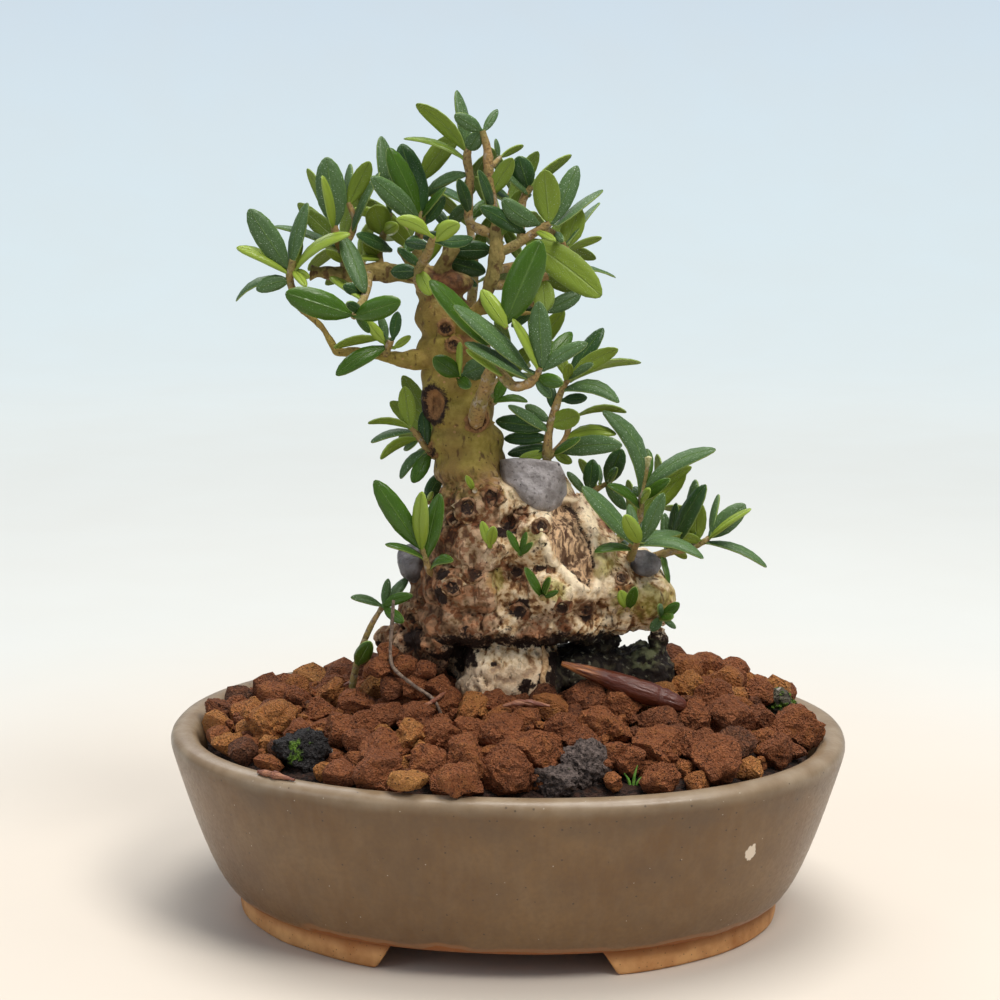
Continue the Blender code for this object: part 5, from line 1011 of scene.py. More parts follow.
# %% Rings round cut shoots
DISH = [(0.0, 0.12), (0.3, 0.14), (0.58, 0.04), (0.70, 0.22), (0.84, 0.42), (1.04, 0.38), (1.24, 0.0), (1.5, -0.7)]
skin = BVHTree.FromObject(trunk, bpy.context.evaluated_depsgraph_get())
bm = bmesh.new()
bm.from_mesh(trunk.data)
masks, rises = (bm.verts.layers.float_color[name] for name in ("wood", "relief"))
for across, up, ring, height, hollow in KNOTS[1:]:
    spot, normal, face, away = skin.ray_cast(eye, (place(across, up, 0) - eye).normalized())
    first = len(bm.verts)
    rim = [bm.verts.new((r, 0, z)) for r, z in DISH]
    edges = [bm.edges.new(pair) for pair in zip(rim, rim[1:])]
    bmesh.ops.spin(bm, geom=rim + edges, cent=(0, 0, 0), axis=(0, 0, 1), angle=2 * pi, steps=22, dvec=(0, 0, 0),
                   use_merge=True, use_duplicate=False)
    bm.verts.ensure_lookup_table()
    turned = (normal + (eye - spot).normalized() * 0.6).normalized().to_track_quat("Z", "Y").to_matrix()
    for vert in bm.verts[first:]:
        out, high = vert.co.xy.length, vert.co.z
        rough = noise.noise(vert.co * 1.6 + spot * 900)
        vert[masks] = (0.66 * ease(out, 0.98, 0.72) + 0.35 * ease(out, 1.1, 1.3) * ease(out, 1.5, 1.3), 0.0, 0.0, 1.0)
        vert[rises] = (0.30 + 0.5 * rough + 0.6 * max(0.0, high - 0.1), 0.95 * ease(out, 1.5, 1.1), 0.0, 1.0)
        shape = Vector((vert.co.x * (1 + 0.45 * rough), vert.co.y * (1 - 0.25 * rough), high * (0.4 + height * 0.45) + 0.22 * rough))
        vert.co = spot + turned @ shape * ring * 0.92 * MM
bmesh.ops.remove_doubles(bm, verts=bm.verts[:], dist=1e-7)
bmesh.ops.recalc_face_normals(bm, faces=bm.faces)
bm.to_mesh(trunk.data)
bm.free()
trunk.data.shade_smooth()
stands_for(trunk, "bark", "trunk")

# %% [markdown]
# Bark finish. The base is bone-pale where the wood stands up and tan to brown where it lies back, partly a
# painted highlight on the raised wood and painted shade in its hollows. Rust and black stains lie over that,
# and the black also holds painted shade under the wood near the soil and in its cracks. The stem above
# about 100 mm is olive and smoother, the dead top is reddish, and the roots at the right are black with moss.
# A fine mottle and thin fissures fill the scale that the mesh can't hold.

# %% Bark
BARK, tree, shader = new_material("olive_bark")
where = place_of(tree)
paint = add(tree, "ShaderNodeSeparateColor", {0: add(tree, "ShaderNodeAttribute", attribute_name="wood").outputs["Color"]}).outputs
char_and_shade, scar, moss = paint[0], paint[1], paint[2]
paint = add(tree, "ShaderNodeSeparateColor", {0: add(tree, "ShaderNodeAttribute", attribute_name="relief").outputs["Color"]}).outputs
rise, rust, green = paint[0], paint[1], paint[2]
height = add(tree, "ShaderNodeSeparateXYZ", {0: where}).outputs["Z"]
blotch = mottle(tree, where, 0.16, 0.38, 0.62, 5.0)
fleck = mottle(tree, where, 0.75, 0.36, 0.66, 6.0)
fine = mottle(tree, where, 2.4, 0.3, 0.7, 6.0)
lengthwise = add(tree, "ShaderNodeVectorMath", {0: where, 1: (1.0, 1.0, 0.25)}, operation="MULTIPLY").outputs[0]
fissure = mottle(tree, lengthwise, 0.9, 0.60, 0.68, 6.0)
# Partly painted highlight and shade: the colour follows the relief, pale where the wood rises and dark where it sinks.
level = maths(tree, "ADD", rise, maths(tree, "MULTIPLY", maths(tree, "SUBTRACT", fleck, 0.5), 0.34))
ramp = add(tree, "ShaderNodeValToRGB", {"Fac": level})
stops = ramp.color_ramp.elements
stops[0].position, stops[0].color = 0.16, (0.09, 0.032, 0.012, 1)
stops[1].position, stops[1].color = 0.68, (0.96, 0.78, 0.54, 1)
for at, colour in ((0.27, (0.22, 0.090, 0.035, 1)), (0.36, (0.50, 0.29, 0.130, 1)), (0.45, (0.76, 0.55, 0.32, 1))):
    stops.new(at).color = colour
pale = mixed(tree, maths(tree, "MULTIPLY", blotch, 0.10), ramp.outputs["Color"], (0.42, 0.28, 0.125))
pale = mixed(tree, maths(tree, "MULTIPLY", stepped(tree, height, 60.0, 57.0), 0.5), pale, (0.80, 0.58, 0.38))
pale = mixed(tree, maths(tree, "MULTIPLY", green, 0.7), pale, mixed(tree, fleck, (0.24, 0.20, 0.03), (0.50, 0.42, 0.09)))
rusty = mixed(tree, stepped(tree, level, 0.3, 0.9), (0.036, 0.010, 0.003), (0.39, 0.128, 0.033))
pale = mixed(tree, maths(tree, "MULTIPLY", rust, 0.85), pale, rusty)
shards = maths(tree, "MULTIPLY", mottle(tree, where, 0.55, 0.54, 0.57, 9.0), maths(tree, "ADD", 0.24, maths(tree, "MULTIPLY", rust, 0.6)))
pale = mixed(tree, shards, pale, mixed(tree, fine, (0.085, 0.022, 0.008), (0.27, 0.095, 0.032)))
olive = mixed(tree, fleck, (0.265, 0.195, 0.033), (0.37, 0.28, 0.066))
olive = mixed(tree, maths(tree, "MULTIPLY", blotch, 0.6), olive, (0.22, 0.125, 0.040))
olive = mixed(tree, maths(tree, "MULTIPLY", dots(tree, where, 0.55, 0.16, 0.4), 0.7), olive, (0.45, 0.24, 0.10))
olive = mixed(tree, maths(tree, "MULTIPLY", dots(tree, where, 0.8, 0.14, 0.3), 0.8), olive, (0.06, 0.03, 0.015))
olive = mixed(tree, maths(tree, "MULTIPLY", rust, 0.9), olive, mixed(tree, fleck, (0.17, 0.07, 0.03), (0.36, 0.17, 0.07)))
wavy = maths(tree, "ADD", height, maths(tree, "MULTIPLY", fleck, 5.0))
colour = mixed(tree, stepped(tree, wavy, 97.0, 104.0), pale, olive)
limb = mixed(tree, fleck, (0.22, 0.155, 0.042), (0.40, 0.29, 0.105))
limb = mixed(tree, maths(tree, "MULTIPLY", blotch, 0.6), limb, (0.20, 0.165, 0.045))
limb = mixed(tree, maths(tree, "MULTIPLY", mottle(tree, where, 0.6, 0.55, 0.62, 6.0), 0.8), limb, (0.085, 0.035, 0.015))
limb = mixed(tree, maths(tree, "MULTIPLY", rust, 0.9), limb, mixed(tree, fleck, (0.06, 0.020, 0.010), (0.19, 0.070, 0.030)))
colour = mixed(tree, stepped(tree, wavy, 138.0, 141.5), colour, limb)
colour = mixed(tree, maths(tree, "MULTIPLY", fissure, 0.75), colour, (0.10, 0.045, 0.02))
streaky = add(tree, "ShaderNodeVectorMath", {0: where, 1: (1.0, 1.0, 0.10)}, operation="MULTIPLY").outputs[0]
streaky = add(tree, "ShaderNodeVectorMath", {0: streaky, 1: maths(tree, "MULTIPLY", blotch, 0.8)}, operation="ADD").outputs[0]
grain = mottle(tree, streaky, 1.1, 0.45, 0.58, 4.0)
bared = mixed(tree, maths(tree, "ADD", maths(tree, "MULTIPLY", grain, 0.75), maths(tree, "MULTIPLY", rise, 0.28)), (0.050, 0.014, 0.006), (0.74, 0.48, 0.27))
colour = mixed(tree, scar, colour, bared)
broken = maths(tree, "MULTIPLY", maths(tree, "SUBTRACT", maths(tree, "ADD", fine, fleck), 1.0), 0.5)
# The black mask: char stains, and painted shade under the wood, along the soil line and in the cracks.
colour = mixed(tree, stepped(tree, maths(tree, "ADD", char_and_shade, broken), 0.25, 0.80), colour, (0.022, 0.010, 0.006))
black = mixed(tree, mottle(tree, where, 0.5, 0.50, 0.60, 6.0), (0.016, 0.010, 0.007), (0.055, 0.044, 0.024))
black = mixed(tree, mottle(tree, where, 0.9, 0.60, 0.68, 6.0), black, (0.24, 0.22, 0.15))
black = mixed(tree, maths(tree, "MULTIPLY", green, mottle(tree, where, 0.5, 0.42, 0.55, 5.0)), black, (0.17, 0.175, 0.085))
colour = mixed(tree, stepped(tree, maths(tree, "ADD", moss, maths(tree, "MULTIPLY", maths(tree, "SUBTRACT", blotch, 0.5), 0.4)), 0.4, 0.6), colour, black)
tree.links.new(colour, shader.inputs["Base Color"])
tree.links.new(maths(tree, "ADD", maths(tree, "MULTIPLY", fleck, 0.2), 0.62), shader.inputs["Roughness"])
shader.inputs["Specular IOR Level"].default_value = 0.25
relief = maths(tree, "SUBTRACT", maths(tree, "ADD", maths(tree, "MULTIPLY", fleck, 0.6), maths(tree, "MULTIPLY", fine, 0.45)), fissure)
bumped(tree, shader, relief, 0.20)
trunk.data.materials.append(BARK)
print("bark finished")

# %% [markdown]
# Three wounds are sealed with grey paste. The main one is a thin smear that follows the wood: its outline,
# as it appears from the eye, is dropped onto the trunk along the sight lines, ring inside ring, and each ring
# stands a little prouder. The two at the sides are small caps, made from balls at their solids' places.

# %% Paste finish


def paste_finish(name, dark, light):
    """Dried paste: smeared, with a few pin holes and darker patches."""
    material, tree, shader = new_material(name)
    where = place_of(tree)
    smear = mottle(tree, where, 0.4, 0.35, 0.65, 5.0)
    colour = mixed(tree, smear, dark, light)
    colour = mixed(tree, maths(tree, "MULTIPLY", mottle(tree, where, 1.1, 0.56, 0.68), 0.7), colour, (0.08, 0.058, 0.052))
    colour = mixed(tree, dots(tree, where, 0.35, 0.10, 0.35), colour, (0.03, 0.022, 0.02))
    tree.links.new(colour, shader.inputs["Base Color"])
    tree.links.new(maths(tree, "ADD", maths(tree, "MULTIPLY", smear, 0.15), 0.36), shader.inputs["Roughness"])
    bumped(tree, shader, maths(tree, "ADD", smear, maths(tree, "MULTIPLY", mottle(tree, where, 2.0, 0.2, 0.8), 0.6)), 0.25)
    return material


PASTE = paste_finish("grey_paste", (0.20, 0.172, 0.162), (0.36, 0.32, 0.308))
OLD_PASTE = paste_finish("older_paste", (0.075, 0.065, 0.065), (0.17, 0.15, 0.15))

# %% Main paste
skin = BVHTree.FromObject(trunk, bpy.context.evaluated_depsgraph_get())
middle = Vector((6.0, 96.6))
bm = bmesh.new()
rings = []
for part, proud in ((0.94, -1.6), (1.0, -0.5), (1.0, 0.5), (0.94, 1.05), (0.84, 1.3), (0.70, 1.4), (0.54, 1.5), (0.36, 1.5), (0.18, 1.5)):
    made = bmesh.ops.create_circle(bm, segments=56, radius=1.0)["verts"]
    for i, vert in enumerate(made):
        at = i / 56 * len(PASTE_OUTLINE)
        start, end = Vector(PASTE_OUTLINE[int(at)]), Vector(PASTE_OUTLINE[(int(at) + 1) % len(PASTE_OUTLINE)])
        spot = middle + (start.lerp(end, at - int(at)) - middle) * part
        target = place(spot.x, spot.y, -8.0)
        hit = skin.ray_cast(eye, (target - eye).normalized())[0] or target
        if (hit - target).length > 6 * MM:
            hit = target
        vert.co = hit + (eye - hit).normalized() * proud * MM
    rings.append(list({edge for vert in made for edge in vert.link_edges}))
loft(bm, rings)
for ring in (rings[0], rings[-1]):
    bmesh.ops.contextual_create(bm, geom=ring)
bmesh.ops.recalc_face_normals(bm, faces=bm.faces)
inner = [v for v in bm.verts if all(edge not in rings[0] and edge not in rings[1] for edge in v.link_edges)]
for step in range(10):
    bmesh.ops.smooth_vert(bm, verts=inner, factor=0.5, use_axis_x=True, use_axis_y=True, use_axis_z=True)
cap = piece("paste_cap_main", bm, PASTE)
smooth = cap.modifiers.new("smooth", "SUBSURF")
smooth.levels = smooth.render_levels = 2
stands_for(settle(cap), "wound_paste", "wound_paste_main")

# %% Side pastes
for name, (across, up, back, half_across, half_up, half_back) in {
        "wound_paste_left": (-20.4, 78.6, 1.0, 3.6, 4.2, 6.4), "wound_paste_right": (30.1, 78.2, -2.2, 3.7, 2.8, 6.0)}.items():
    bm = bmesh.new()
    made = bmesh.ops.create_icosphere(bm, subdivisions=5, radius=MM)["verts"]
    shape = Matrix.Diagonal((half_across, half_back, half_up, 1.0))
    bmesh.ops.transform(bm, matrix=Matrix.Translation(place(across, up, back)) @ turn @ shape, verts=made)
    bm.normal_update()
    for vert in bm.verts:
        vert.co += vert.normal * (0.9 * noise.noise(vert.co / MM * 0.22) + 0.3 * noise.noise(vert.co / MM * 0.6)) * MM
    cap = piece(name.replace("wound_paste", "paste_cap"), bm, OLD_PASTE)
    stands_for(cap, "wound_paste", name)

# %% Straw on the stump
bm = bmesh.new()
route = []
for across, up, radius in ((8.0, 59.6, 0.3), (8.6, 55.4, 0.75), (8.0, 52.0, 0.6), (8.8, 47.4, 0.4)):
    hit = skin.ray_cast(eye, (place(across, up, 0) - eye).normalized())[0]
    route.append((*unplace(hit + (eye - hit).normalized() * 0.4 * MM), radius))
sweep(bm, [route], 6, 8, 0.3)
stands_for(piece("straw_strand", bm, PALE_STRAW), "dry_straw")

# %% [markdown]
# The leaves. An olive leaf is a narrow leathery blade on a short stalk: dark and shiny above, paler below,
# with a pale midrib in a fold and edges that roll under. One leaf is modelled flat from a grid, and every
# leaf of the tree is a bent copy of it. Copies keep the grid's UV map, so the midrib runs along each one.

# %% One flat leaf
STATIONS = (-0.5, 0.0, 0.07, 0.19, 0.35, 0.54, 0.72, 0.87, 0.965, 1.0)     # along the leaf; the first is its root
HALVES = (0.0, 0.13, 0.38, 0.70, 0.95, 1.0, 0.91, 0.67, 0.34, 0.10)     # half widths there, of the widest

bm = bmesh.new()
uv = bm.loops.layers.uv.new("leaf")
bmesh.ops.create_grid(bm, x_segments=9, y_segments=4, size=1.0, calc_uvs=True)
for vert in bm.verts:
    vert.co = Vector((round((vert.co.x + 1) / 2 * 9), round((vert.co.y + 1) / 2 * 4) - 2, 0))
skin = bmesh.ops.solidify(bm, geom=bm.faces[:], thickness=1.0)
bm.normal_update()
top = max(face.calc_center_median().z for face in bm.faces)
low = min(face.calc_center_median().z for face in bm.faces)
for face in bm.faces:
    face.material_index = 0 if face.calc_center_median().z > (top + low) / 2 + 0.1 else 1
bmesh.ops.recalc_face_normals(bm, faces=bm.faces)
for vert in bm.verts:
    vert.co.z = -1.0 if vert.co.z < (top + low) / 2 else 0.0
flat_leaf = bpy.data.meshes.new("flat_leaf")
bm.to_mesh(flat_leaf)
bm.free()
print("flat leaf:", len(flat_leaf.polygons), "faces")

# %% [markdown]
# Where the leaves go. Each spray has a table of stems and of leaves as they appear from the eye. A leaf's
# row gives its base, its tip, the width that is seen, how much farther back its tip lies, and a letter for
# its look: b bloomed grey-green, g glossy green, d a darker tone painted as shade, u its underside, y young
# yellow-green.

# %% Table of sprays
SPRAYS = [
    ("spray_front_pair", [[(-5, 136, -6, 0.9), (-2, 133, -14, 0.8), (-0.2, 130.6, -20, 0.7)]], [
        (-0.3, 131.2, 7.2, 149.2, 7.2, -2, "g"),
        (0.0, 130.4, -5.5, 138.6, 3.6, 2, "y"),
    ]),
    ("spray_front_stub", [[(-7.0, 108.6, -4, 2.0), (-6.3, 112.6, -10, 1.9), (-4.6, 117.6, -13.6, 1.6), (-2.9, 121.8, -15.6, 1.4),
                           (-0.6, 119.6, -16.4, 1.2), (1.4, 117.7, -17, 1.2), (4.2, 118.0, -17.5, 1.1),
                           (6.3, 119.6, -18, 0.9), (7.2, 121.8, -18.5, 0.7)],
                          [(-2.9, 121.6, -15.4, 0.8), (-3.6, 124.0, -15, 0.7), (-4.3, 126.6, -15, 0.6)],
                          [(-0.6, 119.0, -16.2, 0.8), (-1.3, 120.2, -18, 0.6)]], [
        (-4.4, 126.6, -16.6, 140.6, 4.2, -2, "g"),
        (4.5, 121.2, -11.5, 135.2, 3.6, -4, "b"),
        (4.0, 119.5, -9.1, 127.0, 2.4, -5, "b"),
        (-1.3, 120.0, -8.8, 125.6, 1.6, -2, "y"),
        (7.6, 121.4, 6.8, 136.1, 4.8, -1, "b"),
        (6.8, 121.4, 1.2, 132.3, 2.0, -4, "y"),
        (7.8, 121.2, 17.4, 127.1, 3.1, -2, "b", 0.5),
        (6.3, 119.0, 9.6, 115.2, 2.2, -3, "b"),
        (6.8, 119.6, 12.2, 118.2, 3.0, -5, "g"),
        (7.8, 122.0, 14.0, 129.4, 3.4, 5, "g"),
    ]),
    ("spray_left_front", [[(-29.6, 142.0, -3, 1.0), (-30.3, 138.0, -9, 0.9), (-31.8, 134.8, -14, 0.9), (-33, 132.8, -17, 0.8)]], [
        (-33.4, 133.2, -47.6, 137.9, 6.0, -3, "g"),
        (-32.8, 132.8, -22.9, 136.2, 4.8, -4, "g"),
        (-31.0, 137.8, -35.2, 139.5, 2.6, -2, "d"),
        (-31.2, 136.4, -37.9, 141.4, 1.8, 3, "y"),
        (-32.6, 133.4, -29.6, 129.3, 1.8, 1, "g"),
        (-31.5, 134.0, -34.5, 135.8, 2.2, -4, "d"),
    ]),
    ("spray_front_young", [[(-18.4, 139.0, -4, 1.3), (-19.2, 142.2, -9, 1.1), (-17.2, 146.0, -14, 1.0), (-15.8, 149.8, -17, 0.8)]], [
        (-16.6, 150.4, -23.6, 153.8, 3.0, -2, "y", 0.8),
        (-15.0, 149.2, -10.2, 152.8, 3.7, -2, "y", 0.6),
        (-18.4, 143.6, -23.4, 147.6, 2.0, -1, "d"),
        (-19.0, 142.8, -16.4, 137.4, 3.2, -3, "y"),
        (-19.3, 142.6, -24.9, 142.4, 3.4, 3, "d"),
        (-16.6, 148.0, -21.8, 148.8, 2.4, 3, "d"),
        (-15.6, 149.0, -7.3, 149.6, 2.6, 5, "d", -0.6),
    ]),
    ("spray_left_tip", [[(-44.2, 134.4, -4.6, 0.9), (-45.6, 137.4, -4.6, 0.9), (-46.6, 140.4, -4.6, 0.9), (-46.4, 142.6, -5, 0.9),
                         (-45.9, 145.0, -5.4, 0.8)]], [
        (-47.2, 143.4, -55.1, 155.8, 5.4, -2, "b"),
        (-46.4, 143.6, -42.6, 157.2, 3.0, 1, "b"),
        (-46.8, 142.0, -57.9, 147.7, 2.3, -4, "y", 0.6),
        (-45.6, 142.4, -33.6, 150.6, 2.0, -3, "y", 1.6),
        (-46.8, 140.6, -53.9, 138.6, 3.5, -2, "b", 0.4),
        (-46.6, 140.0, -58.3, 136.2, 1.5, 3, "b", 2.0),
        (-45.4, 142.8, -42.4, 141.2, 1.8, -2, "y"),
        (-45.8, 142.6, -43.2, 139.2, 1.8, -4, "y"),
        (-46.0, 143.4, -44.0, 149.0, 2.0, 6, "u"),
    ]),
    ("spray_low_left", [[(-26.4, 124.2, -6, 1.0), (-25.6, 126.4, -8, 0.9), (-25.0, 127.8, -9, 0.7)]], [
        (-27.6, 128.0, -37.4, 126.1, 1.8, -2, "u", 0.4),
        (-26.2, 126.2, -37.0, 120.1, 3.6, -3, "g", 0.6),
        (-26.1, 126.8, -30.2, 132.0, 2.4, -2, "y"),
        (-25.8, 128.0, -27.4, 133.2, 1.9, -1, "b"),
        (-24.6, 127.9, -23.5, 133.9, 2.5, 1, "d"),
        (-24.4, 126.0, -20.8, 128.6, 1.7, 3, "u"),
    ]),
    ("spray_left_upper", [[(-34.6, 141.6, -2, 1.0), (-35.2, 146.0, -3, 0.9), (-36.5, 150.0, -4, 0.9), (-37.0, 152.4, -4.4, 0.8)],
                          [(-35.4, 146.6, -3.2, 0.7), (-32.6, 152.4, -1, 0.7), (-33.8, 157.2, 0, 0.6)]], [
        (-36.6, 152.2, -38.4, 166.8, 6.4, -2, "b"),
        (-37.1, 151.8, -39.4, 162.8, 1.9, -6, "y"),
        (-37.6, 153.0, -42.5, 164.4, 2.0, 3, "u"),
        (-33.7, 157.0, -29.2, 165.9, 4.0, -2, "u"),
        (-33.9, 157.0, -33.4, 165.4, 1.8, 4, "b"),
        (-35.4, 150.6, -30.6, 137.9, 4.0, -7, "b"),
        (-33.2, 150.8, -27.1, 163.6, 1.5, -2, "b"),
        (-36.2, 147.4, -49.8, 152.2, 1.2, 4, "b", 0.4),
        (-35.6, 147.0, -40.2, 148.8, 2.0, 6, "u"),
        (-35.2, 144.4, -38.6, 147.2, 1.8, -4, "u"),
    ]),
    ("spray_left_inner", [[(-26.8, 142.0, 0, 1.0), (-27.4, 146.2, 2, 0.9), (-26.4, 150.6, 3, 0.8), (-25.0, 155.0, 4, 0.7)]], [
        (-26.4, 150.4, -28.4, 156.6, 5.6, -4, "u"),
        (-25.4, 154.4, -32.8, 155.8, 2.4, 2, "y"),
        (-25.0, 155.4, -26.7, 171.2, 3.6, 3, "b"),
        (-24.8, 147.0, -32.2, 150.4, 2.8, -4, "d"),
        (-27.4, 145.8, -30.8, 148.8, 2.8, -2, "u"),
        (-27.2, 145.2, -31.6, 145.4, 1.2, -7, "y"),
        (-26.8, 144.8, -21.8, 142.6, 1.6, -4, "d"),
        (-26.2, 151.0, -23.4, 152.6, 3.0, -8, "y"),
    ]),
    ("spray_left_top", [[(-19.2, 141.4, 1, 1.2), (-19.2, 147.0, 1, 1.1), (-18.4, 153.4, -1, 1.0), (-18.0, 158.0, 2, 0.8), (-18.4, 162.0, 4, 0.7)]], [
        (-18.6, 153.8, -25.2, 168.8, 4.6, -2, "g"),
        (-18.0, 154.2, -22.4, 169.6, 6.2, -4, "d"),
        (-19.0, 153.6, -29.0, 162.6, 4.6, -9, "b"),
        (-18.4, 153.8, -13.0, 160.4, 1.4, -4, "g"),
        (-17.6, 152.6, -13.3, 158.5, 2.8, -1, "d"),
        (-18.4, 161.8, -10.4, 171.7, 4.6, -1, "u", 0.6),
        (-17.6, 158.2, -9.2, 163.4, 2.4, 1, "b", 0.8),
        (-18.9, 150.0, -21.8, 147.0, 2.8, -3, "d"),
    ]),
    ("spray_crown_inner", [[(-13.6, 140.6, 3, 1.2), (-13.0, 146.0, 3, 1.0), (-12.4, 152.6, 2, 0.8)]], [
        (-12.3, 152.6, -8.6, 156.8, 3.0, -2, "b"),
        (-13.0, 147.0, -3.4, 147.2, 4.4, 2, "d"),
        (-13.2, 144.8, -4.6, 142.4, 4.0, 4, "d"),
        (-12.5, 152.0, -15.6, 156.0, 2.4, 4, "d"),
        (-12.8, 149.6, -18.2, 150.2, 2.6, 6, "d"),
        (-13.2, 143.0, -6.4, 139.4, 2.2, 7, "d"),
    ]),
    ("spray_top_left", [[(-3.4, 150.6, -7, 1.1), (-7.8, 152.8, -5, 1.0), (-8.1, 157.5, -4, 0.95), (-7.9, 162.4, -3.5, 0.9),
                         (-8.5, 166.4, -3.5, 0.9), (-8.2, 168.6, -3.5, 0.8), (-7.4, 171.6, -4, 0.5)]], [
        (-9.0, 168.6, -19.2, 178.0, 3.4, -1, "u", 0.5),
        (-8.6, 168.6, -10.6, 180.8, 2.7, 4, "b"),
        (-9.0, 166.4, -21.9, 170.7, 1.0, 2, "s", 0.8),
        (-8.2, 163.2, -15.9, 160.4, 2.2, 2, "b", 0.6),
        (-8.0, 155.0, -10.4, 162.2, 2.6, -5, "d"),
        (-7.8, 154.0, -4.2, 157.6, 2.6, 5, "g"),
    ]),
    ("spray_top", [[(-2.9, 153.6, -7, 1.2), (-3.3, 158.6, -7, 1.1), (-3.9, 164.0, -7, 1.0), (-4.2, 168.6, -7, 0.95), (-5.3, 172.4, -7.4, 0.7)],
                   [(-3.9, 164.2, -6.8, 0.7), (-1.4, 166.8, -3, 0.5)]], [
        (-5.5, 172.4, -11.1, 175.7, 3.2, -3, "b"),
        (-5.0, 172.2, -2.0, 176.8, 1.9, 3, "b"),
        (-5.8, 172.0, -8.2, 168.4, 3.6, 2, "b"),
        (-3.6, 158.8, 1.2, 166.6, 3.7, -3, "u"),
        (-1.8, 166.6, -2.4, 170.7, 1.1, 1, "b"),
        (-1.4, 166.8, 3.5, 169.3, 1.3, 2, "u"),
        (-3.1, 155.4, -6.2, 164.0, 2.2, -7, "d"),
        (-3.0, 157.6, -2.1, 162.2, 1.4, 3, "d"),
        (-3.2, 160.0, 0.8, 157.4, 1.6, 3, "d"),
    ]),
    ("spray_crown_right", [[(-1.4, 146.6, -8, 1.1), (2.2, 148.4, -8, 1.0), (5.6, 150.6, -8, 0.9), (9.2, 152.8, -8, 0.8)],
                           [(3.0, 148.8, -7.8, 0.9), (3.1, 156.6, -5, 0.9), (5.2, 160.8, -5, 0.7)],
                           [(7.6, 151.8, -7.8, 0.8), (10.4, 150.4, -6, 0.7), (12.8, 147.4, -5, 0.6)]], [
        (9.0, 153.0, 8.0, 164.1, 5.8, -3, "u"),
        (9.8, 152.8, 15.0, 165.0, 4.3, 3, "b"),
        (10.6, 152.2, 20.4, 159.9, 1.6, 5, "b"),
        (12.7, 147.8, 15.4, 156.3, 4.9, -2, "u"),
        (13.0, 148.6, 19.7, 157.1, 1.2, 4, "b"),
        (13.0, 147.2, 20.3, 149.8, 1.5, 1, "u"),
        (10.4, 150.8, 12.0, 148.8, 1.8, -2, "b"),
        (4.0, 149.2, 20.3, 137.2, 7.2, -1, "u", 0.6),
        (4.6, 160.2, 2.4, 167.0, 4.7, -2, "d"),
        (5.4, 160.8, 13.7, 167.3, 1.9, 2, "u"),
        (5.0, 158.6, -0.9, 163.7, 1.5, -4, "b"),
        (3.8, 150.8, -5.7, 156.4, 3.6, -3, "d"),
        (6.8, 152.6, -1.0, 158.0, 4.2, -3, "b", -0.8),
        (6.2, 151.2, 10.4, 149.0, 1.5, -3, "y"),
    ]),
    ("spray_low_right", [[(-3.4, 139.6, -6, 1.1), (1.0, 139.8, -1, 1.0), (5.0, 140.5, 1, 1.0), (8.8, 141.6, 1.5, 0.95)],
                          [(2.6, 140.0, 0, 0.8), (4.4, 136.4, 2, 0.7), (8.4, 134.0, 3, 0.6)]], [
        (7.6, 141.0, 8.2, 133.8, 4.8, -4, "u"),
        (8.2, 133.8, 15.9, 137.8, 3.6, 2, "b"),
        (4.2, 137.8, 5.0, 133.2, 2.8, -2, "d"),
        (7.0, 141.0, 23.3, 141.2, 1.0, 6, "b", 1.6),
        (6.0, 134.6, 1.0, 130.6, 2.4, 2, "d"),
        (7.8, 134.0, 8.8, 127.0, 2.6, 3, "d"),
    ]),
    ("spray_front_small", [[(-10.0, 117.6, -4, 1.0), (-9.9, 120.0, -10, 0.8)]], [
        (-10.3, 120.0, -15.9, 123.9, 4.2, -2, "g"),
        (-10.6, 119.4, -7.9, 117.4, 2.6, -2, "g"),
        (-9.4, 120.2, -4.4, 122.4, 4.6, -1, "b"),
        (-10.2, 120.4, -10.1, 127.3, 1.2, -2, "y"),
    ]),
    ("spray_side_small", [[(-5.4, 113.0, -1, 0.8), (-2.6, 114.3, -4, 0.7)]], [
        (-2.4, 114.6, -0.4, 119.4, 2.6, 1, "g"),
        (-2.4, 114.2, 4.5, 114.3, 1.5, -1, "g", 0.7),
    ]),
    ("spray_mid_right", [[(8.6, 97.0, -3.4, 1.2), (8.8, 103.0, -4, 1.1), (9.3, 108.4, -4.6, 0.9), (10.8, 113.6, -4.8, 0.9),
                          (12.0, 117.0, -5, 0.8), (13.4, 119.3, -5, 0.7)],
                         [(9.0, 102.0, -4, 0.9), (12.4, 105.4, -3, 0.8), (13.8, 109.6, -2.4, 0.7), (15.7, 111.6, -2, 0.5)]], [
        (9.3, 109.4, 15.8, 111.4, 4.5, -5, "u"),
        (9.2, 107.8, 0.3, 113.4, 2.1, -3, "b"),
        (9.0, 108.6, -2.4, 110.0, 4.0, 3, "d"),
        (9.0, 106.4, -0.6, 106.1, 3.0, 1, "d"),
        (9.2, 110.0, 4.0, 113.5, 2.6, 0, "b"),
        (9.0, 104.2, 0.2, 102.8, 2.6, 4, "d"),
        (9.0, 104.4, 3.0, 104.6, 2.0, 6, "u"),
        (10.4, 112.2, 9.0, 118.8, 2.4, 3, "d"),
        (13.6, 119.5, 20.8, 130.3, 3.5, 3, "d"),
        (13.8, 119.3, 24.0, 125.8, 3.5, -2, "u", 0.6),
        (13.4, 119.2, 18.8, 122.4, 1.6, -5, "b"),
        (13.8, 118.8, 29.0, 122.8, 1.5, 3, "u", 1.2),
        (12.2, 116.8, 24.4, 114.2, 3.0, -4, "b", 2.0),
        (12.0, 114.6, 17.4, 115.2, 2.4, 2, "d"),
        (13.4, 119.4, 9.6, 127.5, 2.6, 4, "u"),
        (12.8, 118.6, 13.6, 122.6, 2.2, -4, "u"),
        (15.4, 111.2, 26.0, 112.0, 1.4, 1, "u", 1.0),
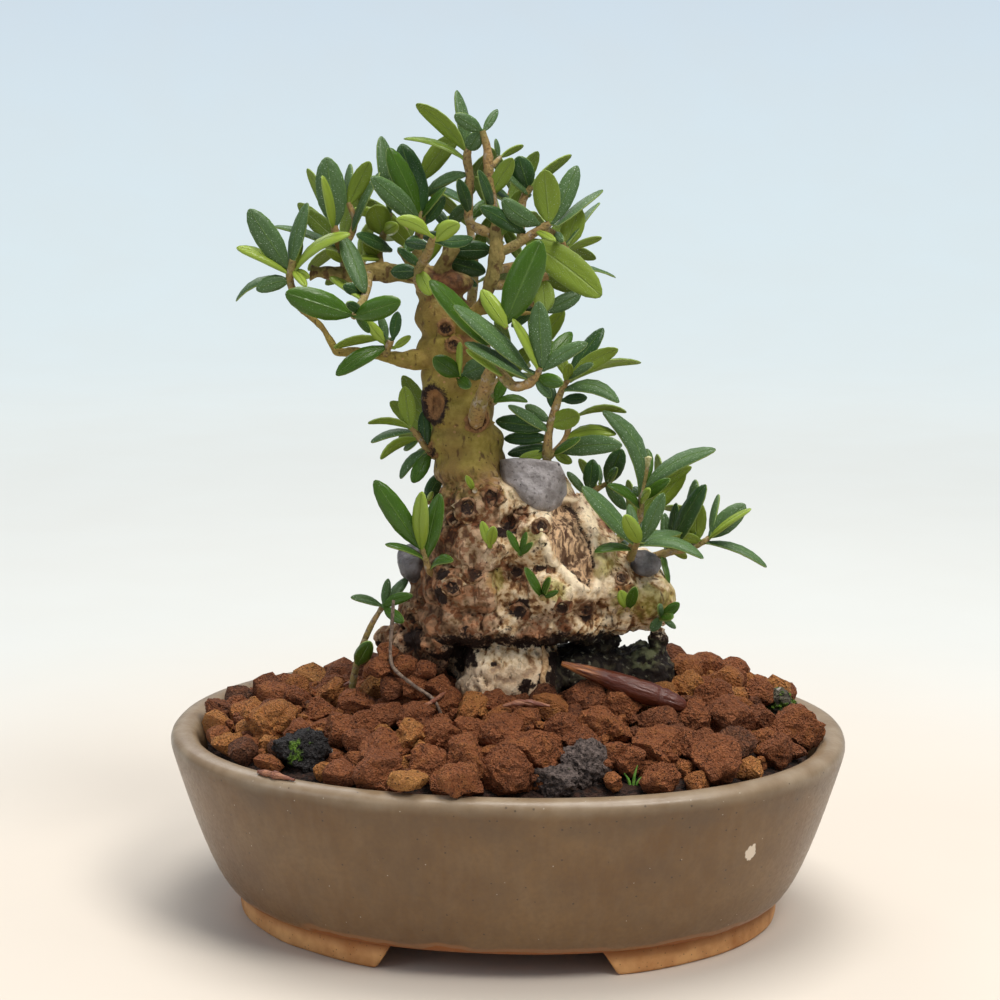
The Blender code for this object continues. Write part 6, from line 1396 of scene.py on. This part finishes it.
        (12.3, 105.6, 23.8, 107.2, 2.8, -1, "y", 1.2),
        (11.8, 103.2, 25.1, 104.7, 4.4, -6, "b", 0.8),
        (10.2, 102.8, 16.0, 106.2, 1.8, -6, "g"),
        (10.4, 102.8, 14.2, 100.8, 2.2, -3, "u"),
        (8.9, 103.0, 2.6, 101.6, 2.4, -1, "u"),
    ]),
    ("spray_behind_patch", [[(15.0, 91.0, 5, 0.9), (18.2, 94.0, 6, 0.8), (21.8, 96.2, 6, 0.6)]], [
        (18.0, 94.6, 18.8, 101.6, 3.6, 1, "d"),
        (19.6, 95.2, 15.7, 101.6, 2.2, 3, "u"),
        (21.9, 96.2, 25.0, 103.9, 4.4, -2, "d"),
        (21.6, 96.0, 26.1, 90.4, 2.6, -2, "b"),
        (22.0, 96.4, 24.2, 99.4, 2.0, -4, "g"),
        (20.4, 96.2, 20.0, 100.4, 1.0, 4, "b"),
        (17.4, 93.6, 13.2, 98.8, 1.8, 2, "b"),
    ]),
    ("spray_right_upright", [[(26.0, 79.0, 1, 1.0), (28.6, 85.0, -1, 0.85), (29.2, 89.0, -1.6, 0.8), (29.6, 94.8, -2, 0.8), (30.4, 100.6, -2, 0.75)]], [
        (29.2, 93.6, 20.9, 112.3, 3.8, -2, "b", 3.0),
        (30.2, 96.4, 30.6, 103.9, 3.2, 4, "g"),
        (30.0, 95.2, 45.5, 103.8, 3.3, -3, "b", 1.0),
        (29.8, 93.8, 40.3, 99.9, 2.9, 3, "u"),
        (29.6, 92.6, 35.7, 97.2, 2.4, -5, "g"),
        (29.3, 90.4, 22.0, 95.9, 2.1, -3, "g", 0.8),
        (29.5, 93.0, 27.8, 95.4, 1.8, 3, "g"),
        (29.4, 92.0, 31.4, 94.8, 1.6, -4, "y"),
    ]),
    ("spray_right_front", [[(27.2, 79.6, -6, 1.0), (28.2, 82.2, -11, 0.9), (29.0, 83.4, -12.6, 0.7)]], [
        (27.6, 83.0, 16.5, 95.5, 3.7, -2, "b"),
        (29.2, 82.8, 25.8, 89.2, 3.6, -5, "y"),
        (29.8, 83.4, 34.3, 94.1, 3.5, -1, "b"),
        (28.8, 82.4, 43.3, 79.5, 2.4, -4, "b", 1.8),
        (29.6, 83.0, 38.1, 85.2, 2.2, 0, "b", 0.3),
        (27.9, 81.2, 19.3, 80.9, 1.7, -2, "g", 0.7),
        (28.4, 83.4, 26.8, 91.6, 2.4, 4, "b"),
        (28.8, 83.2, 30.6, 88.2, 2.0, 4, "d"),
    ]),
    ("spray_right_end", [[(30.0, 79.0, 2, 1.0), (35.6, 80.9, 1, 0.9), (39.5, 81.6, 1, 0.8), (43.2, 83.2, 0, 0.7), (44.4, 84.2, 0, 0.6)]], [
        (44.4, 84.2, 52.2, 91.6, 4.8, 1, "b"),
        (44.4, 83.9, 53.5, 90.5, 1.4, -4, "y"),
        (44.8, 85.0, 46.3, 93.8, 1.4, 2, "b"),
        (43.6, 83.0, 57.2, 77.5, 1.7, -2, "b", 0.9),
        (43.0, 83.0, 35.6, 84.1, 2.2, -4, "u", 0.5),
        (41.4, 83.0, 41.7, 92.3, 4.5, -4, "u"),
        (40.8, 82.8, 41.2, 97.1, 2.9, 2, "b"),
        (36.6, 81.8, 37.1, 91.9, 2.3, 0, "d"),
        (36.0, 81.6, 43.5, 95.9, 4.0, -5, "d"),
        (35.0, 81.6, 34.6, 89.6, 2.3, 3, "b"),
        (38.6, 82.2, 38.2, 88.6, 2.0, 4, "b"),
        (34.2, 80.4, 35.0, 76.4, 1.3, 2, "g"),
        (33.9, 80.3, 35.7, 73.7, 1.2, -4, "g"),
        (36.4, 81.4, 39.4, 79.4, 1.6, 2, "u"),
    ]),
    ("spray_left_mid", [[(-14.4, 101.6, -1, 1.0), (-17.2, 103.6, -2, 0.8), (-19.4, 106.8, -3, 0.7), (-21.0, 108.6, -3.4, 0.5)]], [
        (-21.1, 108.6, -22.2, 117.6, 3.7, -2, "u"),
        (-21.0, 108.5, -30.2, 109.6, 1.4, -2, "u", 0.8),
        (-20.2, 107.6, -29.6, 105.4, 1.5, 2, "b", 0.6),
        (-19.6, 106.2, -27.6, 101.7, 2.0, -4, "u", 0.8),
        (-17.6, 103.8, -23.3, 97.3, 2.0, -1, "b", 0.6),
        (-16.9, 103.0, -20.6, 96.4, 3.4, -4, "g"),
        (-17.6, 104.2, -18.2, 112.2, 2.9, -4, "d"),
        (-18.6, 105.6, -16.5, 114.4, 1.2, 2, "b"),
        (-19.0, 106.2, -22.4, 103.6, 1.6, 4, "g"),
    ]),
    ("spray_left_low", [[(-13.8, 74.6, -6, 1.0), (-16.8, 76.4, -11, 0.8), (-17.8, 79.2, -12, 0.7), (-18.7, 81.8, -12.4, 0.6)]], [
        (-19.2, 82.0, -28.9, 96.9, 5.0, -1, "g"),
        (-18.8, 81.4, -18.5, 94.4, 3.5, -4, "y"),
        (-17.6, 79.8, -14.6, 94.0, 4.0, 1, "g"),
        (-18.2, 79.4, -26.7, 82.6, 1.2, -3, "g", 0.5),
        (-16.7, 76.6, -11.8, 78.9, 1.6, -3, "g", 1.2),
    ]),
    ("bud_left_rear", [[(-13.6, 91.6, 3, 0.9), (-17.4, 92.2, 3, 0.7)]], [
        (-17.6, 92.2, -14.7, 98.3, 3.4, 3, "d"),
        (-17.2, 92.4, -16.2, 94.4, 1.2, -3, "y"),
    ]),
    ("sucker", [[(-34.4, 50.0, -6, 0.8), (-33.4, 54.8, -6, 0.8), (-31.8, 60.0, -6, 0.7), (-29.8, 64.6, -6, 0.65), (-27.5, 68.4, -6.4, 0.6)]], [
        (-27.6, 68.7, -34.4, 70.7, 1.7, -2, "b", 0.3),
        (-27.2, 68.8, -26.1, 74.9, 2.0, 2, "b"),
        (-27.2, 68.6, -20.8, 71.1, 2.5, -3, "g", 0.5),
        (-27.0, 68.6, -21.8, 75.2, 2.3, 5, "b"),
        (-27.0, 68.2, -22.8, 65.0, 2.6, -5, "g"),
        (-33.2, 55.2, -30.2, 60.6, 3.7, -4, "g"),
    ]),
    ("bud_right_tip", [[(31.0, 66.6, -4, 0.8), (34.2, 66.2, -8, 0.6)]], [
        (34.4, 66.2, 38.1, 69.4, 2.4, -1, "g"),
        (34.2, 66.4, 33.4, 68.8, 1.3, -1, "b"),
        (34.2, 66.0, 31.9, 63.0, 2.3, -1, "b"),
        (34.6, 66.0, 37.4, 63.6, 1.4, -2, "b"),
        (34.0, 66.2, 36.6, 65.8, 2.0, -3, "g"),
    ]),
    ("bud_right_face", [[(27.4, 69.6, -8, 0.8), (26.6, 67.8, -13, 0.6)]], [
        (26.6, 68.2, 25.0, 72.2, 2.6, -1, "y"),
        (26.9, 68.2, 28.4, 73.0, 2.4, 1, "g"),
    ]),
    ("bud_centre_low", [[(7.7, 72.0, -12, 0.8), (7.9, 70.4, -20, 0.6)]], [
        (7.6, 70.8, 4.0, 77.4, 1.9, -1, "g"),
        (8.0, 71.0, 9.6, 75.0, 1.5, 0, "g"),
        (8.1, 70.6, 11.4, 72.1, 1.3, -1, "g"),
    ]),
    ("bud_centre", [[(3.0, 80.2, -10, 0.8), (3.0, 80.4, -18, 0.6)]], [
        (2.8, 80.6, 0.1, 85.7, 1.5, -1, "g"),
        (3.1, 80.8, 4.3, 85.4, 1.3, 0, "g"),
        (3.2, 80.4, 5.7, 83.0, 1.4, -1, "g"),
    ]),
    ("bud_centre_left", [[(-3.6, 81.6, -10, 0.8), (-3.7, 82.2, -18, 0.6)]], [
        (-3.8, 82.4, -5.5, 87.8, 2.1, 0, "y"),
        (-3.6, 82.4, -2.9, 86.6, 2.3, -2, "y"),
    ]),
    ("bud_upper", [[(-6.9, 95.0, -6, 0.7), (-7.0, 94.6, -13.4, 0.6)]], [
        (-7.2, 94.8, -8.9, 97.9, 1.4, -1, "y"),
        (-6.9, 94.8, -7.2, 97.8, 1.2, 0, "y"),
    ]),
]
REAR_PAIRS = 4
REAR_SPRAYS = [
    ("spray_rear_crown_left", [(-16.0, 141.0, 3, 1.1), (-19.0, 146.0, 12, 1.0), (-22.0, 152.0, 20, 0.7)]),
    ("spray_rear_crown", [(-8.0, 133.0, 5, 1.2), (-7.0, 145.0, 14, 1.0), (-9.0, 157.0, 19, 0.7)]),
    ("spray_rear_left", [(-30.0, 142.4, 0, 1.0), (-33.0, 146.0, 9, 0.9), (-37.0, 150.0, 17, 0.7)]),
    ("spray_rear_top", [(-2.8, 146.6, -4, 1.1), (-1.0, 152.0, 5, 1.0), (1.0, 160.0, 14, 0.7)]),
    ("spray_rear_right", [(-2.6, 143.0, -7, 1.2), (3.0, 144.0, 6, 1.0), (9.0, 148.0, 17, 0.7)]),
    ("spray_rear_middle", [(-5.0, 116.0, 3, 1.2), (0.0, 120.0, 12, 1.0), (6.0, 126.0, 20, 0.7)]),
    ("spray_rear_base", [(20.0, 80.0, 5, 1.1), (27.0, 86.0, 14, 0.9), (33.0, 91.0, 21, 0.7)]),
    ("spray_rear_low", [(-13.0, 104.0, 3, 1.1), (-14.5, 106.0, 11, 0.9), (-16.0, 109.0, 19, 0.7)]),
]
print("sprays:", len(SPRAYS), "in front and", len(REAR_SPRAYS), "behind")

# %% [markdown]
# A leaf's lie is worked out from its row: the base sits on the nearest stem, the axis runs to the tip, and
# the blade is rolled about that axis until it shows the width in the row, with its upper side to the sky.
# The solid model had slid some leaves back or forward to keep them apart, and left a few out. Which ones is
# found by looking for a corner of the spray's solid at the place where the tip would be.

# %% Lie of a leaf
LEAF_THICK = 0.42 * MM


def nearest_on_stems(stems, across, up):
    """The stem point that appears nearest to a place in the picture."""
    here = Vector((across, up))
    best = None
    for route in stems:
        steps = (len(route) - 1) * 8
        for i in range(steps + 1):
            point = curve_point(route, i / steps)
            away = (point.xy - here).length
            if best is None or away < best[0]:
                best = (away, point)
    return best[1]


def leaf_lie(stems, row, slide):
    """Root, base, tip, side, upward direction, width and arch of a leaf given as it appears."""
    base_across, base_up, tip_across, tip_up, seen, reach, face = row[:7]
    arch = row[7] if len(row) > 7 else 0.0
    joint = nearest_on_stems(stems, base_across, base_up)
    root = place(*joint[:3])
    base = place(base_across, base_up, joint[2])
    tip = place(tip_across, tip_up, joint[2] + reach + slide)
    view = (eye - (base + tip) / 2).normalized()
    axis = (tip - base).normalized()
    length = (tip - base).length
    level = axis.cross(view).normalized()
    if level.z < 0:
        level = -level
    toward = level.cross(axis)
    if toward.dot(view) < 0:
        toward = -toward
    width = max(seen * MM, min(5.0 * MM, 0.3 * length))
    roll = acos(min(1.0, seen * MM / width))
    shown = -1 if face == "u" else 1
    options = []
    for sign in (1, -1):
        side = level * cos(roll) + toward * sin(roll) * sign
        upper = (toward * cos(roll) - level * sin(roll) * sign) * shown
        options.append((upper.z, side, upper))
    upper_z, side, upper = max(options, key=lambda option: option[0])
    return root, base, tip, side, upper, width, level * arch * MM + upper * length * 0.05


def bend_leaf(bm, lie, look, rng):
    """Adds a copy of the flat leaf, bent to its lie; look is (bloom, youth, tone)."""
    root, base, tip, side, upper, width, lift = lie
    paint = bm.verts.layers.float_color["look"]
    first = len(bm.verts)
    bm.from_mesh(flat_leaf)
    bm.verts.ensure_lookup_table()
    axis = (tip - base).normalized()
    side = (side - axis * side.dot(axis)).normalized()
    keel = upper if upper.length > 0.1 else side.cross(axis)
    twist = rng.uniform(-0.2, 0.2)
    fold = rng.uniform(0.10, 0.26)
    for vert in bm.verts[first:]:
        row, column, layer = int(round(vert.co.x)), vert.co.y / 2, vert.co.z
        t, half = STATIONS[row], HALVES[row] * width / 2
        if row == 0:
            middle, half = root - axis * 0.2 * MM, 0.42 * MM
        else:
            half = max(half, 0.4 * MM if row == 1 else 0.0)
            middle = base.lerp(tip, t) + lift * 4 * t * (1 - t) * 0.98
        turned = side * cos(twist * (t - 0.4)) + keel * sin(twist * (t - 0.4))
        rise = abs(column) * fold * half - 0.30 * half * abs(column) ** 4
        thick = LEAF_THICK * (1.0 if row > 1 else 1.7) * (1.0 if abs(column) < 0.9 else 0.7)
        if row == len(STATIONS) - 1:
            thick *= 0.5
        vert.co = middle + turned * column * half + keel * (rise + (layer + 0.5) * thick)
        vert[paint] = (*look, 1.0)


# The d look is painted shade: a darker tone for leaves that lie in shade.
LOOKS = {"b": (0.85, 0.05, 0.45), "g": (0.06, 0.10, 0.62), "d": (0.3, 0.0, 0.1), "u": (0.3, 0.35, 0.5), "y": (0.0, 0.95, 0.7), "s": (0.0, 0.6, 0.9)}


def solid_corners(name):
    """A tree of the corners of a spray's solid, to find tips in."""
    from mathutils.kdtree import KDTree
    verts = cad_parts[name].data.vertices
    tree = KDTree(len(verts))
    for i, vert in enumerate(verts):
        tree.insert(vert.co, i)
    tree.balance()
    return tree


def leafy_piece(name, stems, leaves, rng):
    """One spray as a piece: its stems, then its leaves of (lie, face letter)."""
    bm = bmesh.new()
    bm.loops.layers.uv.new("leaf")
    bm.verts.layers.float_color.new("look")
    sweep(bm, stems, 5, 8, 0.2, material=2)
    for lie, face in leaves:
        bloom, youth, tone = LOOKS[face]
        look = (bloom, youth, min(1.0, max(0.0, tone + rng.uniform(-0.15, 0.15))))
        bend_leaf(bm, lie, look, rng)
    made = piece(name.replace("spray", "leaves") + ("_shoot" if "spray" not in name else ""), bm, LEAF_TOP, LEAF_BACK, TWIG)
    stands_for(made, "foliage", name)
    return made

# %% [markdown]
# Leaf finishes. Above, the leaf is waxy: dark green with a grey bloom that is missing on the glossy ones, a
# pale line down the midrib, thin side veins and a light rim. Below it is a flat olive green with a raised
# midrib. Young leaves turn yellow-green. One node group reads the leaf's own UV map and gives the masks.

# %% Leaf masks
leaf_group = bpy.data.node_groups.new("leaf_marks", "ShaderNodeTree")
leaf_group.interface.new_socket("UV", in_out="INPUT", socket_type="NodeSocketVector")
leaf_group.interface.new_socket("Midrib width", in_out="INPUT", socket_type="NodeSocketFloat").default_value = 0.05
for label in ("Midrib", "Veins", "Rim"):
    leaf_group.interface.new_socket(label, in_out="OUTPUT", socket_type="NodeSocketFloat")
source = add(leaf_group, "NodeGroupInput").outputs
result = add(leaf_group, "NodeGroupOutput")
part = add(leaf_group, "ShaderNodeSeparateXYZ", {0: source["UV"]}).outputs
off = maths(leaf_group, "ABSOLUTE", maths(leaf_group, "SUBTRACT", part["Y"], 0.5))
leaf_group.links.new(maths(leaf_group, "SUBTRACT", 1.0, maths(leaf_group, "DIVIDE", off, source["Midrib width"]), clamp=True), result.inputs["Midrib"])
slant = maths(leaf_group, "SUBTRACT", maths(leaf_group, "MULTIPLY", part["X"], 11.0), maths(leaf_group, "MULTIPLY", off, 7.0))
ripple = maths(leaf_group, "ABSOLUTE", maths(leaf_group, "SUBTRACT", maths(leaf_group, "FRACT", slant), 0.5))
veins = maths(leaf_group, "SUBTRACT", 1.0, maths(leaf_group, "MULTIPLY", ripple, 7.0), clamp=True)
leaf_group.links.new(maths(leaf_group, "MULTIPLY", veins, maths(leaf_group, "SUBTRACT", 1.0, maths(leaf_group, "MULTIPLY", off, 2.0), clamp=True)), result.inputs["Veins"])
leaf_group.links.new(stepped(leaf_group, off, 0.455, 0.495), result.inputs["Rim"])
print("leaf marks ready")

# %% Leaf and twig finishes


def leaf_finish(name, dark, light, bloom_colour, young, rib, rough, rib_height):
    """A leaf side; the colour attribute gives bloom, youth and tone."""
    material, tree, shader = new_material(name)
    where = place_of(tree)
    look = add(tree, "ShaderNodeSeparateColor", {0: add(tree, "ShaderNodeAttribute", attribute_name="look").outputs["Color"]}).outputs
    uv = add(tree, "ShaderNodeUVMap", uv_map="leaf").outputs[0]
    marks = add(tree, "ShaderNodeGroup", {"UV": uv, "Midrib width": 0.045}, node_tree=leaf_group).outputs
    cloud = mottle(tree, where, 0.35, 0.3, 0.7, 4.0)
    fine = mottle(tree, where, 3.0, 0.35, 0.7, 3.0)
    base = mixed(tree, maths(tree, "MULTIPLY", maths(tree, "ADD", look[2], maths(tree, "MULTIPLY", cloud, 0.4)), 0.72), dark, light)
    base = mixed(tree, maths(tree, "MULTIPLY", look[0], maths(tree, "ADD", maths(tree, "MULTIPLY", fine, 0.4), 0.4)), base, bloom_colour)
    base = mixed(tree, look[1], base, young)
    base = mixed(tree, maths(tree, "MULTIPLY", marks["Veins"], 0.16), base, rib)
    midrib = maths(tree, "MULTIPLY", marks["Midrib"], maths(tree, "SUBTRACT", 0.55, maths(tree, "MULTIPLY", look[1], 0.45)))
    base = mixed(tree, midrib, base, rib)
    base = mixed(tree, maths(tree, "MULTIPLY", marks["Rim"], 0.45), base, rib)
    specks = maths(tree, "ADD", dots(tree, where, 1.7, 0.17, 0.55), maths(tree, "MULTIPLY", dots(tree, where, 2.6, 0.20, 0.8), 0.5))
    scurf = maths(tree, "MULTIPLY", specks, maths(tree, "ADD", look[0], 0.15), clamp=True)
    base = mixed(tree, maths(tree, "MULTIPLY", scurf, 0.6), base, (0.55, 0.63, 0.50))
    tree.links.new(base, shader.inputs["Base Color"])
    tree.links.new(maths(tree, "ADD", maths(tree, "MULTIPLY", look[0], 0.22), rough), shader.inputs["Roughness"])
    shader.inputs["Specular IOR Level"].default_value = 0.25
    height = maths(tree, "ADD", maths(tree, "MULTIPLY", marks["Midrib"], rib_height), maths(tree, "MULTIPLY", marks["Veins"], 0.25 * rib_height))
    height = maths(tree, "ADD", height, maths(tree, "MULTIPLY", fine, 0.12))
    bumped(tree, shader, height, 0.14)
    return material


LEAF_TOP = leaf_finish("leaf_upper_side", (0.008, 0.034, 0.005), (0.030, 0.108, 0.003), (0.115, 0.185, 0.092), (0.28, 0.37, 0.045),
                       (0.16, 0.27, 0.05), 0.22, -1.0)
LEAF_BACK = leaf_finish("leaf_underside", (0.090, 0.15, 0.015), (0.175, 0.240, 0.020), (0.16, 0.22, 0.05), (0.31, 0.41, 0.04),
                        (0.30, 0.38, 0.12), 0.46, 1.0)

TWIG, tree, shader = new_material("young_twig")
where = place_of(tree)
twig = mixed(tree, mottle(tree, where, 0.22, 0.38, 0.62), (0.27, 0.21, 0.060), (0.38, 0.225, 0.075))
twig = mixed(tree, mottle(tree, where, 0.6, 0.56, 0.70), twig, (0.42, 0.34, 0.25))
twig = mixed(tree, maths(tree, "MULTIPLY", mottle(tree, where, 1.5, 0.54, 0.66), 0.75), twig, (0.10, 0.045, 0.02))
tree.links.new(twig, shader.inputs["Base Color"])
shader.inputs["Roughness"].default_value = 0.7
bumped(tree, shader, mottle(tree, where, 2.0, 0.2, 0.8, 6.0), 0.25)
print("leaf finishes ready")

# %% [markdown]
# Now the sprays themselves. Those seen from the front follow their tables. The hidden ones behind the trunk
# follow a rule: pairs of leaves along one stem, each pair a quarter turn on from the pair below it, which is
# how olive leaves stand.

# %% Front sprays
SLIDES = (0, 2, -2, 4, -4, 6, -6, 9, -9, 12)
shown = dropped = 0
sprays = []
for name, stems, rows in SPRAYS:
    corners = solid_corners(name)
    rng = Random(name)
    leaves = []
    for row in rows:
        options = [leaf_lie(stems, row, slide) for slide in SLIDES]
        away = [corners.find(lie[2])[2] for lie in options]
        if min(away) > 0.35 * MM:
            dropped += 1
            continue
        leaves.append((options[away.index(min(away))], row[6]))
        shown += 1
    sprays.append(leafy_piece(name, stems, leaves, rng))
print("pictured leaves:", shown, "left out:", dropped)

# %% Rear sprays


def rear_leaves(route, count, rng):
    """For each leaf of a hidden spray, the four ways that it may stand."""
    leaves = []
    for pair in range(count):
        t = 0.3 + 0.7 * pair / (count - 1)
        here = place(*curve_point(route, t)[:3])
        ahead = (place(*curve_point(route, min(t + 0.1, 1.0))[:3]) - place(*curve_point(route, t - 0.1)[:3])).normalized()
        out = ahead.orthogonal().normalized()
        out = Matrix.Rotation(pair * pi / 2 + rng.uniform(-0.3, 0.3), 3, ahead) @ out
        for turn in (1, -1):
            length = rng.uniform(10.5, 14.5) * MM
            spread = radians(rng.uniform(38, 62))
            options = []
            for change in (0.0, -0.35, 0.35, 0.6):
                axis = ahead * cos(spread + change) + out * turn * sin(spread + change)
                side = axis.cross(ahead).normalized()
                upper = side.cross(axis).normalized()
                options.append((here, here + axis * 0.8 * MM, here + axis * length, side, upper, 0.3 * length, upper * length * 0.06))
            leaves.append(options)
    return leaves


rear_rng = Random(11)
for name, route in REAR_SPRAYS:
    corners = solid_corners(name)
    rng = Random(name)
    leaves = []
    for options in rear_leaves(route, REAR_PAIRS, rear_rng):
        away = [corners.find(lie[2])[2] for lie in options]
        if min(away) < 0.3 * MM:
            leaves.append((options[away.index(min(away))], rng.choice("bbgd")))
    sprays.append(leafy_piece(name, [route], leaves, rng))
bpy.data.meshes.remove(flat_leaf)
bm = bmesh.new()
sweep(bm, [[(30.4, 100.0, -2, 0.75), (30.4, 101.3, -2, 1.05), (30.5, 102.2, -2, 1.3)]], 4, 10, 0.4)     # the dry end of a cut twig
stands_for(piece("cut_twig_end", bm, straw("cut_wood", (0.36, 0.32, 0.12), (0.62, 0.57, 0.30))), "foliage")
print("sprays made:", len(sprays))

# %% [markdown]
# The stage is plain: a pale floor that curves up all round into a backdrop, like the inside of a bowl, so
# that every side of the tree is seen against it. One profile is spun round for it. Its colour runs from
# warm cream under the pot to a very pale blue. Soft light comes from large lamps above and in front.

# %% Floor and backdrop
bm = bmesh.new()
profile = [bm.verts.new((r, 0, z)) for r, z in ((0.0001, 0), (0.3, 0), (0.6, 0), (0.8, 0))]
profile += [bm.verts.new((0.8 + 0.6 * sin(a), 0, 0.6 - 0.6 * cos(a))) for a in (radians(9 * k) for k in range(1, 11))]
profile += [bm.verts.new((1.4, 0, z)) for z in (1.0, 1.5, 2.2)]
edges = [bm.edges.new(pair) for pair in zip(profile, profile[1:])]
bmesh.ops.spin(bm, geom=profile + edges, cent=(0, 0, 0), axis=(0, 0, 1), angle=2 * pi, steps=96, dvec=(0, 0, 0),
               use_merge=True, use_duplicate=False)
bmesh.ops.remove_doubles(bm, verts=bm.verts, dist=0.0005)
bmesh.ops.recalc_face_normals(bm, faces=bm.faces)
floor = piece("floor", bm)
FLOOR, tree, shader = new_material("pale_floor")
where = place_of(tree)
flat = add(tree, "ShaderNodeVectorMath", {0: where, 1: (1.0, 1.0, 0.0)}, operation="MULTIPLY").outputs[0]
out = add(tree, "ShaderNodeVectorMath", {0: flat}, operation="LENGTH").outputs["Value"]
height = add(tree, "ShaderNodeSeparateXYZ", {0: where}).outputs["Z"]
shade = mixed(tree, stepped(tree, out, 110.0, 300.0), (0.95, 0.85, 0.73), (0.90, 0.905, 0.855))
shade = mixed(tree, stepped(tree, out, 300.0, 1150.0), shade, (0.72, 0.83, 0.875))
shade = mixed(tree, stepped(tree, height, 0.0, 520.0), shade, (0.50, 0.61, 0.77))
shade = mixed(tree, maths(tree, "MULTIPLY", mottle(tree, where, 0.02, 0.3, 0.7, 3.0), 0.06), shade, (0.7, 0.62, 0.52))
# Painted light: the backdrop's wall glows with its own colour, more for the camera than for the light it throws on the
# tree, and its base colour is dimmed there.
wall = stepped(tree, out, 350.0, 800.0)
dimmed = maths(tree, "ADD", maths(tree, "MULTIPLY", wall, 0.70), 0.30)
tree.links.new(mixed(tree, dimmed, shade, (0.0, 0.0, 0.0)), shader.inputs["Base Color"])
tree.links.new(shade, shader.inputs["Emission Color"])
seen = maths(tree, "ADD", maths(tree, "MULTIPLY", add(tree, "ShaderNodeLightPath").outputs["Is Camera Ray"], 0.55), 0.45)
tree.links.new(maths(tree, "MULTIPLY", wall, seen), shader.inputs["Emission Strength"])
shader.inputs["Roughness"].default_value = 0.75
shader.inputs["Specular IOR Level"].default_value = 0.0
floor.data.materials.append(FLOOR)

# %% Light
world = bpy.data.worlds.new("soft_room")
world.use_nodes = True
world.node_tree.nodes["Background"].inputs["Color"].default_value = (0.95, 0.97, 1.0, 1)
world.node_tree.nodes["Background"].inputs["Strength"].default_value = 0.40
bpy.context.scene.world = world


def lamp(name, spot, aim, size, power, colour):
    """A large soft lamp at a spot, aimed at a point of the tree."""
    data = bpy.data.lights.new(name, "AREA")
    data.size = size
    data.energy = power
    data.color = colour
    obj = bpy.data.objects.new(name, data)
    obj.location = spot
    obj.rotation_mode = "QUATERNION"
    obj.rotation_quaternion = (Vector(aim) - Vector(spot)).to_track_quat("-Z", "Y")
    bpy.context.scene.collection.objects.link(obj)


lamp("key", (0.55, -0.5, 1.1), (0, 0, 0.07), 0.42, 9.8, (1.0, 0.97, 0.92))
lamp("top", (0.1, 0.1, 1.4), (0, 0, 0.07), 0.8, 15.0, (1.0, 0.99, 0.97))
lamp("fill", (-0.9, -0.6, 0.6), (0, 0, 0.07), 0.6, 2.0, (0.97, 0.98, 1.0))
lamp("rear", (-0.5, 0.85, 0.9), (0, 0, 0.09), 0.6, 3.0, (0.97, 0.98, 1.0))

# %% Camera
camera = bpy.data.cameras.new("eye")
camera.lens = 82.8
camera.sensor_width = 36.0
camera.clip_start = 0.01
camera.clip_end = 20.0
viewer = bpy.data.objects.new("eye", camera)
viewer.location = (0.0493, -0.4915, 0.189)
tilt = radians(11.05)
ahead = Vector((-0.1028 * cos(tilt), 0.9947 * cos(tilt), -sin(tilt)))
viewer.rotation_mode = "QUATERNION"
viewer.rotation_quaternion = ahead.to_track_quat("-Z", "Y")
bpy.context.scene.collection.objects.link(viewer)
bpy.context.scene.camera = viewer
bpy.context.scene.view_settings.view_transform = "Standard"
